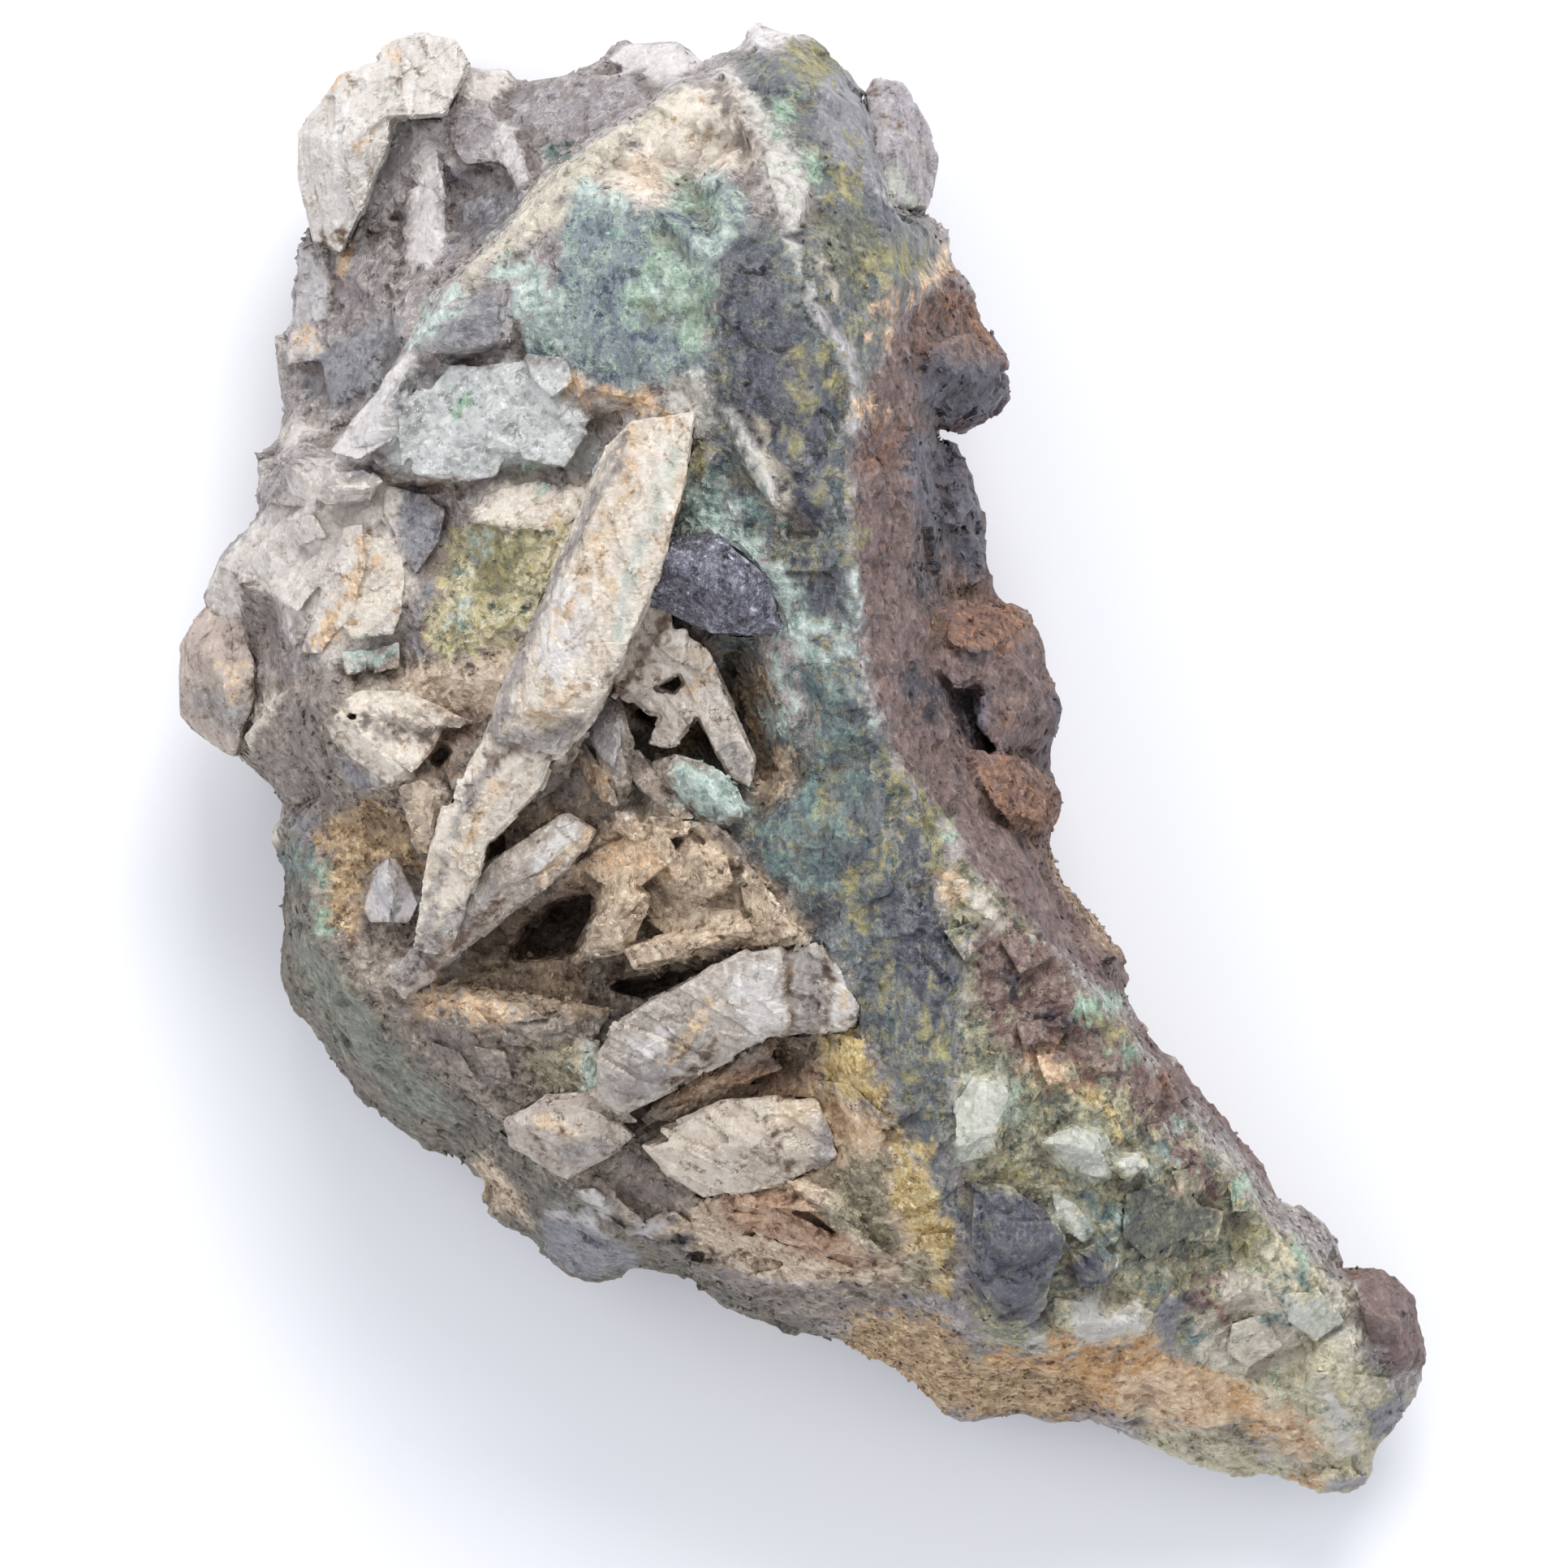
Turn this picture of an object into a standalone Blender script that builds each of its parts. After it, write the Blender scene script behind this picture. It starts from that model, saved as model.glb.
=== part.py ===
"""A hand specimen of bournonite ore with baryte blades, lying on its flattest side.

Run it with: blender --background --python part.py

Places are written in millimetres as (right, front, up): how far right and how far towards the
front as seen from above, measured from the back left corner of a 97 mm square, and how high
above the table. The finished specimen is then moved so that the middle of its underside is the
origin, with X to the right, Y to the back and Z up.
"""

import bmesh
import bpy
import numpy as np
from mathutils import Vector, noise
from mathutils.geometry import delaunay_2d_cdt
from mathutils.kdtree import KDTree

MM = 0.001

# Driving dimensions, in millimetres
CRYSTAL_GAP = 0.35  # round each crystal that sits in the ore
PLAN_MIDDLE = (49.75, 47.0)
TOP_FACET = 4.2  # an edge of the top longer than this is split before it is roughened
UNDERSIDE_FACET = 9.0
SPLITTING_ROUNDS = 3
ROUGHNESS = 0.5  # height of the broken surface's unevenness
CRAG_ROUGHNESS = 1.5  # the same on the iron-stained crags
CRAGS_LEFT_EDGE = 7.0  # the crags are to the right of this X
ARM_START = -3.0  # in front of this Y they follow the arm, which goes to the right
ARM_SLOPE = 0.55
CRAG_FADE = 2.0
LUMP_SIZE = 4.5  # typical width of one unevenness
CHIP_SIZE = 3.2  # typical width of one flat chip
CHIP_TILT = 0.9  # steepness of the chips against the surface they are on
RIM_LIFT = 0.5  # between rim points that face each other, the top is this much higher
SMOOTH_RIM = 3.0  # the roughness fades out this near the rim
RESTING_DEPTH = 0.05  # what is lower than this belongs to the flat that it rests on

# The outline as seen from above, clockwise from the back left, in stretches that each have
# the height at which the top of the specimen turns over into its underside.
OUTLINE = [
    ("back left edge", 11.0, [
        (19.8, 11.5), (19.9, 9.6), (20.8, 7.6), (22.4, 5.9), (24.4, 5.4), (25.6, 4.4), (27.4, 4.4),
        (29.0, 4.4), (30.6, 3.7), (31.2, 4.4), (32.2, 4.7),
        (34.6, 4.1), (35.7, 4.0), (37.1, 3.2), (37.8, 2.2), (38.5, 2.0), (39.3, 2.5), (40.9, 2.2),
        (42.1, 2.7), (43.5, 3.5),
    ]),
    ("crown", 20.0, [
        (44.6, 3.2), (45.5, 3.0), (46.0, 1.9), (46.7, 1.4), (48.2, 1.9), (50.1, 2.4), (51.4, 3.7),
        (52.2, 4.3), (53.0, 5.4),
    ]),
    ("behind the corner crystal", 10.0, [
        (53.6, 7.0), (54.6, 8.4), (55.2, 9.8), (55.4, 11.2), (56.2, 12.9),
    ]),
    ("right shoulder", 18.0, [
        (57.8, 13.4), (58.6, 15.0), (58.8, 16.0), (59.8, 17.3), (60.4, 19.1), (61.3, 20.7),
    ]),
    ("nose", 16.0, [
        (62.1, 21.9), (62.4, 23.7), (62.2, 24.9), (61.3, 25.8), (60.0, 26.3), (58.9, 26.9),
    ]),
    ("crags", 15.0, [
        (59.6, 28.4), (60.2, 30.0), (60.9, 32.0), (60.9, 33.2), (60.7, 33.9), (61.0, 35.3),
        (61.2, 36.2), (61.9, 36.9), (63.6, 37.6), (64.5, 39.5), (64.6, 41.2), (65.2, 41.9),
        (65.7, 43.8), (65.1, 45.2), (64.8, 47.5), (65.5, 48.9), (65.5, 49.7), (64.9, 51.2),
        (64.7, 51.9), (65.0, 52.8), (65.6, 54.5),
    ]),
    ("low crag", 11.0, [
        (66.5, 55.7), (68.3, 57.4), (69.3, 59.1), (69.1, 59.7), (69.9, 60.7), (69.5, 61.2),
        (70.1, 62.7), (71.6, 64.8),
    ]),
    ("arm, right side", 11.0, [
        (72.7, 65.4), (73.3, 66.4), (74.9, 68.3), (76.0, 69.4), (77.3, 71.0), (78.1, 71.9),
        (79.2, 74.1), (80.5, 74.5), (81.6, 75.5), (82.5, 76.7), (83.0, 78.2),
    ]),
    ("tip", 7.0, [
        (84.0, 78.2), (85.1, 78.4), (86.4, 78.9), (87.7, 80.3), (87.9, 81.7), (88.6, 84.0),
        (88.1, 84.8), (87.8, 86.5), (87.4, 87.4), (86.6, 88.4), (85.1, 90.2), (85.1, 91.3),
        (84.6, 92.1), (83.7, 92.6), (81.8, 92.6), (80.4, 92.1),
    ]),
    ("arm, front side", 6.0, [
        (78.7, 91.5), (76.1, 91.5), (73.8, 90.8), (70.1, 89.3), (68.5, 88.4), (67.5, 87.9),
        (65.0, 88.3), (62.9, 87.7), (60.5, 88.1), (58.3, 87.7), (57.3, 86.8), (55.4, 84.9),
        (54.1, 84.2), (51.6, 82.9),
    ]),
    ("front edge", 7.5, [
        (48.7, 82.5), (46.8, 81.7), (44.6, 80.9), (43.3, 79.8), (41.7, 78.6), (40.4, 78.5),
        (39.1, 78.7), (36.9, 79.4), (35.8, 79.4), (34.8, 79.0), (34.0, 78.3), (32.4, 76.6),
        (31.2, 75.9), (30.2, 75.1), (29.5, 74.3), (29.6, 73.2), (28.5, 72.1),
    ]),
    ("front left facet", 7.0, [
        (27.5, 71.4), (26.2, 71.3), (24.4, 70.0), (21.6, 67.6), (20.6, 66.4), (19.8, 64.9),
        (18.8, 63.4), (17.7, 62.5), (17.2, 61.5), (16.8, 60.1), (16.9, 58.6), (17.1, 56.4),
        (17.2, 54.3), (16.6, 52.4), (16.2, 51.6), (17.0, 50.3), (17.2, 49.2),
    ]),
    ("left block", 12.0, [
        (16.5, 48.6), (14.8, 46.8), (13.6, 45.2), (12.8, 43.6), (12.5, 41.8), (12.8, 40.0),
        (13.3, 38.6),
    ]),
    ("left slab", 18.0, [(12.9, 37.6), (12.4, 36.6), (13.2, 35.0), (14.9, 32.7), (16.0, 31.4)]),
    ("back left side", 11.0, [
        (15.6, 29.5), (15.3, 27.6), (16.2, 27.3), (17.0, 26.5), (17.2, 25.2), (16.8, 23.5),
        (16.5, 20.4), (17.6, 19.6), (17.8, 17.7), (18.1, 15.0), (18.7, 13.6),
    ]),
]

# Ridges and steps that run through the top of the specimen
TOP_LINES = {
    "back ridge": [
        (44.9, 4.0, 24), (42.6, 5.2, 27), (39.6, 7.4, 29), (37.0, 9.2, 31), (34.5, 11.2, 32),
        (32.0, 14.2, 33), (29.5, 16.7, 33.2), (27.3, 18.7, 33), (25.8, 21.4, 32.5), (24.4, 24.2, 31.5),
        (22.9, 26.9, 30), (22.0, 28.7, 29.5), (20.4, 28.9, 28.5), (18.5, 28.4, 27.5), (17.2, 30.2, 24.5),
    ],
    "foot of the back ridge": [
        (43.4, 4.5, 17), (41.4, 4.9, 18), (38.7, 6.7, 18.5), (36.2, 8.5, 19.5), (33.7, 10.5, 20),
        (31.2, 13.6, 20), (28.8, 16.0, 20), (26.5, 18.1, 20), (25.0, 20.9, 19.5), (23.6, 23.7, 19),
        (22.0, 26.2, 18.5), (20.2, 27.7, 18), (18.2, 27.5, 17), (16.7, 29.3, 15),
    ],
    "crest": [
        (53.0, 6.9, 26), (53.6, 10.5, 30), (54.5, 14.0, 33), (55.0, 17.5, 35), (54.0, 20.5, 36.5),
        (53.0, 24.0, 38.5), (52.4, 28.0, 39.5), (52.5, 35.0, 40), (53.0, 41.0, 39.5), (54.4, 46.0, 38.5),
        (56.8, 50.0, 37.5), (59.4, 53.0, 36), (62.4, 55.8, 34), (65.0, 58.6, 31.5), (68.0, 62.0, 28.5),
        (70.2, 65.0, 26), (73.0, 68.4, 23.5), (75.8, 72.0, 21), (78.0, 75.5, 19), (80.8, 78.2, 17.5),
    ],
    "lower edge of the brown face": [
        (56.4, 25.0, 33.5), (56.2, 28.0, 33.5), (56.0, 33.0, 34), (56.0, 37.5, 33.5), (56.8, 42.0, 33),
        (58.5, 46.5, 32), (60.5, 50.0, 31), (63.0, 53.2, 29), (65.6, 57.0, 26), (68.0, 60.2, 23),
    ],
    "foot of the crags": [
        (57.4, 27.6, 25), (57.7, 31.5, 26), (57.4, 36.0, 26.5), (58.4, 41.0, 26), (60.1, 45.4, 25.5),
        (62.0, 48.6, 24.5), (64.0, 52.2, 22),
    ],
    "front edge": [
        (17.9, 50.4, 21), (18.4, 53.5, 23), (19.6, 57.5, 24.5), (21.4, 60.6, 25), (23.6, 63.3, 25),
        (26.6, 65.8, 25), (30.0, 68.0, 25), (33.0, 71.0, 24.5), (36.0, 73.8, 24.5), (39.2, 75.8, 24),
        (42.4, 77.4, 23), (45.8, 79.2, 21.5), (49.6, 80.8, 20), (53.5, 82.3, 18), (57.5, 84.6, 16),
    ],
}

# Spot heights between the ridges
TOP_SPOTS = {
    "back slab": [
        (24.5, 6.0, 14), (27.5, 5.5, 14.5), (30.5, 7.0, 15), (22.0, 13.0, 13.5), (26.5, 9.5, 15.5),
        (25.0, 15.0, 15.5), (20.5, 19.0, 13.5), (23.5, 18.0, 17), (20.0, 24.0, 14), (22.0, 21.5, 17),
        (34.0, 7.0, 16), (38.0, 5.0, 14.5), (41.0, 4.2, 15.5), (29.5, 11.5, 16), (33.0, 8.8, 17.5),
        (18.0, 24.8, 12.5), (26.0, 12.0, 14.5), (22.5, 16.0, 15),
    ],
    "crown": [
        (46.8, 3.2, 24), (48.5, 5.0, 29), (51.0, 6.0, 29), (47.5, 8.5, 32.5), (50.5, 10.5, 34),
        (52.0, 14.0, 35.5), (52.6, 18.0, 37.5),
    ],
    "cream hollow": [
        (41.5, 7.9, 29.5), (44.0, 6.9, 30), (45.5, 9.5, 31), (41.0, 10.5, 30.5), (38.2, 10.6, 31),
        (42.5, 11.4, 31),
    ],
    "malachite field": [
        (36.0, 12.2, 34.5), (40.0, 13.0, 35.5), (44.5, 11.8, 36), (46.5, 14.0, 37.5), (35.0, 16.0, 35.5),
        (39.0, 17.0, 37), (43.0, 17.5, 38), (33.5, 19.5, 35), (37.0, 21.5, 36.5), (41.5, 22.5, 38),
        (36.0, 24.3, 36), (40.0, 25.0, 37),
    ],
    "dark facet": [
        (44.6, 16.6, 39.5), (49.2, 16.0, 40.2), (44.2, 22.0, 39.5), (44.6, 27.5, 39), (47.5, 30.5, 40),
        (51.0, 22.0, 40.5), (50.0, 26.0, 41), (49.2, 20.0, 41),
    ],
    "quartz field": [
        (25.2, 28.4, 31), (26.6, 24.0, 31.5), (29.5, 23.2, 32), (33.0, 23.6, 33), (36.5, 26.5, 34),
        (35.5, 29.3, 33), (31.5, 29.6, 31.5), (28.5, 29.8, 31), (27.2, 31.6, 28.5), (24.6, 30.4, 28),
    ],
    "left slab": [
        (19.5, 31.0, 28), (22.5, 31.5, 28.5), (20.5, 34.5, 27.5), (16.5, 33.5, 24), (14.8, 35.5, 21.5),
        (18.0, 38.0, 25), (22.0, 37.0, 28), (24.5, 35.0, 29), (24.0, 40.3, 27.5), (17.0, 40.8, 22.5),
        (14.5, 38.5, 18),
    ],
    "yellow patch": [
        (28.0, 33.4, 29.5), (31.0, 32.4, 32), (35.0, 31.5, 33), (35.4, 34.0, 33), (33.5, 38.0, 32.5),
        (31.0, 42.0, 31), (27.0, 38.5, 30), (26.5, 41.3, 29.5), (29.5, 44.5, 29),
    ],
    "pitted book of plates": [
        (15.0, 43.4, 18), (20.0, 42.0, 27), (22.5, 42.6, 28), (25.0, 43.7, 29.5), (27.2, 46.0, 29.5),
        (26.4, 48.0, 28.5), (25.0, 49.5, 28), (22.5, 48.2, 28), (19.0, 46.5, 25), (16.6, 46.2, 20),
        (20.0, 49.0, 23.5), (17.4, 43.6, 23),
    ],
    "rusty hollow": [
        (20.0, 51.5, 23.5), (22.5, 50.6, 25), (25.5, 51.2, 26), (26.0, 54.0, 26), (23.0, 54.5, 24.5),
        (20.5, 54.5, 24), (22.5, 57.5, 25.5), (25.5, 57.5, 26.5),
    ],
    "beside the long blade": [
        (41.5, 31.5, 36), (43.5, 29.5, 38), (40.5, 37.0, 35), (38.5, 43.0, 33.5), (36.5, 46.5, 32),
        (34.5, 49.0, 31.5), (33.0, 51.0, 31),
    ],
    "green vein": [(44.0, 33.0, 38), (47.0, 33.0, 39), (49.0, 37.0, 39), (50.5, 41.0, 39)],
    "latticed cavity": [
        (40.5, 42.5, 28), (43.0, 44.5, 26.5), (44.0, 47.5, 28), (40.0, 45.8, 30), (46.5, 44.4, 32),
        (47.3, 47.5, 32), (46.2, 39.8, 36),
    ],
    "left side of the dark band": [
        (48.8, 44.5, 37), (50.0, 48.0, 37), (47.0, 51.0, 36.5), (44.0, 49.8, 35.5), (41.5, 48.0, 34.5),
        (48.5, 55.0, 36), (51.0, 58.5, 36), (53.0, 62.5, 35.5), (55.0, 67.5, 34), (57.5, 72.5, 32.5),
        (59.5, 76.0, 30.5), (61.0, 81.0, 26.5), (64.5, 82.5, 23),
    ],
    "dark band": [
        (51.0, 31.5, 40.5), (51.5, 45.0, 39.5), (53.5, 51.5, 38.5), (55.5, 56.0, 37.5),
        (57.0, 61.0, 36.5),
        (58.5, 66.0, 35), (56.5, 66.0, 35.5),
    ],
    "tan crystals": [
        (39.5, 51.0, 33), (42.5, 52.5, 34), (46.0, 54.5, 34.5), (44.5, 57.3, 33), (41.0, 56.5, 32),
        (47.5, 58.0, 34.5), (38.0, 54.5, 31.5), (36.2, 52.5, 31.5),
    ],
    "floor under the slab": [
        (31.5, 58.5, 26), (30.0, 61.0, 27), (34.0, 61.5, 26.5), (38.5, 61.0, 26), (42.0, 60.0, 26),
        (45.0, 59.8, 28.5), (37.5, 57.5, 26),
    ],
    "lower shelf": [
        (26.0, 60.5, 27.5), (27.5, 62.5, 27.5), (31.0, 63.5, 28), (34.5, 63.8, 28), (29.5, 66.0, 27),
        (32.5, 66.5, 27), (36.0, 66.0, 27.5), (40.0, 63.5, 27.5), (45.0, 61.8, 29), (50.0, 60.3, 33),
        (52.2, 63.0, 33), (46.5, 65.8, 26.5), (42.5, 68.0, 26), (37.5, 69.0, 26), (50.0, 65.0, 30),
    ],
    "yellow seam": [
        (52.5, 66.0, 33), (53.5, 70.0, 32), (51.5, 68.5, 31), (55.5, 73.0, 31), (52.0, 73.0, 29.5),
        (56.0, 77.0, 28.5),
    ],
    "front plates": [
        (33.5, 69.6, 25.5), (38.0, 72.5, 25.5), (41.0, 73.5, 25.5), (44.0, 75.0, 26.5),
        (48.0, 75.5, 27.5),
        (52.0, 77.5, 26.5), (46.0, 77.3, 24.5), (50.0, 79.2, 22.5), (56.0, 80.5, 23), (60.0, 84.0, 19),
        (66.0, 84.5, 17.5),
    ],
    "arm": [
        (60.5, 58.5, 35), (63.5, 62.0, 32.5), (61.5, 64.5, 33.5), (66.5, 66.0, 29.5), (62.0, 69.0, 32.5),
        (66.5, 70.5, 29.5), (70.5, 70.5, 26), (65.0, 75.0, 29), (69.5, 75.5, 25.5), (74.0, 75.5, 21.5),
        (68.0, 80.0, 24), (73.0, 80.5, 20), (77.5, 79.5, 18), (63.0, 78.5, 28), (71.0, 84.5, 18),
        (76.0, 84.5, 15.5), (80.5, 83.0, 15), (84.0, 81.0, 14.5), (86.0, 83.5, 12.5), (84.0, 86.5, 12),
        (79.5, 88.0, 11.5), (74.5, 88.0, 12.5), (69.0, 86.8, 14), (82.5, 89.5, 10),
    ],
    "front left facet": [
        (19.0, 60.0, 16), (22.5, 64.5, 17), (26.0, 68.0, 17), (29.8, 70.8, 17), (33.5, 74.6, 17),
        (37.5, 77.0, 15.5), (18.0, 56.0, 15), (43.5, 79.2, 14.5), (52.0, 82.6, 12), (31.8, 73.4, 14),
    ],
}

# The flat the specimen rests on, and spots on the flanks that rise from it to the outline
RESTING_FLAT = [
    (23.0, 15.0), (30.0, 9.5), (41.0, 9.0), (49.0, 13.0), (52.5, 22.0), (53.5, 34.0), (56.5, 46.0),
    (60.5, 56.0), (66.5, 65.0), (73.0, 73.0), (79.0, 79.5), (81.0, 85.0), (76.0, 86.5), (68.0, 83.0),
    (60.0, 81.5), (50.0, 77.5), (41.5, 73.5), (34.0, 69.0), (27.0, 63.0), (23.5, 56.0), (22.0, 48.0),
    (19.5, 41.0), (21.5, 33.5), (23.5, 27.0), (22.5, 20.5),
]
FLANK_SPOTS = [
    (27.0, 5.6, 6.5), (38.0, 5.4, 6), (47.5, 6.5, 9), (54.5, 11.0, 6.5), (57.0, 21.0, 8), (57.3, 31.0, 7),
    (60.5, 42.0, 7.5), (63.0, 51.5, 7), (68.5, 63.0, 5), (76.5, 73.5, 5), (84.8, 82.0, 3.5),
    (83.0, 89.0, 2.5),
    (72.0, 87.5, 2.5), (58.0, 84.6, 3), (45.0, 79.0, 3.5), (34.5, 75.5, 4), (25.5, 67.5, 3.5),
    (19.5, 59.5, 4), (19.0, 50.0, 5), (14.5, 42.0, 6), (16.8, 35.0, 8), (19.0, 25.0, 5), (20.5, 15.0, 5),
    (21.5, 8.0, 6),
]

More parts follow.
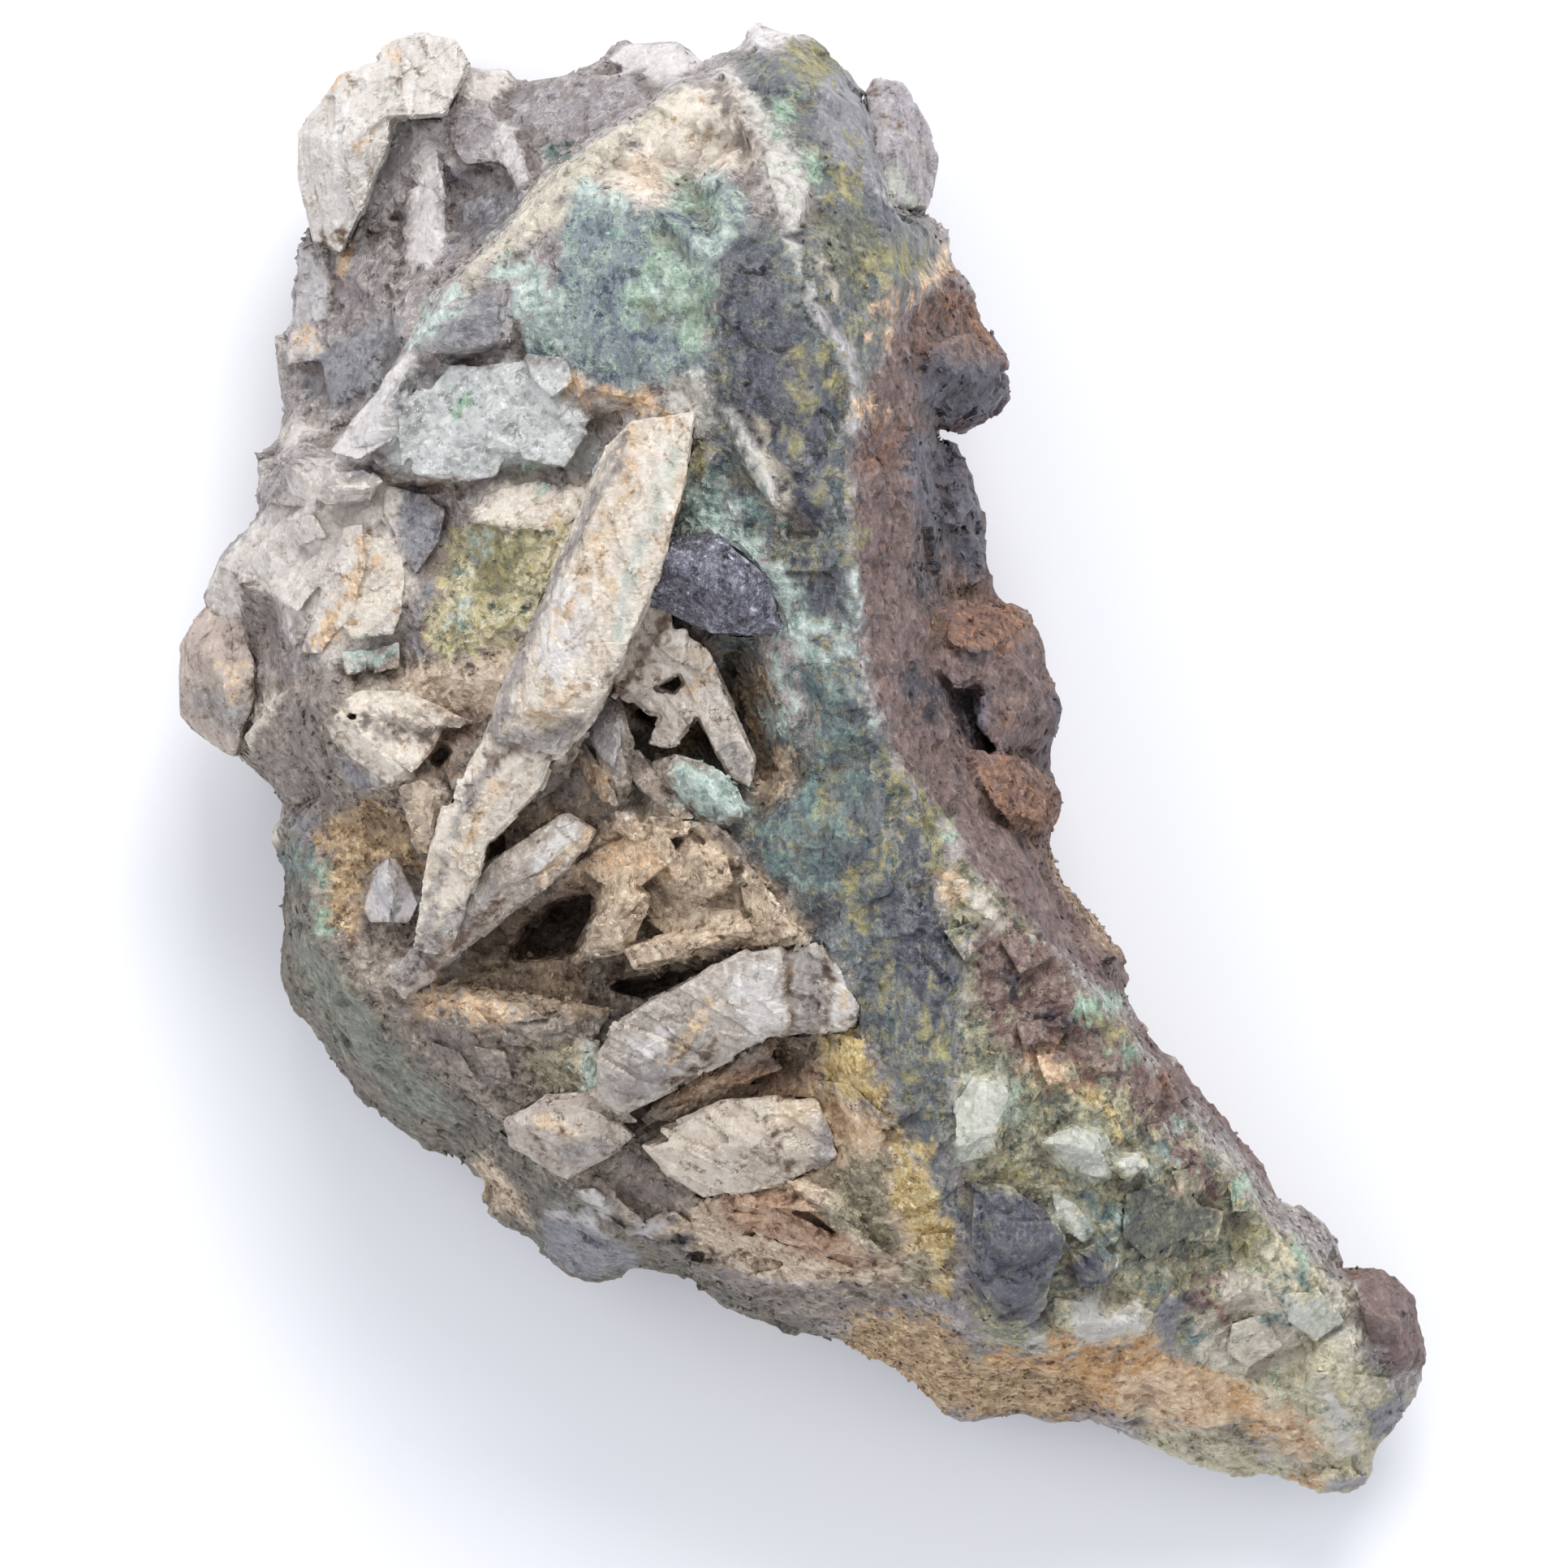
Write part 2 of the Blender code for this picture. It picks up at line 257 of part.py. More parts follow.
# Lumps and crags grown on the ore, each the flat-faced body round its corners
LUMPS = {
    "dark lump on the ridge": [
        (26.2, 21.6, 30), (27.6, 19.4, 31), (30.2, 18.5, 32), (31.9, 19.3, 32), (32.0, 21.6, 32),
        (30.4, 22.6, 31),
        (27.6, 22.6, 30), (27.5, 21.6, 34.6), (28.8, 19.6, 35), (31.0, 19.4, 35.2), (31.2, 21.4, 35),
        (29.0, 22.0, 34.6),
    ],
    "pale blade in the crown": [
        (44.4, 4.9, 26), (45.8, 5.4, 27), (47.9, 8.8, 30), (49.9, 12.1, 33), (49.7, 15.0, 34),
        (48.9, 16.2, 34),
        (47.5, 13.4, 33), (46.4, 10.4, 31), (44.9, 6.4, 30.4), (47.2, 9.6, 34.6), (49.4, 12.6, 37.6),
        (48.9, 15.4, 38.6),
    ],
    "nose": [
        (56.0, 21.8, 26), (59.5, 20.6, 27), (62.0, 22.2, 22.5), (62.3, 24.0, 20), (60.8, 25.8, 20),
        (57.6, 26.6, 22),
        (56.2, 25.4, 29), (60.0, 23.6, 27.5), (57.0, 22.0, 33), (61.0, 24.8, 14), (57.8, 25.8, 14),
    ],
    "upper crag": [
        (57.0, 38.0, 28), (59.0, 37.0, 27), (63.3, 37.8, 22.5), (64.3, 40.0, 21.5), (64.2, 42.0, 21),
        (59.0, 42.6, 30),
        (57.4, 41.0, 31), (61.0, 39.2, 27.8), (62.5, 41.5, 25.5), (60.5, 43.2, 18), (58.0, 39.0, 18),
    ],
    "middle crag": [
        (60.8, 41.4, 28.5), (63.8, 41.6, 23.5), (65.4, 43.8, 20.5), (64.8, 45.2, 20), (61.4, 46.4, 28),
        (60.0, 44.6, 30),
        (63.4, 43.8, 25.8), (63.0, 46.0, 17), (61.0, 42.5, 16),
    ],
    "orange crag": [
        (59.4, 46.2, 30.5), (62.4, 46.6, 28.5), (65.1, 48.8, 23), (65.2, 49.8, 21.5), (64.6, 51.4, 22),
        (62.4, 51.0, 29),
        (61.2, 49.8, 31), (63.2, 48.8, 28.4), (63.5, 51.5, 16), (61.0, 47.5, 17),
    ],
    "low crag": [
        (64.6, 53.6, 24), (66.3, 55.8, 19.5), (68.2, 57.5, 16.5), (69.1, 59.3, 15), (69.4, 61.0, 14),
        (67.4, 60.6, 22),
        (65.6, 57.4, 24.5), (67.0, 58.8, 11), (65.5, 55.6, 11),
    ],
    "big dark lump on the arm": [
        (59.8, 72.6, 31.5), (62.2, 72.7, 32), (63.9, 74.8, 31.4), (65.4, 75.9, 30.4),
        (64.6, 77.6, 29.6), (64.3, 80.5, 27.6),
        (62.9, 81.8, 26.2), (61.4, 81.6, 26.8), (60.2, 79.6, 28.4), (59.7, 76.0, 30.6),
        (61.0, 74.0, 33), (63.0, 76.6, 32),
        (62.4, 80.0, 29.4), (61.0, 78.0, 31.2), (61.6, 77.5, 22),
    ],
    "small dark lump on the arm": [
        (65.9, 76.8, 28.6), (67.4, 76.3, 28), (68.5, 77.7, 26.6), (68.2, 79.0, 25.6),
        (66.2, 79.0, 26.6), (67.0, 77.2, 29.6),
        (67.6, 78.2, 28.6), (67.0, 78.0, 21),
    ],
    "left spar on the arm": [
        (58.9, 66.8, 33.6), (59.9, 65.6, 34), (61.4, 65.9, 34), (61.7, 69.0, 33.4), (61.4, 70.8, 32.6),
        (59.0, 71.2, 32.4),
        (58.4, 70.2, 32.8), (60.2, 67.2, 35.2), (61.0, 69.4, 34.8), (59.4, 70.0, 34.6), (60.0, 69.0, 26),
    ],
    "middle spar on the arm": [
        (63.7, 70.2, 31.6), (65.9, 69.0, 31), (67.4, 69.5, 29.6), (67.8, 71.5, 28.8), (65.4, 71.8, 30),
        (65.4, 70.0, 32.4),
        (67.0, 70.6, 30.8), (65.6, 71.0, 24),
    ],
    "right spar on the arm": [
        (68.0, 71.2, 28.6), (69.9, 70.9, 27.8), (70.6, 71.8, 26.8), (69.3, 72.8, 27),
        (68.6, 71.8, 29.6), (69.6, 71.6, 28.8),
        (69.2, 72.0, 22),
    ],
    "pale crystals under the arm's ridge": [
        (64.6, 80.6, 25.4), (67.0, 80.0, 25), (70.4, 80.4, 22.6), (71.2, 82.2, 20.6), (68.4, 82.6, 21),
        (65.0, 82.8, 22.4),
        (66.0, 81.4, 26), (69.6, 81.4, 23.8), (68.0, 81.6, 16),
    ],
    "brown knob at the tip": [
        (83.4, 79.0, 13), (85.0, 78.8, 12.5), (87.4, 80.6, 11), (88.2, 83.8, 9), (87.4, 85.0, 9.5),
        (85.2, 84.2, 13),
        (84.2, 81.0, 16), (86.2, 81.6, 15.4), (86.8, 83.6, 13.4), (85.5, 82.0, 5),
    ],
    "dark corner at the tip": [
        (81.8, 91.4, 8.6), (83.6, 91.0, 8.8), (84.8, 91.4, 8), (84.4, 92.0, 7), (82.2, 92.4, 7),
        (83.4, 91.6, 9.8),
        (83.2, 91.6, 4),
    ],
    "pale chip under the quartz": [
        (19.8, 30.2, 28), (21.6, 29.3, 29), (23.4, 29.8, 29.6), (23.0, 31.0, 29), (20.6, 31.4, 28),
        (21.4, 30.2, 30.8),
        (22.8, 30.3, 30.9), (21.6, 30.4, 24),
    ],
    "quartz facet": [
        (28.6, 24.0, 31), (31.4, 23.3, 32), (33.0, 25.6, 33), (34.2, 28.4, 32.6), (29.4, 29.6, 31),
        (26.8, 27.6, 31),
        (31.2, 25.2, 34.6), (32.6, 28.2, 33.8), (28.6, 27.4, 33), (30.5, 27.0, 26),
    ],
    "right quartz facet": [
        (31.4, 23.0, 32), (34.6, 22.8, 33.6), (36.6, 26.2, 34.6), (34.4, 28.6, 33), (33.0, 23.8, 35),
        (35.2, 26.6, 35.2),
        (33.6, 26.0, 27),
    ],
    "ridge plate": [
        (20.6, 28.6, 28.6), (22.4, 26.4, 30), (24.4, 23.2, 31.4), (25.8, 22.0, 32), (26.0, 23.6, 32),
        (24.8, 27.4, 31.6),
        (23.4, 28.6, 30), (24.6, 24.6, 33.2), (23.2, 27.4, 31.6), (23.8, 26.0, 24),
    ],
    "dark flank of the book": [
        (18.0, 43.2, 24), (20.2, 41.2, 27.6), (21.6, 41.6, 28.4), (23.0, 44.0, 28.4),
        (21.6, 47.6, 27.4), (17.4, 46.4, 23),
        (20.2, 43.2, 29.2), (21.4, 45.4, 29), (19.6, 44.6, 20),
    ],
    "upper plate of the book": [
        (21.6, 42.9, 28.4), (24.6, 43.0, 29.4), (27.6, 44.6, 30), (26.8, 46.0, 30), (23.4, 44.6, 29.4),
        (24.6, 43.9, 31.4),
        (26.8, 45.0, 31.2), (24.8, 44.6, 25),
    ],
    "lower plate of the book": [
        (21.4, 44.4, 28.8), (23.2, 44.8, 29.6), (25.8, 46.6, 30.2), (25.8, 48.4, 29), (22.8, 48.8, 28),
        (23.4, 46.2, 31),
        (25.0, 47.6, 30.8), (23.4, 47.2, 24),
    ],
    "tan block below the book": [
        (25.4, 47.6, 28.6), (27.0, 47.4, 29.4), (28.2, 49.4, 29), (27.6, 52.4, 28.4),
        (26.0, 52.8, 27.4), (25.0, 50.4, 28),
        (26.8, 49.2, 30), (26.8, 51.6, 29.4), (26.6, 50.5, 22),
    ],
    "clear crystal in the rusty hollow": [
        (22.4, 56.0, 25), (23.2, 53.6, 26.4), (24.0, 52.8, 27), (24.8, 53.8, 27), (26.0, 56.2, 26.6),
        (24.2, 57.0, 26),
        (24.0, 54.2, 28.6), (24.4, 55.8, 28.2), (24.0, 55.5, 21),
    ],
    "spike beside the long blade": [
        (32.2, 48.6, 31), (35.8, 44.6, 33.6), (36.4, 45.2, 34), (35.0, 48.2, 33), (33.4, 49.4, 32),
        (34.6, 46.8, 34.8),
        (34.0, 47.6, 27),
    ],
    "upright plate by the cavity": [
        (36.6, 44.8, 33), (38.4, 43.6, 34), (39.2, 45.6, 34), (39.0, 48.6, 33), (38.0, 50.4, 32.6),
        (37.2, 47.4, 34),
        (38.2, 45.2, 35.6), (38.6, 47.6, 35), (38.0, 47.0, 28),
    ],
    "pale green crust": [
        (40.0, 47.0, 33.6), (41.8, 46.2, 34.6), (44.8, 47.6, 35.6), (46.8, 50.4, 36), (44.0, 51.4, 35),
        (41.6, 49.6, 34),
        (42.6, 47.8, 36.8), (45.0, 49.8, 37.2), (43.2, 49.0, 29),
    ],
    "cream crystal above the cave": [
        (41.2, 52.6, 33.6), (42.6, 51.4, 34.4), (44.6, 52.6, 35), (45.0, 55.0, 34.8), (43.2, 55.6, 34),
        (41.6, 54.6, 33.6),
        (43.0, 52.8, 36.6), (43.8, 54.2, 36.4), (43.0, 54.0, 28),
    ],
    "spur over the cave": [
        (35.2, 59.6, 30.4), (37.2, 57.4, 31.4), (37.6, 53.8, 32.4), (39.0, 52.8, 33.4),
        (40.4, 55.6, 33.2), (38.6, 58.6, 31.8),
        (38.4, 55.4, 34.8), (37.6, 57.6, 33.2), (38.6, 56.0, 28),
    ],
    "lower spur over the cave": [
        (38.6, 59.8, 31), (40.4, 57.6, 32.4), (44.0, 56.8, 33.6), (46.8, 56.2, 34.6),
        (47.6, 57.8, 34.4), (43.4, 59.0, 32.6),
        (42.0, 57.8, 34.8), (45.6, 57.2, 36), (43.0, 58.2, 28),
    ],
    "corner above the slab": [
        (46.6, 54.8, 34.6), (48.4, 55.6, 35.6), (50.2, 57.8, 35.6), (49.4, 59.4, 34.8),
        (46.8, 58.6, 33.8), (48.0, 56.6, 36.8),
        (49.2, 58.2, 36.4), (48.0, 57.6, 29),
    ],
    "rim of the lower shelf": [
        (25.4, 60.8, 27), (28.4, 60.4, 28.4), (32.0, 62.4, 29), (36.0, 62.6, 29.4), (38.0, 62.0, 29),
        (37.0, 64.0, 28.6),
        (32.0, 64.4, 28.6), (27.4, 62.8, 28), (28.8, 61.4, 30), (33.6, 63.2, 30.2), (31.0, 62.6, 23),
    ],
    "mottled green wedge": [
        (32.2, 64.6, 27.4), (36.0, 63.8, 29), (37.4, 64.4, 29), (37.4, 68.2, 27.6), (34.4, 67.6, 27),
        (35.6, 65.4, 30.2),
        (36.6, 67.0, 29.4), (35.2, 66.0, 23),
    ],
    "dark fold under the slab": [
        (39.0, 69.0, 27.6), (43.0, 66.0, 29), (46.6, 63.6, 30.4), (48.4, 63.4, 31), (47.0, 66.0, 29.4),
        (42.6, 68.8, 28),
        (44.0, 66.4, 30.4), (47.0, 64.4, 31.8), (44.0, 67.0, 23),
    ],
    "lower brown leaf": [
        (43.4, 74.2, 26.4), (45.6, 72.6, 28), (49.0, 74.6, 29), (52.6, 77.4, 27.6), (51.4, 78.0, 26.6),
        (46.6, 75.8, 26.4),
        (46.6, 73.8, 29.4), (50.2, 76.4, 29), (48.0, 75.6, 22),
    ],
    "upper brown leaf": [
        (46.0, 72.2, 28), (48.0, 71.4, 29.4), (52.0, 73.4, 30.6), (53.6, 76.4, 29), (51.6, 75.4, 28.6),
        (48.2, 72.4, 30.6),
        (51.6, 74.4, 31.4), (50.0, 74.0, 24),
    ],
    "front left lip": [
        (30.4, 69.0, 23), (33.6, 69.4, 25.4), (37.6, 73.0, 26), (40.0, 75.4, 25.4), (37.2, 77.6, 19),
        (33.0, 75.6, 18),
        (30.4, 72.0, 18.6), (35.2, 71.8, 26.4), (35.0, 74.0, 12),
    ],
}

# Hollows that go deeper than the surface falls, each the flat-faced body round its corners
HOLLOWS = {
    "cave": [
        (30.6, 57.6, 33), (33.2, 55.4, 34), (36.6, 54.4, 35), (37.0, 56.4, 35), (35.8, 58.6, 34),
        (33.0, 59.6, 33),
        (31.4, 59.0, 22), (34.4, 55.8, 19), (37.0, 55.0, 20), (35.6, 58.4, 21),
    ],
    "slot above the slab": [
        (36.6, 60.2, 33), (39.6, 60.2, 34), (44.6, 58.8, 35), (48.4, 58.6, 36), (46.8, 60.0, 35),
        (41.6, 61.8, 34),
        (38.6, 61.4, 22), (43.4, 60.0, 21), (46.6, 59.4, 24), (37.6, 60.6, 23),
    ],
    "upper lattice hole": [
        (38.4, 43.0, 40), (40.9, 43.4, 40), (41.0, 45.2, 40), (39.0, 44.8, 40), (39.2, 43.8, 23),
        (40.4, 44.6, 23),
    ],
    "lower lattice hole": [
        (42.0, 45.2, 40), (43.6, 44.2, 40), (44.6, 46.0, 40), (42.8, 46.4, 40), (42.8, 45.4, 24),
        (43.8, 45.6, 24),
    ],
    "crack under the quartz": [
        (22.4, 29.2, 33), (27.0, 29.7, 33), (29.2, 30.4, 33), (27.6, 31.0, 33), (23.4, 30.2, 26.5),
        (27.4, 30.5, 26),
    ],
    "notch under the nose": [
        (57.6, 26.0, 40), (59.4, 26.6, 40), (59.6, 27.4, 40), (57.4, 27.2, 40), (57.6, 26.2, 10),
        (59.6, 26.7, 10),
        (59.5, 27.3, 10), (57.6, 27.1, 10),
    ],
    "gap beside the book": [
        (26.4, 45.6, 33), (27.8, 45.0, 33), (28.4, 46.6, 33), (27.2, 48.6, 33), (26.6, 46.8, 26.4),
        (27.6, 46.4, 26),
    ],
    "gap beside the long blade": [
        (30.6, 50.2, 36), (32.4, 49.6, 36), (33.4, 51.0, 36), (30.4, 54.8, 35), (29.4, 55.2, 35),
        (30.6, 52.0, 26), (30.0, 53.8, 26),
    ],
    "pit in the front edge": [
        (41.0, 76.4, 28), (43.0, 76.0, 28), (45.0, 77.4, 28), (44.2, 78.4, 27), (42.0, 77.4, 20),
        (43.6, 77.6, 19),
    ],
}

# The separate crystals: each is one or more flat-faced plates, given by the corners of the face
# that is seen and how thick the plate is under it.
CRYSTALS = {
    "long_baryte_blade": [
        (6.5, [
            (39.3, 26.8, 41.6), (42.6, 26.2, 41.4), (42.0, 30.0, 41.6), (40.2, 36.0, 41.2),
            (37.3, 42.4, 40.2),
            (35.8, 43.4, 39.6), (32.9, 43.8, 39.2), (34.8, 38.6, 40.8), (36.5, 33.5, 41.3),
            (38.6, 29.0, 41.6),
            (38.0, 28.0, 39.6), (36.0, 33.0, 38.8), (33.4, 38.5, 38.0), (31.2, 43.5, 37.0),
            (30.7, 45.8, 36.2),
            (34.6, 46.3, 36.6), (36.6, 44.2, 37.4),
        ]),
        (3.6, [
            (31.0, 44.6, 36.4), (34.3, 45.2, 36.6), (33.2, 48.3, 35.8), (30.4, 51.4, 34.8),
            (28.3, 51.0, 34.8),
            (28.9, 48.6, 35.4), (31.4, 47.6, 36.4),
        ]),
        (3.2, [
            (27.9, 50.2, 34.8), (30.1, 50.7, 35.0), (29.6, 53.0, 34.5), (28.6, 56.3, 33.0),
            (27.9, 58.4, 32.2),
            (26.0, 58.2, 31.9), (26.7, 55.0, 33.0), (27.2, 52.2, 34.2),
        ]),
    ],
    "grey_baryte_blade": [
        (3.4, [
            (24.4, 60.3, 29.6), (26.2, 58.9, 30.8), (30.6, 53.2, 33.4), (33.5, 51.3, 34.6),
            (35.2, 50.3, 35.4),
            (36.7, 51.2, 35.2), (35.2, 53.2, 34.6), (31.8, 55.4, 33.0), (29.4, 57.2, 31.8),
            (26.4, 59.9, 30.2),
            (25.0, 60.8, 29.4), (32.8, 52.8, 35.2),
        ]),
        (2.6, [(24.4, 59.6, 30.2), (25.9, 58.8, 31.2), (26.9, 60.0, 30.8), (25.2, 61.1, 29.8)]),
    ],
    "split_baryte_slab": [
        (5.0, [
            (37.4, 64.9, 32.4), (38.2, 63.2, 33.2), (41.0, 61.5, 34.2), (44.4, 59.6, 35.2),
            (46.2, 58.8, 35.8),
            (47.9, 58.5, 36.2), (48.3, 62.6, 34.2), (46.0, 63.3, 33.4), (44.0, 64.6, 32.6),
            (41.4, 66.6, 31.4),
            (38.2, 68.2, 30.0), (37.4, 67.4, 30.2), (38.6, 66.4, 32.0), (42.0, 64.6, 33.2),
        ]),
        (4.6, [
            (47.6, 58.7, 35.6), (50.4, 58.3, 35.8), (51.0, 60.0, 35.2), (51.2, 62.9, 33.6),
            (48.2, 63.3, 33.2),
        ]),
        (4.4, [
            (50.2, 58.9, 35.2), (51.2, 59.4, 35.4), (52.5, 61.8, 34.8), (52.4, 62.8, 34.2),
            (50.8, 63.1, 33.8),
        ]),
    ],
    "front_baryte_wedge": [
        (3.6, [
            (31.6, 69.0, 27.6), (34.1, 67.7, 28.8), (37.0, 68.6, 29.6), (38.6, 69.8, 29.2),
            (37.4, 70.8, 28.2),
            (35.0, 72.0, 27.0), (31.9, 70.2, 27.0), (35.4, 69.6, 29.6),
        ]),
        (2.8, [(33.8, 67.8, 28.6), (37.2, 67.4, 29.4), (38.8, 68.8, 29.0), (36.8, 69.4, 29.0)]),
    ],
    "front_baryte_plate": [
        (3.8, [
            (40.2, 70.5, 29.0), (42.0, 69.9, 29.6), (47.2, 68.1, 31.6), (50.0, 67.8, 32.4),
            (51.2, 70.8, 31.2),
            (48.6, 72.3, 29.8), (47.0, 72.1, 29.4), (45.0, 73.0, 28.6), (43.4, 73.4, 28.0),
            (41.4, 71.8, 28.4),
            (46.4, 70.2, 31.2),
        ]),
        (3.0, [
            (41.2, 69.4, 29.6), (44.6, 68.0, 30.6), (47.6, 67.6, 31.4), (46.0, 69.6, 31.0),
            (43.0, 70.6, 29.8),
        ]),
    ],
    "lattice_baryte_blades": [
        (3.6, [
            (39.7, 37.6, 37.6), (41.2, 37.4, 38.0), (41.4, 39.0, 37.8), (39.2, 42.8, 36.0),
            (38.2, 42.8, 35.8), (37.9, 41.2, 36.0),
        ]),
        (3.0, [
            (40.9, 39.4, 37.8), (42.3, 39.0, 38.0), (42.1, 41.4, 37.2), (38.9, 43.2, 35.6),
            (38.0, 42.8, 35.4),
        ]),
        (2.8, [
            (38.5, 42.5, 35.6), (39.6, 42.3, 36.0), (43.2, 43.5, 36.0), (42.6, 44.4, 35.6),
            (40.2, 43.9, 35.4),
        ]),
        (3.4, [
            (41.9, 39.2, 37.6), (43.6, 40.2, 37.6), (46.4, 46.8, 36.0), (46.2, 48.3, 35.4),
            (45.0, 47.8, 35.4), (42.0, 41.4, 37.0),
        ]),
        (3.0, [
            (42.6, 42.0, 36.6), (43.6, 43.4, 36.4), (41.4, 46.0, 35.0), (40.2, 45.8, 34.6),
            (41.4, 43.4, 36.0),
        ]),
    ],
    "bournonite_lump": [
        (5.0, [
            (39.9, 35.2, 38.8), (41.3, 33.8, 39.6), (43.9, 33.6, 40.2), (45.8, 35.0, 40.4),
            (47.1, 36.3, 40.4),
            (47.7, 38.6, 39.4), (46.2, 38.9, 39.0), (44.0, 38.8, 38.6), (42.0, 37.9, 38.4),
            (40.2, 37.0, 38.4),
            (42.2, 35.2, 41.4), (44.6, 35.6, 41.8), (45.8, 37.4, 41.0),
        ]),
    ],
    "back_baryte_blade": [
        (5.0, [
            (18.6, 8.0, 14.6), (19.4, 6.9, 15.0), (21.0, 4.8, 15.8), (22.5, 4.1, 16.4), (24.2, 4.4, 17.0),
            (23.6, 8.4, 17.6), (22.0, 12.6, 17.0), (20.8, 14.9, 15.4), (19.4, 14.4, 14.4),
            (18.6, 10.6, 14.2),
            (21.6, 8.8, 18.2),
        ]),
        (4.0, [
            (23.4, 3.3, 15.6), (24.7, 2.4, 15.6), (25.4, 2.2, 15.6), (27.7, 2.6, 15.8), (28.4, 3.8, 16.4),
            (27.0, 6.6, 17.4), (23.8, 6.8, 17.4),
        ]),
    ],
    "corner_baryte_crystal": [
        (9.0, [
            (53.8, 5.6, 17.4), (54.1, 5.0, 17.2), (55.4, 5.3, 17.6), (56.0, 6.2, 17.4), (56.8, 7.8, 16.6),
            (57.4, 9.6, 15.8), (57.2, 11.0, 16.2), (56.8, 12.4, 18.0), (54.9, 12.4, 20.6),
            (54.0, 9.6, 21.0),
            (55.4, 9.4, 20.4),
        ]),
    ],
    "left_baryte_block": [
        (8.0, [
            (10.9, 43.4, 15.2), (11.0, 42.1, 16.0), (11.4, 39.6, 16.8), (11.9, 38.8, 17.6),
            (12.8, 37.9, 18.2),
            (14.6, 38.6, 19.6), (15.4, 41.4, 20.4), (15.2, 43.4, 19.8), (14.2, 46.0, 17.6),
            (12.8, 45.3, 15.4),
            (11.7, 44.4, 15.2), (12.6, 40.4, 19.4), (14.4, 42.6, 20.2),
        ]),
    ],
}
# Which crystals grew against which others, and so stop at them
STOPS_AT = {
    "long_baryte_blade": ["grey_baryte_blade"],
    "lattice_baryte_blades": ["long_baryte_blade"],
    "bournonite_lump": ["long_baryte_blade", "lattice_baryte_blades"],
}

MATERIALS = {
    "ore": ((0.19, 0.18, 0.17), 0.8, 0.0),
    "baryte": ((0.62, 0.58, 0.52), 0.4, 0.0),
    "bournonite": ((0.12, 0.12, 0.15), 0.35, 0.8),
}


def cleared_scene():
    for obj in list(bpy.data.objects):
        bpy.data.objects.remove(obj)


def collection(name, shown=True):
    made = bpy.data.collections.new(name)
    made.hide_render = not shown
    bpy.context.scene.collection.children.link(made)
    return made


def material(name):
    colour, roughness, metallic = MATERIALS[name]
    made = bpy.data.materials.get(name)
    if made is None:
        made = bpy.data.materials.new(name)
        made.use_nodes = True
        shader = made.node_tree.nodes["Principled BSDF"]
        shader.inputs["Base Color"].default_value = (*colour, 1)
        shader.inputs["Roughness"].default_value = roughness
        shader.inputs["Metallic"].default_value = metallic
    return made


def world(right, front, up):
    """A place in the plan as a point in metres round the origin."""
    return Vector(((right - PLAN_MIDDLE[0]) * MM, (PLAN_MIDDLE[1] - front) * MM, up * MM))


def rim():
    """The outline as points in the plan with heights, which ease from one stretch to the next."""
    points = [p for _, _, stretch in OUTLINE for p in stretch]
    heights = np.array([height for _, height, stretch in OUTLINE for _ in stretch])
    eased = sum(np.roll(heights, shift) for shift in (-2, -1, 0, 1, 2)) / 5
    return [(*p, height) for p, height in zip(points, eased)]


def triangulated(edge, lines, spots):
    """Flat triangles between the points of an edge, of lines and of spots, as (points, faces)."""
    points = list(edge)
    borders = [(i, (i + 1) % len(edge)) for i in range(len(edge))]
    for line in lines:
        first = len(points)
        points += line
        borders += [(i, i + 1) for i in range(first, len(points) - 1)]
    points += spots
    flat = [Vector((right, -front)) for right, front, _ in points]
    found = delaunay_2d_cdt(flat, borders, [list(range(len(edge)))], 1, 1e-5)
    sources = found[3]
    return [points[source[0]] for source in sources], found[2]


def split_edges(bm, edges):
    """Puts a vertex in the middle of each edge and gives the new vertices back."""
    made = bmesh.ops.subdivide_edges(bm, edges=edges, cuts=1)
    added = [item for item in made["geom_inner"] if isinstance(item, bmesh.types.BMVert)]
    bmesh.ops.triangulate(bm, faces=bm.faces)
    return added


def sheet(points, faces, rim_places, lift, longest):
    """A sheet of triangles inside the rim, with no edge longer than some millimetres.

    An edge that crosses between two places of the rim gets a middle vertex, lifted a little, so
    that the top and the underside never share more than the rim."""
    bm = bmesh.new()
    vertices = [bm.verts.new(world(*point)) for point in points]
    for face in faces:
        bm.faces.new([vertices[i] for i in face])
    inner = [e for e in bm.edges if not e.is_boundary]
    crossing = [e for e in inner if all(tuple(v.co) in rim_places for v in e.verts)]
    for vertex in split_edges(bm, crossing):
        vertex.co.z += lift * MM
    for _ in range(SPLITTING_ROUNDS):
        split_edges(bm, [e for e in bm.edges if not e.is_boundary and e.calc_length() > longest * MM])
    mesh = bpy.data.meshes.new("sheet")
    bm.to_mesh(mesh)
    bm.free()
    return mesh


def crag_share(point):
    """1 on the crags of the right side, 0 on the rest."""
    along_arm = max(0.0, ARM_START - point.y / MM)
    beyond_crest = point.x / MM - CRAGS_LEFT_EDGE - along_arm * ARM_SLOPE
    return min(1.0, max(0.0, beyond_crest / CRAG_FADE))


def chip(point):
    """The height of a flat, tilted chip of broken stone at a point, in metres."""
    place = point / (CHIP_SIZE * MM)
    centre = noise.voronoi(place)[1][0]
    tilt = noise.noise_vector(centre * 3.7)
    return tilt.dot(place - centre) * CHIP_TILT * CHIP_SIZE * MM


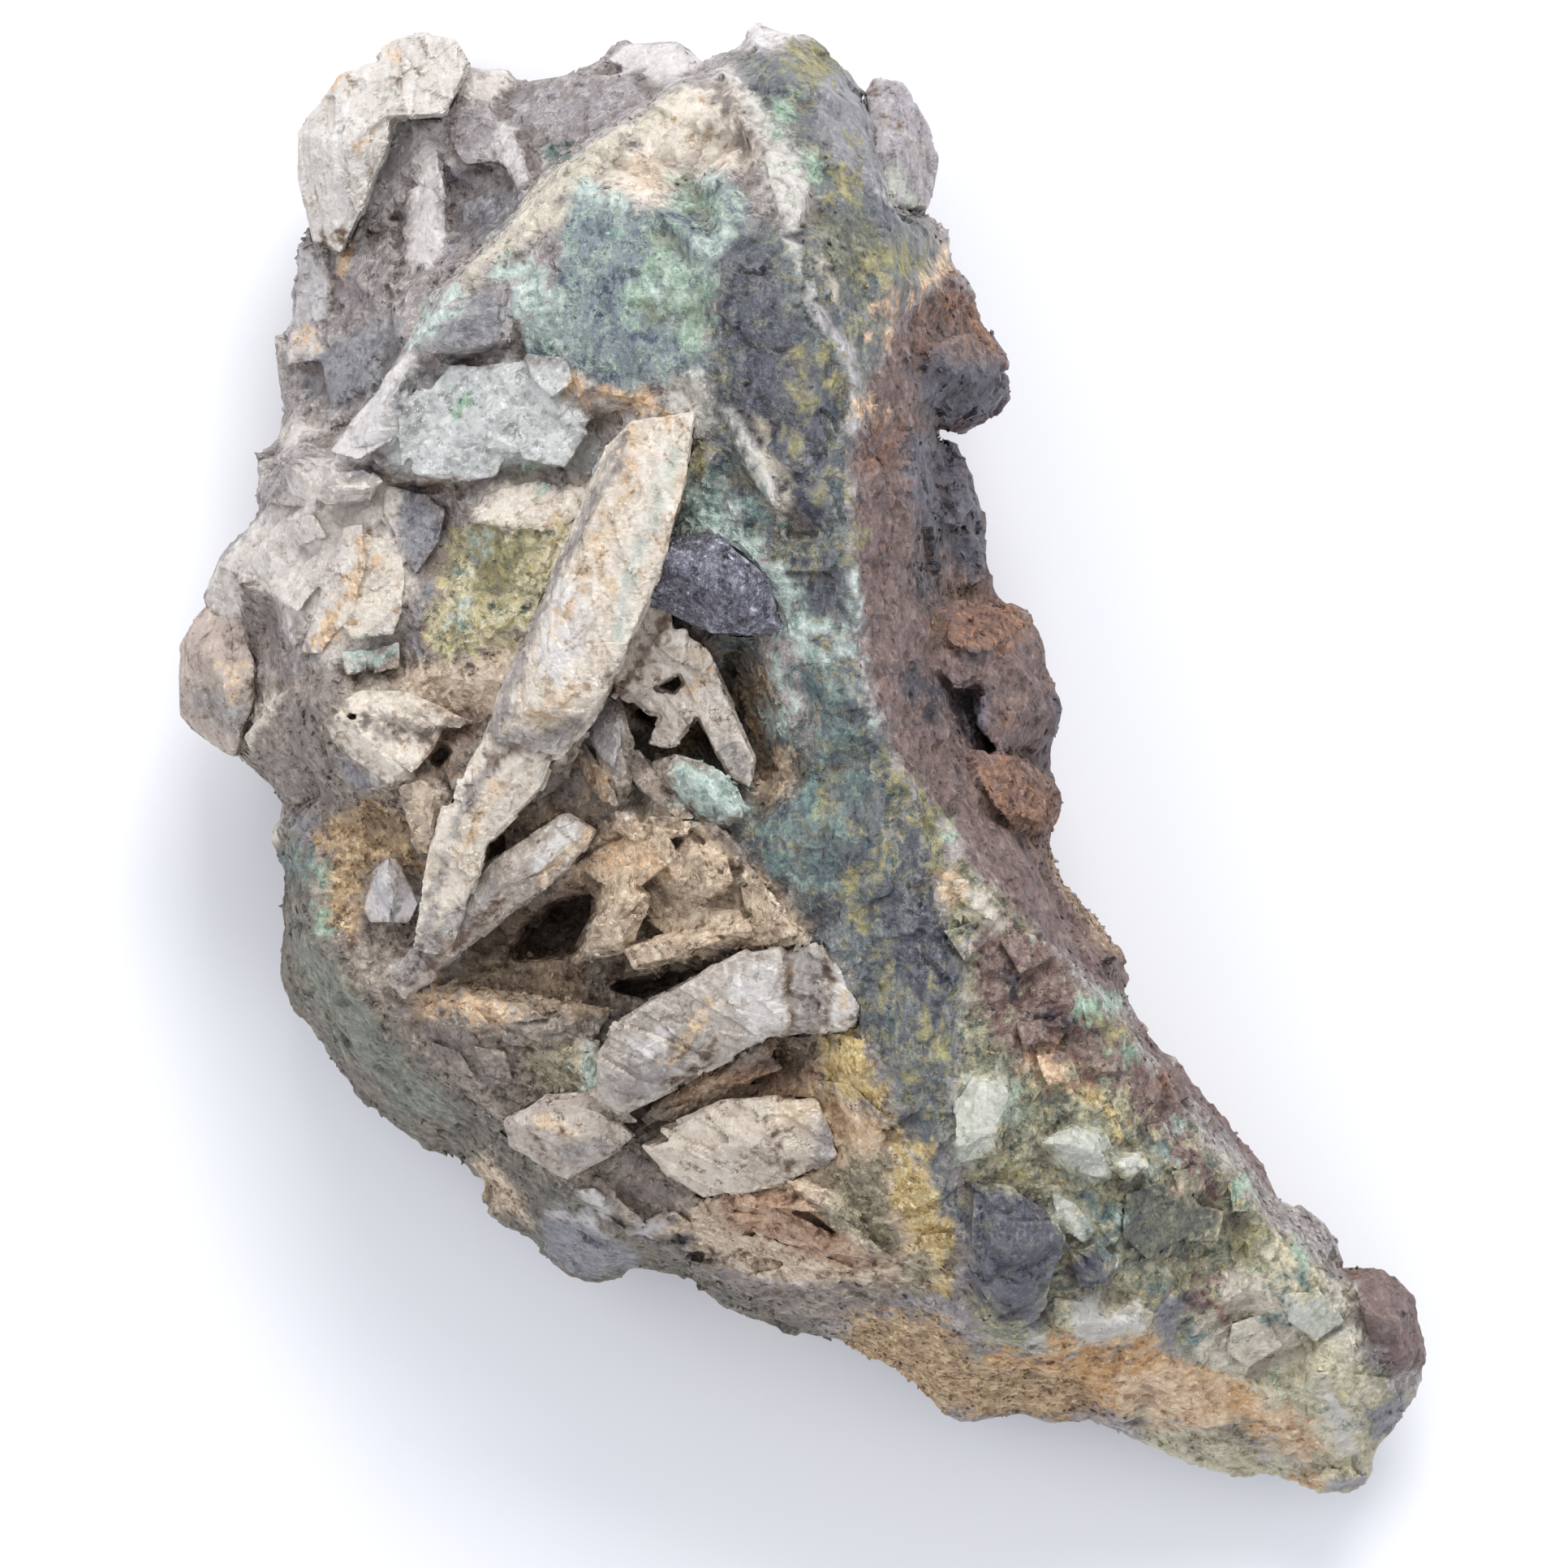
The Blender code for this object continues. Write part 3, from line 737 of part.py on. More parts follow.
def roughen(bm, rim_places):
    """Makes the surface uneven, away from the rim and above the resting flat."""
    tree = KDTree(len(rim_places))
    for number, place in enumerate(rim_places):
        tree.insert((place.x, place.y, 0), number)
    tree.balance()
    for vertex in bm.verts:
        if vertex.co.z < RESTING_DEPTH * MM:
            continue
        share = min(1.0, tree.find((vertex.co.x, vertex.co.y, 0))[2] / (SMOOTH_RIM * MM))
        depth = (ROUGHNESS + (CRAG_ROUGHNESS - ROUGHNESS) * crag_share(vertex.co)) * share
        lump = noise.noise(vertex.co / (LUMP_SIZE * MM)) * depth * MM
        vertex.co.z = max(RESTING_DEPTH * MM, vertex.co.z + lump + chip(vertex.co) * depth)


def ore_body(parent):
    """The ore without its lumps and hollows: a top and an underside that meet at the rim."""
    edge = rim()
    rim_places = {tuple(world(*point)) for point in edge}
    spots = [spot for field in TOP_SPOTS.values() for spot in field]
    top_points, top_faces = triangulated(edge, list(TOP_LINES.values()), spots)
    flat = [(*p, 0.0) for p in RESTING_FLAT]
    under_points, under_faces = triangulated(edge, [flat + flat[:1]], list(FLANK_SPOTS))
    bm = bmesh.new()
    bm.from_mesh(sheet(top_points, top_faces, rim_places, RIM_LIFT, TOP_FACET))
    bm.from_mesh(sheet(under_points, under_faces, rim_places, -RIM_LIFT, UNDERSIDE_FACET))
    bmesh.ops.remove_doubles(bm, verts=[v for v in bm.verts if tuple(v.co) in rim_places], dist=1e-7)
    roughen(bm, [Vector(place) for place in rim_places])
    bmesh.ops.recalc_face_normals(bm, faces=bm.faces)
    mesh = bpy.data.meshes.new("ore_matrix")
    bm.to_mesh(mesh)
    bm.free()
    mesh.materials.append(material("ore"))
    body = bpy.data.objects.new("ore_matrix", mesh)
    parent.objects.link(body)
    return body


def flat_faced(name, corners, parent, swell=0.0):
    """The convex body round some corners of the plan, grown outwards by swell millimetres."""
    bm = bmesh.new()
    for corner in corners:
        bm.verts.new(world(*corner))
    made = bmesh.ops.convex_hull(bm, input=bm.verts)
    bmesh.ops.delete(bm, geom=list(set(made["geom_interior"] + made["geom_unused"])), context="VERTS")
    bmesh.ops.dissolve_limit(bm, angle_limit=0.02, verts=bm.verts, edges=bm.edges)
    bmesh.ops.recalc_face_normals(bm, faces=bm.faces)
    bm.normal_update()
    moves = [v.normal * swell * MM * v.calc_shell_factor() for v in bm.verts]
    for vertex, move in zip(bm.verts, moves):
        vertex.co += move
    bmesh.ops.triangulate(bm, faces=bm.faces)
    mesh = bpy.data.meshes.new(name)
    bm.to_mesh(mesh)
    bm.free()
    body = bpy.data.objects.new(name, mesh)
    parent.objects.link(body)
    return body


def helper(body):
    body.hide_render = True
    body.display_type = "WIRE"
    return body


def plate_corners(thickness, face):
    """The corners of a plate: those of its seen face and the same ones below it."""
    return face + [(right, front, up - thickness) for right, front, up in face]


def boolean(body, operation, operands):
    """Joins or cuts body with all the bodies of a collection."""
    modifier = body.modifiers.new(operands.name, "BOOLEAN")
    modifier.operation = operation
    modifier.operand_type = "COLLECTION"
    modifier.collection = operands
    modifier.solver = "EXACT"


def crystal(name, plates, parent):
    """A crystal of one or more plates grown together."""
    body = flat_faced(name, plate_corners(*plates[0]), parent)
    body.data.materials.append(material("bournonite" if name == "bournonite_lump" else "baryte"))
    if len(plates) > 1:
        others = collection(f"{name} more plates", shown=False)
        for number, plate in enumerate(plates[1:], 2):
            helper(flat_faced(f"{name} plate {number}", plate_corners(*plate), others))
        boolean(body, "UNION", others)
    return body


def sockets(name, plates, parent):
    for number, plate in enumerate(plates, 1):
        helper(flat_faced(f"{name} socket {number}", plate_corners(*plate), parent, swell=CRYSTAL_GAP))


def main():
    cleared_scene()
    specimen = collection("bournonite_specimen")
    ore = ore_body(specimen)
    lumps = collection("lumps", shown=False)
    for name, corners in LUMPS.items():
        helper(flat_faced(name, corners, lumps))
    boolean(ore, "UNION", lumps)
    hollows = collection("hollows", shown=False)
    for name, corners in HOLLOWS.items():
        helper(flat_faced(name, corners, hollows))
    boolean(ore, "DIFFERENCE", hollows)
    crystal_sockets = {}
    for name, plates in CRYSTALS.items():
        crystal_sockets[name] = collection(f"{name} sockets", shown=False)
        sockets(name, plates, crystal_sockets[name])
        boolean(ore, "DIFFERENCE", crystal_sockets[name])
    for name, plates in CRYSTALS.items():
        body = crystal(name, plates, specimen)
        for neighbour in STOPS_AT.get(name, []):
            boolean(body, "DIFFERENCE", crystal_sockets[neighbour])


main()
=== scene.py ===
"""The looks of a bournonite ore specimen with baryte blades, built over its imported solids.

Places on the specimen are written in millimetres as (right, front), as seen from above and measured
from the back left corner of the square that the photograph shows.
"""

import math

import bmesh
import bpy
import numpy as np
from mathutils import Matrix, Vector, noise
from mathutils.bvhtree import BVHTree


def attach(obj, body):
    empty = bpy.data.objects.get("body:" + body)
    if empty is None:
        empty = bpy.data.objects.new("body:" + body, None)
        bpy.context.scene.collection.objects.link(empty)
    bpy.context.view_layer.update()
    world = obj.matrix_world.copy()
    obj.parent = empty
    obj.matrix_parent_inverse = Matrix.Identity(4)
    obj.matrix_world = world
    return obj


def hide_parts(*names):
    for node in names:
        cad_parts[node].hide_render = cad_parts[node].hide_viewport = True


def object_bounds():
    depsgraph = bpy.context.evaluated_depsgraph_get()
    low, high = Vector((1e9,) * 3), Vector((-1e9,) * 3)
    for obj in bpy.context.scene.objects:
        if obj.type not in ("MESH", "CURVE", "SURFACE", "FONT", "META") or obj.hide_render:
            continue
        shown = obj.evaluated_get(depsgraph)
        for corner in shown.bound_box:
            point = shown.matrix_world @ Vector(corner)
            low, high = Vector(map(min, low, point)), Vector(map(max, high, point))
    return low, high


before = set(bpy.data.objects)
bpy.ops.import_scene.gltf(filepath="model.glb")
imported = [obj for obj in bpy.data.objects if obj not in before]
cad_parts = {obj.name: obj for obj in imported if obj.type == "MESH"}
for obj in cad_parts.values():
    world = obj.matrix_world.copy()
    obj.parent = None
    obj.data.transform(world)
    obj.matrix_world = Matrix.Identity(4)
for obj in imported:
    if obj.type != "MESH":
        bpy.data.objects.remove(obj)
cad_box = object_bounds()

# The ore: one broken mass of dark vein, quartz, baryte and iron oxide. Its large forms are the
# solid's. Slabs and knobs that grew with it are joined on, and its surface is chipped and split,
# each mineral in its own way.

MM = 0.001
PLAN_MIDDLE = (49.75, 47.0)
ORE_VOXEL = 0.26
ORE_TRIANGLES = 196000
BIG_CHIP, SMALL_CHIP, GRAIN = 3.0, 1.2, 0.55
VEIN_LEAN = 8.0
FIBRE_LENGTH = 5.0

# Slabs and knobs: how far they stand out, their tilt to the right and to the front, and their corners
GROWN_FORMS = {
    "back left slabs": [
        (0.7, 0.0, 0.0, [(22.8, 6.0), (25.6, 5.6), (25.8, 9.0), (24.6, 12.8), (22.8, 13.2), (22.4, 9.6)]),
        (0.9, 0.1, 0.0, [(25.4, 9.0), (26.8, 8.8), (27.4, 12.0), (27.6, 15.4), (26.0, 16.6), (24.6, 15.6), (25.0, 12.0)]),
        (0.7, 0.0, 0.1, [(28.0, 6.6), (30.0, 6.0), (31.0, 8.0), (30.8, 10.0), (28.6, 10.0), (27.6, 8.6)]),
        (0.8, -0.1, 0.0, [(30.6, 7.4), (31.6, 7.6), (32.8, 11.6), (32.2, 12.2), (31.0, 10.0)]),
        (0.7, 0.0, 0.15, [(31.0, 5.0), (35.0, 5.0), (38.8, 4.4), (39.4, 6.0), (36.0, 7.6), (32.0, 7.6)]),
        (0.8, 0.1, 0.0, [(36.2, 6.6), (37.4, 6.8), (37.2, 8.0), (36.2, 8.0)]),
        (0.7, -0.1, 0.0, [(18.2, 14.8), (19.8, 15.2), (20.2, 19.4), (18.0, 19.8)]),
        (0.7, -0.1, 0.1, [(17.6, 20.2), (19.2, 20.0), (19.6, 22.0), (17.4, 22.4)]),
        (0.7, 0.1, 0.0, [(21.8, 13.6), (23.4, 13.0), (24.4, 16.0), (23.2, 18.6), (21.6, 17.0)]),
        (0.6, 0.0, 0.0, [(19.4, 21.4), (22.6, 20.4), (23.4, 23.4), (20.4, 24.8)]),
        (0.6, 0.1, 0.1, [(24.0, 17.6), (26.4, 17.0), (26.6, 19.4), (24.6, 21.0)]),
        (0.9, 0.0, 0.0, [(24.4, 2.6), (27.6, 2.4), (28.4, 3.6), (27.6, 5.4), (25.0, 5.8), (23.6, 4.6)]),
        (0.7, 0.0, 0.0, [(28.6, 4.0), (31.0, 4.0), (31.4, 5.0), (29.6, 6.2), (28.2, 5.6)]),
        (1.0, 0.0, 0.0, [(37.4, 3.4), (38.4, 2.3), (41.6, 2.4), (43.0, 3.6), (41.0, 4.8), (38.6, 4.2)]),
    ],
    "crown plates": [
        (0.8, 0.0, 0.0, [(45.8, 3.0), (46.6, 1.8), (49.0, 2.2), (49.4, 3.0)]),
        (0.7, 0.1, 0.0, [(47.0, 9.8), (48.6, 10.0), (49.8, 11.6), (49.6, 13.6), (48.8, 15.4), (48.0, 14.0), (47.4, 12.0)]),
        (0.5, 0.0, 0.0, [(44.4, 4.6), (45.6, 5.2), (46.8, 8.0), (46.6, 9.0), (45.6, 7.2)]),
        (0.5, -0.1, 0.0, [(50.0, 19.2), (51.0, 20.2), (52.4, 22.6), (52.9, 24.4), (52.3, 24.0), (51.0, 21.8)]),
        (0.5, 0.0, 0.0, [(52.4, 24.6), (52.8, 25.0), (52.9, 27.4), (52.4, 27.2)]),
        (0.5, 0.1, 0.0, [(44.8, 25.8), (45.8, 26.8), (47.4, 29.8), (47.9, 31.6), (46.6, 30.4), (45.4, 28.0)]),
        (0.8, -0.1, 0.1, [(26.2, 20.8), (27.6, 19.2), (30.2, 18.4), (31.8, 19.6), (31.6, 21.4), (28.6, 22.1), (26.4, 22.0)]),
        (0.7, 0.0, 0.1, [(41.6, 23.8), (43.2, 23.5), (43.9, 25.0), (43.4, 26.8), (41.9, 26.5)]),
    ],
    "crag knobs": [
        (0.8, 0.1, 0.1, [(57.0, 28.6), (59.0, 28.4), (60.0, 31.0), (58.8, 32.6), (57.0, 31.2)]),
        (0.8, 0.2, 0.0, [(58.6, 33.4), (60.2, 33.0), (60.6, 35.6), (59.2, 36.4), (58.2, 35.0)]),
        (0.9, 0.0, 0.2, [(58.6, 38.0), (61.0, 37.4), (62.0, 39.4), (60.0, 40.4), (58.2, 39.6)]),
        (1.0, 0.1, 0.0, [(60.0, 41.0), (62.6, 40.4), (64.0, 42.6), (62.4, 45.0), (60.0, 44.0)]),
        (0.8, 0.2, 0.1, [(63.0, 41.6), (64.8, 42.4), (65.0, 45.0), (63.6, 46.4), (62.6, 44.2)]),
        (0.9, 0.1, 0.2, [(60.0, 46.6), (62.4, 46.4), (64.6, 48.4), (63.8, 50.6), (61.4, 49.8)]),
        (0.7, 0.0, 0.2, [(65.4, 55.6), (67.6, 57.0), (68.8, 59.0), (66.8, 59.0)]),
        (0.8, -0.1, 0.2, [(57.4, 23.2), (59.6, 22.6), (61.6, 23.4), (60.6, 25.4), (58.0, 25.6)]),
    ],
}

# Where each mineral shows: a closed line round it, or a streak of (right, front, half its width)
MINERAL_AREAS = {
    "brown_ground": [[
        (12.0, 41.0), (16.0, 41.6), (24.0, 41.0), (27.0, 33.0), (36.0, 31.0), (44.0, 36.0), (47.0, 38.0), (49.0, 46.0),
        (50.0, 58.0), (54.0, 66.0), (58.0, 78.0), (52.0, 82.0), (44.0, 80.0), (36.0, 76.0), (24.0, 66.0), (16.0, 54.0),
        (14.0, 46.0),
    ]],
    "low_face": [[
        (16.0, 50.0), (19.2, 50.4), (19.4, 53.0), (20.6, 57.4), (22.6, 61.4), (27.0, 65.6), (31.2, 69.6), (36.0, 73.6),
        (40.4, 76.2), (44.0, 78.6), (50.0, 81.4), (52.0, 84.0), (44.0, 82.0), (30.0, 79.0), (20.0, 72.0), (14.0, 60.0),
    ]],
    "green_low": [
        [(18.0, 57.0), (21.0, 60.0), (24.0, 64.4), (27.0, 67.4), (28.0, 69.4), (25.0, 69.0), (21.0, 64.6), (18.6, 60.6)],
        [(20.4, 53.4, 0.4), (20.4, 56.8, 0.5)], [(24.0, 66.6, 0.5), (26.2, 68.2, 0.6)],
        [(53.0, 81.6, 0.6), (56.6, 82.2, 0.5)], [(32.0, 77.4, 0.5), (34.0, 77.8, 0.4)],
    ],
    "mauve": [
        [(30.2, 5.8), (34.0, 5.0), (38.6, 4.2), (39.6, 5.0), (39.4, 6.6), (37.0, 8.0), (33.6, 8.0), (31.0, 7.2)],
        [(20.0, 16.0), (22.0, 15.0), (22.4, 18.6), (20.6, 19.6)],
        [(28.0, 7.0), (30.0, 6.6), (30.6, 9.4), (28.4, 9.6)],
    ],
    "ash": [
        [(18.2, 14.8), (20.0, 16.0), (20.0, 19.6), (17.8, 20.0), (17.9, 17.5)],
        [(22.8, 6.4), (25.4, 6.0), (25.6, 9.0), (24.4, 11.4), (23.0, 13.0), (22.6, 9.6)],
        [(19.8, 30.6), (20.4, 29.6), (22.4, 29.0), (23.6, 29.6), (22.4, 30.9), (20.6, 31.2)],
        [(36.0, 43.4), (37.2, 42.6), (38.2, 44.0), (38.4, 46.0), (38.0, 47.6), (37.0, 46.4), (36.0, 44.8)],
        [(23.0, 54.0), (24.0, 52.6), (24.6, 53.0), (25.0, 54.4), (26.0, 55.6), (25.6, 56.6), (24.0, 56.8), (22.4, 56.2)],
        [(50.0, 19.2, 0.2), (50.9, 20.6, 0.4), (51.8, 22.0, 0.5), (52.4, 23.4, 0.4), (52.6, 25.0, 0.25), (52.7, 26.8, 0.3)],
        [(46.6, 78.6), (49.4, 77.6), (51.8, 78.2), (51.0, 79.0), (48.0, 79.2)],
        [(40.0, 75.4, 0.7), (41.6, 75.0, 0.5)], [(34.6, 74.8, 0.6), (36.2, 75.4, 0.6)],
    ],
    "slate": [
        [(27.0, 9.2), (28.6, 10.0), (30.6, 10.6), (32.0, 11.4), (32.2, 13.0), (31.0, 14.4), (29.0, 15.0), (27.7, 16.0),
         (27.5, 13.8), (27.2, 11.0)],
        [(19.5, 21.4), (22.5, 20.0), (24.5, 19.4), (25.0, 21.6), (23.4, 24.0), (20.4, 25.0), (18.6, 24.0)],
        [(25.8, 21.2), (26.8, 19.2), (28.0, 18.8), (29.0, 19.0), (29.6, 18.4), (31.4, 18.2), (32.0, 19.4), (31.9, 21.4),
         (30.4, 22.2), (28.0, 22.2), (26.8, 22.0), (25.7, 22.0)],
        [(24.4, 28.2, 0.4), (24.8, 26.6, 0.5), (25.2, 25.0, 0.6), (26.2, 24.0, 0.6), (27.4, 23.8, 0.4)],
        [(33.2, 24.6, 0.2), (34.6, 25.2, 0.4), (35.6, 26.4, 0.8), (36.6, 27.6, 0.8), (36.2, 28.6, 0.6)],
        [(20.6, 29.6), (22.4, 29.2), (24.0, 29.6), (25.6, 30.4), (27.2, 31.4), (27.6, 33.2), (26.6, 34.4), (25.6, 35.8),
         (25.4, 34.0), (24.4, 32.6), (24.0, 31.0), (22.0, 31.0)],
        [(26.6, 36.4, 0.4), (25.9, 38.0, 0.4), (25.6, 39.8, 0.35), (26.0, 41.0, 0.3)],
        # painted shade in slate grey: the book's lower facet, which faces away from the light
        [(20.6, 46.0), (22.6, 47.6), (24.2, 48.4), (22.0, 48.6), (21.0, 47.8)],
        [(17.8, 50.4), (19.8, 50.0), (20.2, 51.0), (19.0, 52.0), (17.8, 51.4)],
        [(50.2, 5.6), (51.6, 3.8), (53.2, 6.2), (53.6, 9.0), (54.8, 10.6), (54.2, 12.8), (52.6, 12.0), (50.6, 9.6),
         (50.2, 7.6)],
        [(33.4, 75.4), (35.6, 75.2), (38.4, 76.6), (39.4, 78.4), (37.0, 79.0), (35.0, 78.6), (33.6, 77.0)],
        [(84.4, 87.0), (86.8, 86.6), (87.4, 88.0), (86.0, 89.6), (84.8, 89.0)], [(82.8, 91.8, 0.5), (84.2, 91.8, 0.5)],
        [(72.4, 80.4, 0.8), (72.0, 82.4, 0.6)],
    ],
    "quartz": [
        [(24.6, 26.4), (26.0, 24.2), (28.0, 22.8), (30.2, 22.8), (31.4, 22.4), (35.4, 23.0), (35.4, 24.8), (37.0, 26.6),
         (37.6, 28.2), (37.0, 29.4), (35.0, 29.0), (32.4, 29.0), (30.4, 30.2), (28.0, 30.0), (25.0, 29.4), (24.2, 28.0)],
    ],
    "rose": [
        [(12.4, 36.8), (13.0, 35.0), (15.0, 33.2), (17.4, 30.4), (18.6, 28.4), (20.0, 28.6), (22.0, 29.6), (24.4, 29.8),
         (25.0, 31.0), (24.6, 33.0), (25.2, 35.0), (24.8, 38.4), (25.2, 39.8), (23.6, 41.0), (21.6, 41.4), (19.6, 40.4),
         (18.4, 39.4), (17.4, 37.6), (16.0, 36.4), (14.6, 38.2), (13.2, 38.0)],
        [(17.6, 20.2), (19.4, 20.0), (19.4, 21.6), (17.8, 22.0)], [(17.6, 26.6, 0.8), (19.0, 26.0, 0.6)],
        [(28.6, 4.0), (31.0, 3.8), (31.6, 5.0), (30.0, 6.2), (28.2, 6.0)],
        [(15.0, 37.8), (15.2, 40.4), (12.2, 40.4), (12.4, 38.6)],
    ],
    "white": [
        [(25.6, 21.6), (24.2, 23.6), (22.2, 25.0), (20.8, 27.0), (19.4, 28.4), (20.4, 29.2), (22.6, 28.8), (24.2, 27.8),
         (24.6, 26.0), (25.2, 24.0), (26.2, 22.6)],
        [(26.6, 7.4, 0.4), (26.2, 9.0, 0.5), (26.2, 11.0, 0.8), (26.0, 13.0, 1.0), (26.2, 15.0, 1.2), (26.8, 16.2, 0.5)],
        [(37.2, 3.6), (38.2, 2.1), (41.6, 2.2), (43.6, 3.6), (41.2, 5.2), (39.8, 4.4), (38.0, 4.0)],
        [(24.0, 2.4), (28.0, 2.2), (28.6, 4.8), (26.0, 5.8), (23.4, 5.6)],
        [(30.8, 7.6, 0.4), (31.2, 9.0, 0.5), (31.9, 10.6, 0.35), (32.6, 12.0, 0.25)],
        [(35.4, 73.2), (36.8, 73.0), (37.4, 73.8), (37.8, 75.0), (37.0, 74.6), (36.2, 74.0)],
        [(45.6, 3.0), (46.4, 1.5), (47.8, 1.9), (49.4, 2.1), (50.0, 2.6), (48.2, 3.0), (46.2, 3.1)],
    ],
    "shell": [
        [(44.6, 4.8, 0.6), (45.6, 6.0, 0.5), (46.6, 7.4, 0.5), (47.2, 9.0, 0.5), (48.0, 10.6, 1.1), (48.7, 12.4, 1.2),
         (48.9, 13.8, 0.9), (48.7, 15.2, 0.35), (49.2, 16.8, 0.2), (50.0, 18.8, 0.2)],
        [(41.6, 23.8), (43.0, 23.4), (43.8, 24.4), (43.9, 26.2), (43.0, 27.2), (41.8, 26.6), (41.0, 25.4)],
        [(44.8, 25.8, 0.12), (45.6, 27.4, 0.35), (46.6, 29.4, 0.55), (47.6, 31.0, 0.35)],
        [(81.6, 85.4, 0.4), (82.6, 87.4, 0.6), (83.4, 89.4, 0.4)],
        [(63.8, 82.4, 0.5)], [(59.0, 58.0, 0.3), (60.2, 57.0, 0.2)], [(66.6, 80.4, 0.9), (66.8, 81.8, 0.8), (69.6, 81.4, 0.9)],
        [(54.8, 11.0), (56.6, 12.4), (55.8, 13.6), (54.6, 12.2)], [(78.0, 90.0, 0.4)],
        [(44.0, 73.0, 0.4), (42.4, 71.6, 0.8)],
    ],
    "cream": [
        [(36.4, 11.6), (37.4, 10.4), (38.2, 9.8), (40.0, 8.4), (41.0, 7.0), (42.0, 5.6), (43.0, 5.8), (44.4, 5.2),
         (45.4, 6.0), (46.0, 7.6), (46.8, 9.0), (46.8, 10.2), (45.6, 11.4), (44.6, 10.8), (43.0, 11.4), (42.0, 12.0),
         (41.0, 13.0), (39.4, 12.6), (38.0, 12.2)],
        [(20.6, 33.0), (22.4, 32.6), (24.4, 33.6), (25.2, 36.0), (24.6, 38.6), (23.0, 39.4), (21.0, 40.0), (19.0, 40.4),
         (21.0, 37.4), (21.8, 35.0)],
        [(29.6, 31.2), (31.0, 30.2), (33.4, 29.6), (35.0, 30.2), (36.6, 30.0), (36.0, 32.6), (34.8, 35.8), (34.0, 35.0),
         (34.4, 32.8), (32.0, 32.6), (30.4, 32.4), (28.8, 32.8)],
        [(14.6, 45.4), (16.0, 43.6), (18.0, 42.0), (17.4, 43.6), (16.2, 45.2), (14.9, 46.4)],
        [(20.4, 44.0), (22.0, 42.6), (24.6, 42.6), (27.8, 44.2), (27.0, 46.0), (25.6, 48.2), (24.4, 48.6), (22.6, 47.0),
         (21.0, 45.6)],
        [(32.0, 48.0), (33.4, 46.4), (34.8, 44.8), (35.4, 45.4), (34.6, 47.0), (33.4, 49.0), (32.4, 49.4)],
        [(58.6, 54.4, 0.4), (60.0, 55.0, 0.5), (61.4, 56.6, 0.4)], [(16.4, 51.6, 0.5), (16.8, 50.8, 0.4)],
        [(38.4, 50.6, 0.6), (41.2, 50.8, 0.5)], [(43.2, 53.6, 1.3)],
    ],
    "flesh": [
        [(27.0, 41.0), (30.0, 40.2), (32.0, 39.2), (33.4, 37.6), (34.0, 38.4), (32.4, 41.6), (31.0, 44.0), (29.6, 44.6),
         (27.4, 43.6), (25.0, 42.4), (24.0, 41.8)],
        [(24.8, 48.6), (26.0, 48.0), (27.6, 48.8), (28.0, 50.4), (27.0, 52.6), (26.0, 52.4), (25.2, 50.6)],
        [(35.4, 45.0), (36.2, 46.8), (37.6, 48.0), (38.0, 49.8), (36.8, 49.2), (35.8, 47.6)],
        [(44.0, 76.0), (46.0, 75.8), (48.0, 77.0), (47.6, 78.6), (46.0, 78.0)], [(72.6, 73.0, 0.5)],
        [(38.6, 10.0), (41.0, 10.4), (41.0, 12.4), (39.0, 12.0)],
    ],
    "buff": [
        [(27.6, 19.0, 0.3), (29.5, 17.4, 0.7), (31.5, 15.4, 1.0), (33.4, 13.4, 1.2), (35.2, 11.4, 1.2), (37.2, 10.0, 1.1),
         (39.0, 8.6, 0.8), (41.4, 6.2, 0.4)],
        [(76.0, 78.0), (78.6, 79.0), (80.4, 82.0), (79.4, 84.4), (76.0, 85.0), (73.4, 84.0), (73.4, 82.0), (75.4, 80.0)],
        [(46.2, 26.2, 0.12), (47.4, 28.4, 0.25), (48.0, 30.6, 0.3), (47.8, 33.0, 0.25)],
        [(50.8, 16.4, 0.12), (51.4, 18.2, 0.15)], [(82.6, 80.0, 0.9), (83.2, 83.4, 0.8)],
    ],
    "tan": [
        [(34.4, 54.4), (36.4, 52.4), (38.0, 50.4), (41.0, 49.8), (43.4, 50.4), (45.4, 52.5), (47.6, 54.6), (49.6, 57.6),
         (48.0, 58.8), (45.0, 58.6), (42.0, 59.2), (39.0, 60.0), (37.6, 58.4), (35.4, 59.6), (34.6, 59.2), (37.0, 57.0)],
        [(42.0, 66.4), (47.0, 65.6), (52.0, 66.6), (55.6, 70.0), (58.0, 76.0), (58.4, 79.4), (55.0, 79.0), (49.0, 79.0),
         (44.6, 78.0), (40.4, 75.6), (41.6, 71.6)],
        [(46.4, 46.2), (49.0, 46.0), (49.2, 48.4), (47.6, 49.2), (46.2, 48.2)],
        [(30.0, 71.0), (31.6, 73.0), (32.6, 75.6), (30.4, 74.6), (29.0, 72.0)],
    ],
    "ochre": [
        [(19.4, 51.8), (21.6, 50.0), (23.0, 49.2), (24.8, 49.8), (25.4, 51.6), (26.2, 52.8), (25.8, 54.2), (25.0, 53.0),
         (24.0, 52.6), (23.0, 53.4), (22.4, 55.4), (22.0, 57.2), (20.4, 56.6), (20.2, 54.0), (20.6, 52.4)],
        [(41.6, 44.8), (42.8, 44.4), (43.2, 46.0), (42.0, 46.2)], [(45.6, 42.8, 0.8), (46.8, 42.4, 0.5)],
        [(46.6, 44.6, 0.4), (47.4, 45.8, 0.4)], [(32.4, 60.6, 1.2), (29.0, 60.2, 0.6)],
        [(52.0, 80.6), (58.0, 81.0), (60.0, 84.0), (66.0, 84.6), (68.0, 86.4), (66.0, 88.0), (58.0, 87.6), (52.0, 84.0)],
    ],
    "peach": [
        [(22.4, 33.4, 0.3), (22.2, 35.0, 0.4), (21.8, 36.6, 0.45), (20.8, 38.4, 0.45), (19.4, 39.8, 0.4)],
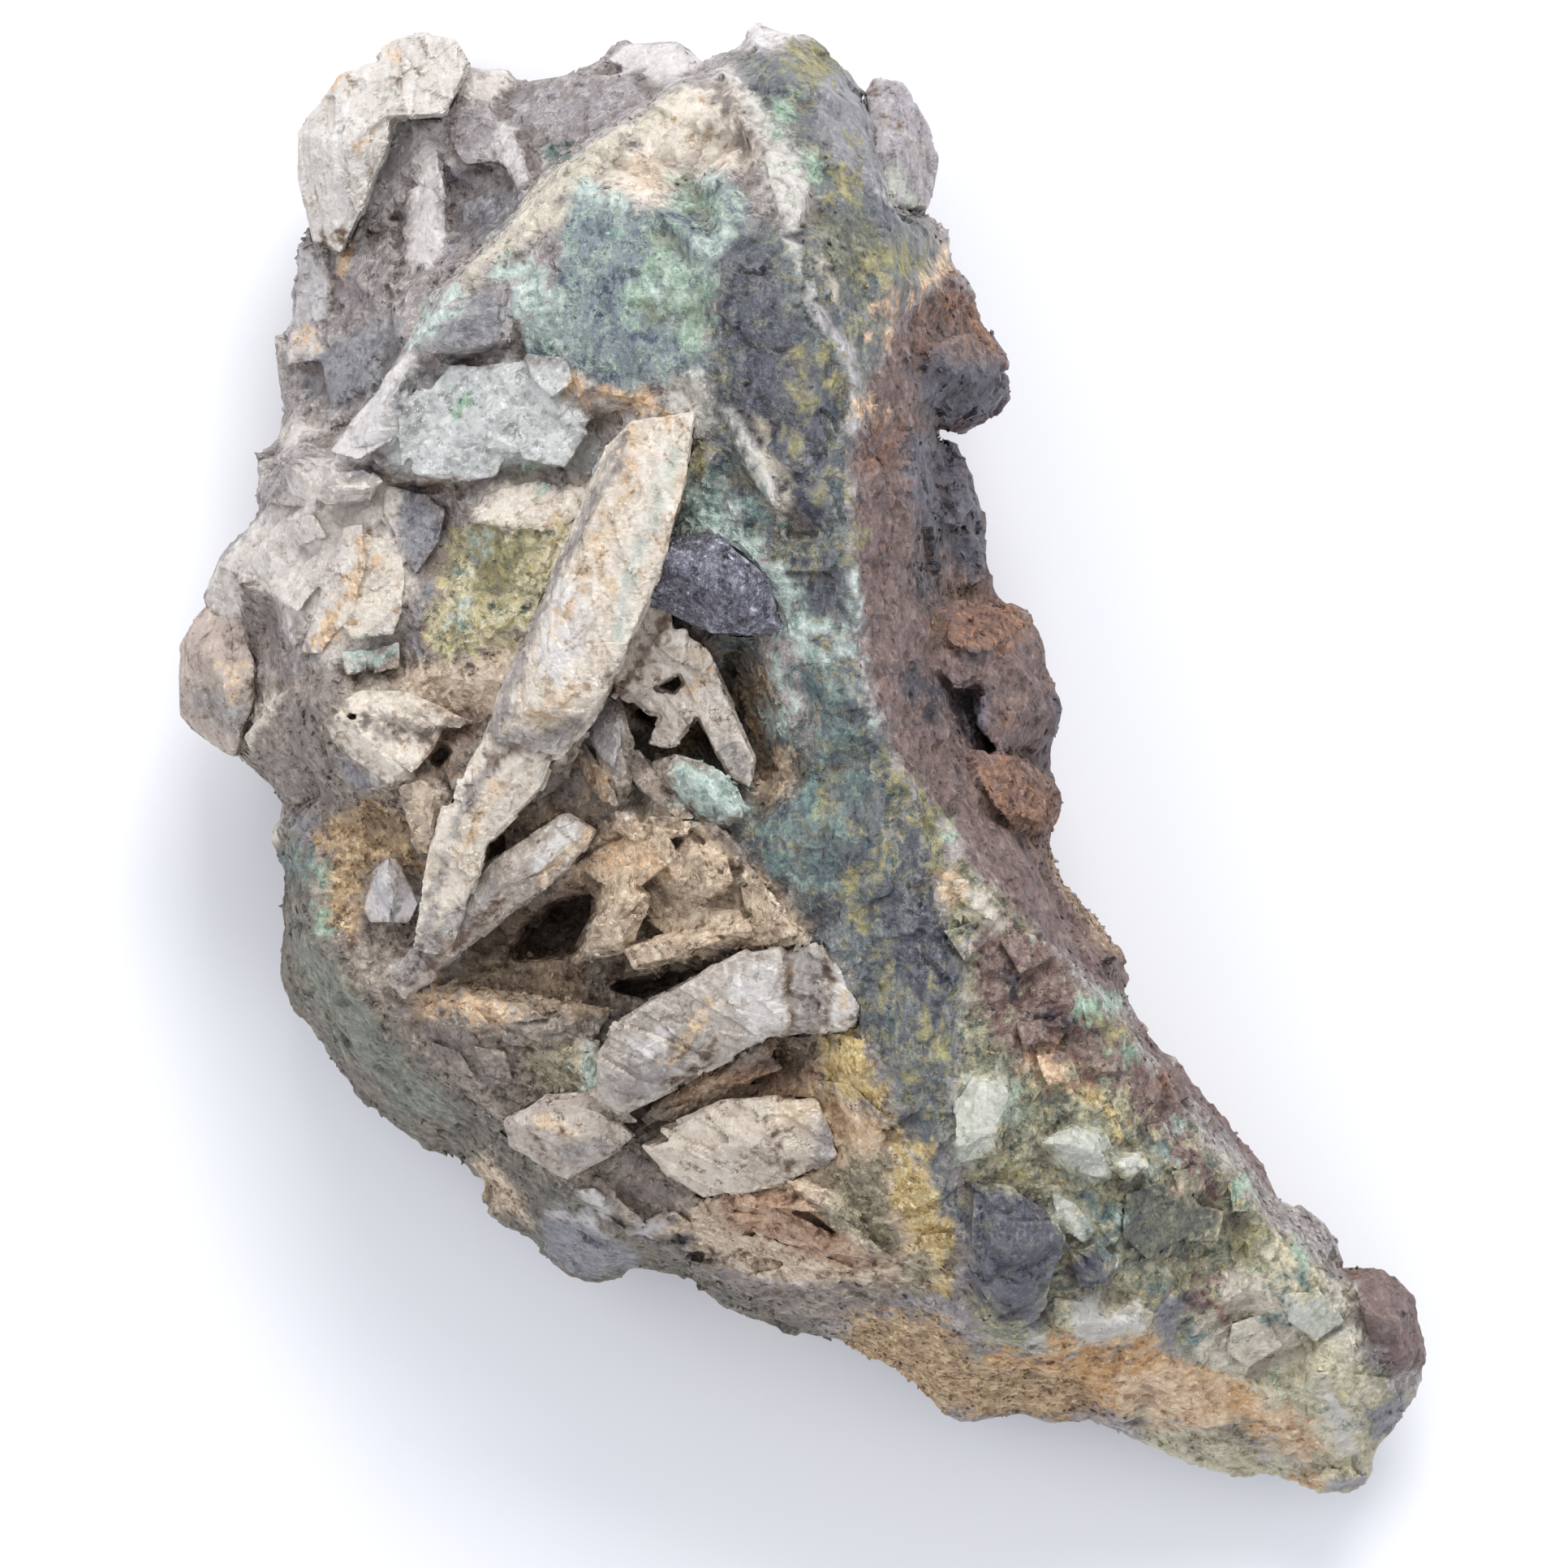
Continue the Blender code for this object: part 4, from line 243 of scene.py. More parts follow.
        [(35.4, 24.0, 0.4), (36.6, 24.8, 0.5), (38.2, 24.8, 0.5), (39.6, 25.2, 0.5), (41.0, 25.6, 0.4)],
        [(38.0, 52.8, 1.1), (40.6, 53.2, 0.8)], [(35.8, 53.8, 0.6)], [(20.4, 15.2, 0.35), (20.7, 16.6, 0.3)],
        [(25.0, 60.8), (27.4, 60.4), (30.0, 61.2), (32.0, 61.8), (31.4, 63.0), (29.0, 62.8), (27.0, 62.4), (26.4, 63.4)],
        [(44.4, 69.0), (47.0, 67.0), (50.0, 66.4), (52.6, 68.0), (54.4, 69.4), (52.8, 70.6), (51.2, 70.6), (50.4, 68.4),
         (48.0, 68.0)],
        [(58.1, 15.4, 0.2), (57.8, 16.6, 0.4), (57.0, 17.6, 0.45), (55.8, 18.4, 0.35), (55.0, 18.9, 0.35),
         (54.4, 20.0, 0.25), (54.4, 21.0, 0.2)],
        [(34.4, 32.2, 0.4), (33.4, 32.4, 0.2)], [(58.4, 54.8, 0.7)], [(64.0, 65.2, 0.9), (65.4, 66.4, 0.6)],
        [(53.0, 25.2, 0.35), (53.8, 25.6, 0.2)], [(18.6, 20.6, 0.4)], [(30.4, 65.0, 0.4), (28.4, 64.8, 0.3)],
        [(68.6, 85.0), (72.0, 84.4), (76.0, 85.6), (76.4, 87.6), (73.0, 88.4), (69.6, 87.4)],
        [(77.0, 86.4), (80.0, 87.0), (82.0, 89.6), (80.6, 90.6), (78.0, 88.4)], [(80.2, 91.2, 0.5), (81.6, 91.8, 0.5)],
        [(36.4, 49.0, 0.4), (36.6, 47.6, 0.3)],
    ],
    "leaf": [
        [(44.0, 73.6), (46.0, 72.6), (48.6, 73.0), (51.0, 75.0), (54.6, 77.4), (52.0, 78.0), (48.0, 76.4), (45.0, 75.6)],
        [(40.0, 67.6), (43.0, 66.0), (46.0, 65.2), (48.4, 65.4), (48.4, 66.6), (45.0, 66.8), (42.0, 68.2)],
        [(48.4, 66.0, 0.5), (50.4, 65.6, 0.6)], [(32.0, 60.0), (35.0, 58.4), (37.0, 60.8), (35.0, 62.0)],
        [(26.2, 79.4, 0.5), (27.0, 77.6, 0.4)], [(52.0, 72.4, 0.3), (53.6, 74.6, 0.3)],
    ],
    "lichen": [
        [(50.4, 64.0), (52.4, 62.6), (53.6, 64.2), (53.4, 65.8), (54.4, 67.0), (54.6, 69.0), (53.2, 67.4), (51.4, 66.6),
         (50.6, 65.4)],
        [(54.4, 69.0), (55.4, 70.0), (57.6, 73.0), (58.8, 76.0), (58.4, 79.4), (56.6, 78.0), (56.0, 76.0), (55.0, 73.8)],
        [(66.6, 66.8, 0.3), (67.6, 67.4, 0.3), (68.4, 68.8, 0.3), (68.6, 69.6, 0.2)], [(56.6, 70.6, 0.7)],
    ],
    "veined": [
        [(51.8, 71.6), (54.4, 71.0), (54.6, 73.6), (55.4, 76.0), (54.4, 77.4), (52.0, 75.4), (50.4, 74.4), (51.0, 72.6)],
        [(32.0, 64.0), (35.8, 64.0), (37.2, 65.4), (37.4, 67.8), (35.0, 67.6), (32.4, 66.2)],
        [(57.0, 77.4, 0.6), (56.2, 79.2, 0.6)], [(74.0, 89.4, 0.6), (76.4, 88.4, 0.6)],
    ],
    "yellow": [
        [(28.2, 32.8), (30.0, 32.4), (32.0, 32.6), (33.6, 32.2), (35.2, 32.0), (35.2, 33.4), (34.0, 34.6), (34.2, 35.6),
         (33.4, 38.0), (31.6, 39.6), (30.0, 40.2), (27.6, 41.0), (26.4, 40.0), (26.6, 38.0), (27.4, 36.0), (27.8, 34.2)],
        [(61.0, 71.4, 0.5), (63.0, 72.2, 0.4), (64.6, 73.0, 0.3)], [(30.9, 51.5, 0.6)],
    ],
    "moss": [
        [(29.8, 33.0), (32.2, 33.0), (33.0, 35.0), (31.0, 37.0), (29.4, 38.0), (28.8, 36.6)],
        [(48.8, 2.8), (50.6, 2.6), (51.2, 4.0), (50.8, 5.4), (49.8, 5.6), (48.8, 4.6)], [(52.0, 11.6, 0.7), (51.4, 12.4, 0.5)],
        [(52.6, 9.4, 0.3)], [(50.4, 9.8, 0.3)], [(49.2, 22.6, 0.15), (49.3, 24.6, 0.15), (49.5, 26.0, 0.15)],
        [(49.0, 26.4, 0.3), (49.1, 28.0, 0.25)], [(50.8, 21.8, 0.25), (51.2, 22.6, 0.2)], [(51.0, 24.0, 0.2)],
        [(51.0, 30.2, 0.25), (50.4, 31.0, 0.2)], [(50.3, 48.6, 0.6), (50.6, 50.0, 0.35)], [(56.2, 50.8, 0.5), (57.4, 52.4, 0.5)],
        [(54.4, 52.6, 0.4)], [(53.0, 56.4, 0.4), (52.2, 54.2, 0.3)], [(54.8, 60.6, 0.5)], [(55.6, 66.0, 0.35)],
        [(57.6, 64.0, 0.3), (57.0, 61.6, 0.3)], [(46.8, 32.6, 0.25), (46.4, 33.6, 0.2)], [(43.0, 28.8, 0.8)],
        [(52.2, 30.0, 0.05), (52.6, 34.0, 0.05)], [(54.4, 46.4, 0.1), (55.4, 48.4, 0.2), (57.0, 50.4, 0.3), (58.4, 52.0, 0.3)],
        [(62.4, 72.0, 0.4)], [(67.2, 62.6, 0.6), (68.6, 64.0, 0.5)], [(76.6, 76.6, 0.8)], [(53.0, 17.0, 0.6), (56.0, 16.4, 0.6)],
    ],
    "arm_mix": [[
        (57.8, 53.0), (60.4, 53.4), (63.0, 56.2), (65.6, 59.6), (70.0, 64.4), (73.0, 68.6), (78.0, 74.6), (82.0, 78.8),
        (84.0, 83.0), (87.6, 87.6), (84.6, 91.0), (80.0, 88.0), (76.0, 84.6), (70.0, 82.4), (65.6, 84.0),
        (60.0, 82.0), (59.6, 74.0), (58.6, 66.0), (59.2, 60.0), (57.4, 55.6),
    ]],
    "red_brown": [
        [(59.4, 57.6), (61.6, 55.6), (63.6, 57.6), (66.6, 60.6), (69.6, 63.4), (71.4, 66.8), (69.4, 66.6), (66.0, 65.4),
         (62.4, 65.6), (60.0, 62.4)],
        [(70.4, 68.0, 0.8), (72.4, 70.4, 0.9), (75.0, 73.4, 0.6)], [(73.4, 80.4, 0.7), (74.4, 79.0, 0.5)],
    ],
    "arm_cream": [
        [(74.0, 82.6), (76.0, 79.0), (78.6, 76.4), (80.6, 77.6), (83.0, 80.0), (84.0, 83.6), (86.0, 86.4), (87.0, 88.6),
         (85.6, 90.8), (83.8, 91.6), (80.6, 90.4), (76.4, 88.4), (73.0, 86.4)],
        [(64.8, 79.2), (67.0, 79.8), (69.0, 80.6), (71.0, 80.2), (71.4, 82.2), (68.6, 83.2), (66.4, 82.6), (64.8, 81.4)],
        [(69.0, 86.6, 0.6), (72.4, 88.4, 0.9), (75.4, 89.6, 0.7)],
        [(70.0, 87.8), (76.0, 88.6), (81.0, 90.6), (85.6, 90.4), (87.6, 86.6), (88.6, 88.0), (86.4, 92.4), (80.0, 93.0),
         (72.0, 91.0)],
    ],
    "arm_orange": [
        [(60.6, 82.8), (64.0, 83.2), (67.4, 83.4), (71.0, 83.4), (74.6, 84.6), (78.0, 86.4), (80.6, 88.6), (78.6, 89.2),
         (74.8, 87.6), (70.0, 87.2), (66.0, 87.4), (62.0, 87.0), (60.0, 85.0)],
        [(65.4, 82.6, 0.8), (67.2, 83.0, 0.7)], [(69.0, 82.8, 0.8), (71.0, 82.6, 0.6)], [(56.6, 85.0, 0.8), (59.6, 86.0, 0.9)],
    ],
    "field": [[
        (35.2, 12.4), (38.0, 13.1), (40.0, 13.1), (42.5, 12.0), (44.5, 11.1), (46.0, 12.4), (46.6, 14.6),
        (44.0, 16.6), (43.8, 21.0), (44.0, 24.0), (42.0, 24.4), (38.6, 24.8), (35.4, 23.2), (32.8, 22.4),
        (32.4, 20.2), (34.0, 18.4), (34.6, 16.4), (34.6, 14.8),
    ]],
    "green": [
        [(40.6, 16.4), (42.6, 17.4), (43.8, 18.0), (43.8, 21.4), (42.2, 21.6), (41.4, 20.0), (39.2, 20.0), (38.8, 18.8),
         (40.2, 18.0)],
        [(41.0, 14.4, 0.4), (40.6, 16.4, 0.5), (40.0, 18.4, 0.6)], [(42.4, 12.2, 0.8), (43.6, 13.0, 0.8), (44.6, 13.8, 0.5)],
        [(47.8, 8.0, 0.5), (48.2, 6.8, 0.35)], [(49.6, 10.4, 0.45), (50.1, 11.4, 0.3)], [(19.6, 53.4, 0.4), (20.4, 56.8, 0.35)],
        [(31.8, 29.3, 0.15), (33.0, 29.2, 0.2), (34.4, 30.1, 0.15)], [(66.6, 62.0, 0.6), (68.6, 61.6, 0.5)], [(69.2, 65.0, 0.6)],
        [(76.6, 73.4, 0.6)], [(61.8, 67.2, 0.4), (62.2, 68.6, 0.35)], [(28.8, 25.2, 0.4)], [(58.4, 51.6, 0.4)], [(80.0, 77.4, 0.6)],
    ],
    "mint": [
        [(30.5, 17.0, 0.4), (32.6, 17.2, 0.9), (33.4, 18.8, 0.9), (32.8, 20.0, 0.7), (34.6, 21.4, 0.5)],
        [(28.4, 18.4, 0.3), (26.4, 20.0, 0.4), (25.8, 21.4, 0.4)], [(36.2, 12.6, 0.7), (38.0, 12.9, 0.4)],
        [(43.0, 11.8, 0.5), (44.2, 11.5, 0.3)], [(44.2, 15.2, 0.5), (43.2, 15.8, 0.3)], [(41.0, 18.6, 0.5)],
        [(42.4, 29.8), (44.0, 29.4), (45.0, 31.0), (46.2, 33.0), (47.0, 34.6), (49.0, 36.4), (49.6, 38.0), (49.8, 40.0),
         (51.0, 40.6), (52.0, 41.0), (50.8, 41.2), (49.2, 40.6), (48.2, 39.0), (47.6, 37.0), (46.4, 35.2), (44.4, 34.0),
         (42.8, 33.0), (41.4, 33.0), (42.0, 31.2)],
        [(41.8, 47.2), (44.4, 46.8), (46.0, 48.0), (46.0, 50.0), (43.6, 50.2), (41.8, 49.0)],
        [(47.4, 40.4, 0.2), (48.0, 42.0, 0.3), (48.8, 43.4, 0.25)], [(47.8, 44.0, 0.4), (48.2, 45.4, 0.45)],
        [(50.8, 39.6, 0.4), (51.8, 40.8, 0.4)], [(22.0, 40.8, 0.6), (23.8, 40.6, 0.7)], [(36.4, 64.6, 0.35), (36.6, 66.4, 0.3)],
        [(52.4, 35.6, 0.02), (52.6, 38.0, 0.1), (52.0, 39.6, 0.25), (52.4, 41.0, 0.1), (53.0, 42.6, 0.05), (53.6, 44.4, 0.05)],
        [(29.8, 33.4, 0.2), (29.6, 34.6, 0.22), (28.9, 36.0, 0.2), (28.6, 38.6, 0.3)], [(71.4, 70.6, 0.5), (72.4, 69.4, 0.3)],
        [(68.9, 74.4, 0.15), (68.6, 76.0, 0.15), (69.0, 77.6, 0.15)], [(79.6, 81.0, 0.5), (81.6, 81.8, 0.5)], [(62.0, 68.4, 0.3)],
    ],
    "teal": [
        [(49.4, 41.4, 0.5), (50.8, 43.4, 0.7), (51.0, 45.6, 0.5)], [(52.0, 44.6, 0.3), (52.8, 47.0, 0.5), (52.2, 49.0, 0.4)],
        [(50.2, 47.6, 0.4), (49.6, 50.2, 0.6), (47.8, 51.2, 0.5)], [(51.6, 51.4, 0.5), (50.4, 53.6, 0.6)],
        [(48.4, 53.4, 0.5)], [(34.4, 9.2, 0.4), (34.8, 9.9, 0.25)],
        [(44.8, 29.0, 0.35), (44.6, 30.6, 0.3)], [(46.4, 31.4, 0.35), (47.2, 32.4, 0.35)], [(40.9, 33.8, 0.3), (41.8, 32.0, 0.35)],
        [(17.4, 53.4, 0.5), (18.8, 53.2, 0.6)], [(66.8, 73.6, 0.3), (67.8, 75.0, 0.45), (68.4, 76.6, 0.3)],
        [(79.0, 79.0, 0.45)], [(80.8, 79.2, 0.35)], [(78.6, 80.8, 0.35)], [(73.4, 82.6, 0.4)], [(71.0, 79.4, 0.5)],
        [(39.6, 37.4, 0.25), (39.4, 38.6, 0.2)], [(44.2, 42.2, 0.4)], [(37.8, 14.8, 0.35)], [(47.8, 46.0, 0.3), (48.8, 45.8, 0.2)],
    ],
    "arm_quartz": [
        [(58.6, 68.0), (59.6, 66.0), (61.4, 65.8), (62.0, 67.6), (61.2, 69.6), (60.8, 70.6), (58.8, 71.2), (58.2, 70.0)],
        [(64.0, 70.0), (65.6, 69.0), (67.6, 69.4), (68.4, 70.6), (68.8, 72.0), (67.4, 72.4), (65.0, 71.8)],
        [(68.6, 71.0), (70.0, 70.8), (70.6, 71.8), (69.4, 72.6)],
        [(64.6, 73.4), (66.0, 73.8), (67.2, 75.6), (66.4, 76.4), (64.8, 75.2)],
        [(79.0, 79.6), (81.6, 79.8), (83.6, 82.0), (82.0, 83.0), (79.4, 81.6)],
    ],
    "vein": [[
        (45.2, 3.6), (48.0, 3.2), (51.0, 2.6), (53.5, 6.0), (54.0, 10.0), (56.0, 13.0), (58.3, 15.6),
        (56.6, 18.4), (55.0, 19.4), (53.8, 23.0), (52.6, 27.0), (52.2, 32.0), (52.6, 38.0), (53.0, 42.0),
        (54.2, 45.6), (55.8, 48.4), (58.2, 51.6), (57.6, 55.0), (58.8, 58.6), (59.2, 62.0), (58.6, 66.0),
        (58.0, 70.4), (59.4, 74.0), (59.2, 76.0), (57.6, 73.0), (55.6, 69.0), (54.0, 65.0), (52.4, 61.0),
        (50.4, 57.6), (47.8, 54.6), (45.4, 51.4), (45.4, 49.8), (49.0, 48.6), (49.8, 45.0), (49.8, 41.6),
        (48.8, 37.4), (46.8, 34.2), (44.8, 31.4), (43.8, 28.4), (43.8, 24.0), (44.0, 17.0), (45.6, 14.6),
        (47.6, 13.6), (49.2, 15.4), (50.0, 11.8), (48.2, 8.6), (46.0, 6.2),
    ], [(44.0, 39.2), (46.0, 38.8), (47.0, 39.6), (47.0, 41.0), (45.2, 41.2), (44.2, 40.6)],
        [(42.0, 38.4), (46.8, 35.6), (47.6, 37.0), (47.4, 38.6), (44.0, 39.0)], [(42.4, 5.6, 0.35), (42.8, 6.4, 0.3)],
    ],
    "dark_vein": [
        [(44.2, 16.6), (45.4, 15.6), (46.6, 16.0), (47.6, 17.6), (48.0, 19.6), (47.4, 20.2), (45.6, 20.0), (44.6, 19.4),
         (44.0, 18.4)],
        [(54.2, 12.8), (55.4, 12.4), (55.8, 13.6), (55.0, 15.0), (53.8, 15.2), (53.6, 14.0)],
        [(54.6, 54.0), (57.6, 54.6), (58.4, 58.0), (58.4, 62.0), (57.0, 64.0), (55.6, 60.0), (54.8, 57.0)],
        [(59.8, 72.4), (62.0, 73.0), (64.0, 73.8), (64.6, 75.0), (65.6, 76.4), (64.8, 78.0), (64.2, 80.4), (63.4, 81.8),
         (61.6, 81.0), (60.0, 79.0), (59.6, 76.0)],
        [(66.0, 77.0), (67.4, 76.2), (68.6, 77.2), (68.6, 78.6), (67.0, 79.0), (65.8, 78.4)], [(43.4, 27.8, 0.5)],
        [(44.6, 20.6), (47.6, 20.0), (49.6, 22.0), (50.6, 25.6), (51.2, 29.4), (50.4, 33.0), (48.6, 33.2), (46.8, 29.8),
         (45.2, 26.0)],
        [(53.4, 36.0, 0.0), (50.6, 36.0, 0.7), (51.0, 39.0, 0.5)], [(55.4, 51.0, 0.8), (57.0, 53.4, 0.6)],
    ],
    "black_green": [
        [(69.0, 73.0), (71.0, 72.6), (73.0, 73.6), (75.0, 74.6), (74.6, 76.4), (71.6, 77.8), (69.6, 77.8), (68.8, 76.0)],
        [(64.8, 67.6, 0.7), (65.4, 68.4, 0.5)], [(50.4, 13.6), (53.0, 13.2), (54.4, 15.6), (53.4, 19.0), (51.4, 18.2)],
        [(70.4, 68.8, 0.5), (71.8, 68.8, 0.4)], [(62.8, 69.6, 0.5)], [(53.6, 83.0, 0.7), (58.0, 83.6, 0.7), (61.0, 83.4, 0.6)],
    ],
    "iron": [[
        (58.2, 16.0), (60.4, 18.4), (63.4, 22.0), (63.4, 25.4), (60.4, 27.0), (62.4, 33.0), (62.6, 37.0),
        (66.0, 39.0), (67.0, 45.0), (67.0, 51.0), (66.0, 53.4), (70.0, 57.6), (72.0, 62.6), (68.6, 61.4),
        (66.4, 59.4), (64.6, 58.4), (62.0, 55.4), (59.8, 52.8), (57.6, 50.4), (55.4, 47.0), (53.4, 42.6),
        (52.6, 37.0), (52.3, 29.0), (53.2, 24.4), (54.8, 20.8), (57.2, 18.0),
    ], [(83.0, 78.0), (86.0, 77.6), (89.0, 81.0), (89.0, 85.0), (86.4, 84.8), (84.2, 82.6)],
        [(69.0, 66.0), (72.4, 65.4), (74.0, 67.6), (73.0, 69.0), (70.4, 68.8)], [(62.6, 58.6, 0.9), (64.0, 58.8, 0.6)],
        [(70.0, 63.2, 0.5), (73.4, 66.6, 0.6), (76.6, 70.2, 0.6), (79.0, 73.4, 0.6)],
    ],
    "gunmetal": [
        [(56.2, 22.4), (59.4, 22.4), (62.2, 22.8), (62.6, 24.4), (60.8, 26.0), (57.4, 26.4), (56.4, 25.8)],
        [(56.0, 27.4), (58.0, 27.0), (59.4, 28.0), (60.4, 31.0), (60.8, 33.0), (60.8, 35.6), (59.6, 36.0), (58.6, 34.0),
         (57.0, 33.6), (56.0, 31.0)],
        [(65.2, 43.4, 0.6), (65.2, 45.4, 0.6), (64.6, 47.0, 0.4)], [(59.6, 43.4, 1.0), (60.0, 45.0, 0.6)],
    ],
    "soot": [
        [(57.8, 31.2, 0.7), (57.6, 33.0, 0.8), (57.2, 35.0, 0.7), (56.6, 36.6, 0.6)], [(59.2, 40.4, 0.35), (60.6, 40.2, 0.3)],
        [(55.8, 41.6, 0.5), (56.8, 42.8, 0.9), (57.8, 42.6, 0.5), (57.0, 44.4, 0.4)], [(58.4, 26.8, 0.4)], [(49.4, 15.4, 0.3)],
        [(18.2, 43.2, 0.35)], [(15.9, 45.6, 0.25)], [(18.4, 48.6, 0.3)], [(60.0, 57.0, 0.35)], [(61.8, 59.6, 0.5), (62.6, 61.4, 0.3)],
        [(74.0, 80.6, 0.3)], [(73.2, 79.8, 0.2)], [(42.2, 76.4, 0.5)], [(43.2, 77.4, 0.4)], [(62.4, 80.8, 0.6)],
        [(64.4, 62.4, 0.35), (65.6, 63.4, 0.3)], [(58.8, 44.0, 0.3), (59.6, 45.4, 0.25)],
    ],
    "rust": [
        [(57.4, 38.4), (60.0, 37.2), (61.8, 38.2), (60.6, 39.6), (58.2, 40.0)], [(54.6, 27.4, 0.4), (53.6, 29.0, 0.35)],
        [(59.4, 46.8), (61.8, 46.4), (64.0, 47.8), (65.4, 49.0), (64.8, 51.0), (63.6, 51.8), (62.0, 50.6), (60.0, 49.4)],
        [(57.0, 19.8, 0.5)], [(59.4, 19.8, 0.5)], [(56.6, 21.8, 0.3)], [(59.0, 36.8, 0.4)], [(62.2, 44.0, 0.4)],
        [(59.8, 35.6), (62.2, 36.8), (63.6, 38.4), (61.6, 40.4), (59.0, 39.6), (58.6, 37.4)],
        [(54.2, 26.6, 0.3), (54.6, 28.6, 0.3)], [(58.6, 18.6, 0.7), (60.6, 20.8, 0.6)],
        [(66.6, 65.8, 0.4), (67.0, 66.6, 0.25)], [(65.8, 55.0, 0.4), (67.4, 57.2, 0.4)], [(72.0, 66.8, 0.6)], [(75.0, 80.8, 0.5)],
    ],
    "stain": [
        [(16.8, 44.4), (18.0, 42.2), (20.8, 41.2), (21.4, 42.0), (20.4, 43.6), (20.4, 45.6), (21.0, 48.0), (22.0, 49.0),
         (19.6, 49.8), (17.6, 50.4), (16.4, 48.4), (15.4, 46.6), (15.4, 45.2)],
        [(14.8, 36.0), (15.6, 36.0), (16.8, 37.2), (17.8, 38.4), (18.3, 39.8), (18.0, 41.0), (16.6, 41.6), (15.2, 40.8),
         (15.0, 39.4), (15.6, 38.0)],
        [(44.0, 5.6), (45.2, 6.0), (45.4, 7.6), (46.4, 8.6), (46.8, 9.4), (45.4, 9.0), (44.4, 7.6), (43.8, 6.6)],
        [(26.4, 63.2), (28.4, 63.6), (30.4, 64.6), (31.8, 66.2), (31.6, 68.0), (29.6, 66.8), (28.0, 65.8), (26.6, 64.6)],
        [(33.6, 48.0), (35.0, 47.4), (36.0, 48.6), (36.4, 49.6), (34.6, 49.6), (33.8, 49.0)], [(28.6, 40.8, 0.3)],
        [(37.6, 71.4), (40.0, 70.2), (41.0, 72.0), (43.6, 73.8), (41.0, 74.8), (38.8, 74.6), (37.4, 73.0)], [(18.8, 38.8, 0.4)],
        [(44.6, 78.6, 0.3), (48.0, 79.6, 0.3), (52.0, 80.2, 0.3)], [(22.0, 48.9, 0.4), (20.6, 49.6, 0.4)], [(37.4, 26.6, 0.9)],
        # the last streak here is painted shade in the gaps between the book's leaves
        [(31.6, 63.8, 0.3), (36.6, 63.4, 0.3), (38.4, 62.4, 0.3)], [(22.4, 44.3, 0.12), (24.4, 45.3, 0.12), (26.6, 45.2, 0.15)],
    ],
    "mould": [
        [(29.6, 58.6), (32.0, 57.6), (35.0, 57.2), (36.4, 58.0), (35.4, 59.6), (37.0, 60.8), (38.0, 62.0), (35.0, 62.8),
         (32.0, 61.8), (28.6, 60.2)],
        [(32.0, 50.0), (33.8, 49.4), (36.0, 49.8), (37.6, 50.8), (36.4, 50.6), (33.6, 51.2), (32.2, 52.0)],
        [(48.0, 64.4, 0.5), (49.8, 65.0, 0.5), (48.6, 66.0, 0.3)], [(64.6, 52.6, 0.4), (66.0, 55.0, 0.6), (68.4, 58.2, 0.6)],
        [(29.8, 51.4), (31.4, 49.4), (32.0, 50.6), (32.0, 52.4), (30.6, 53.6), (29.2, 54.4)],
    ],
    "cave": [
        [(30.4, 57.2), (32.0, 55.6), (34.6, 54.8), (36.6, 54.8), (36.8, 56.0), (36.0, 57.2), (33.0, 57.4), (31.0, 58.2),
         (29.8, 59.4), (29.6, 58.4)],
        [(38.0, 58.9), (39.4, 60.4), (42.0, 60.0), (44.6, 58.8), (46.6, 58.5), (46.0, 59.0), (43.0, 60.6), (40.4, 61.6),
         (37.8, 61.0)],
        [(38.4, 43.0), (39.0, 42.7), (41.0, 43.8), (40.6, 44.6), (39.0, 44.2)], [(42.9, 44.2), (43.6, 45.6), (43.2, 45.9)],
        # painted shade: the dark gap under the book's leaves
        [(26.4, 46.8), (27.8, 45.0), (29.0, 44.6), (30.0, 45.0), (29.6, 46.0), (28.6, 46.0), (28.2, 47.4), (27.0, 47.8)],
        [(24.0, 29.7, 0.1), (26.0, 29.9, 0.15), (27.6, 30.1, 0.3), (28.6, 30.6, 0.4), (29.4, 30.4, 0.15)],
        [(43.4, 65.0, 0.2), (44.8, 64.0, 0.4), (46.4, 63.6, 0.45), (47.8, 63.6, 0.3)], [(45.2, 55.0, 0.2), (44.2, 55.8, 0.15)],
        [(38.4, 68.9, 0.3), (40.4, 69.0, 0.4), (42.6, 68.6, 0.4), (44.6, 67.6, 0.3)], [(41.4, 55.4, 0.3)], [(31.0, 53.2, 0.4)],
        [(43.0, 73.6, 0.2), (44.8, 73.2, 0.2)], [(47.8, 57.6, 0.2)], [(41.8, 51.9, 0.25)],
    ],
}

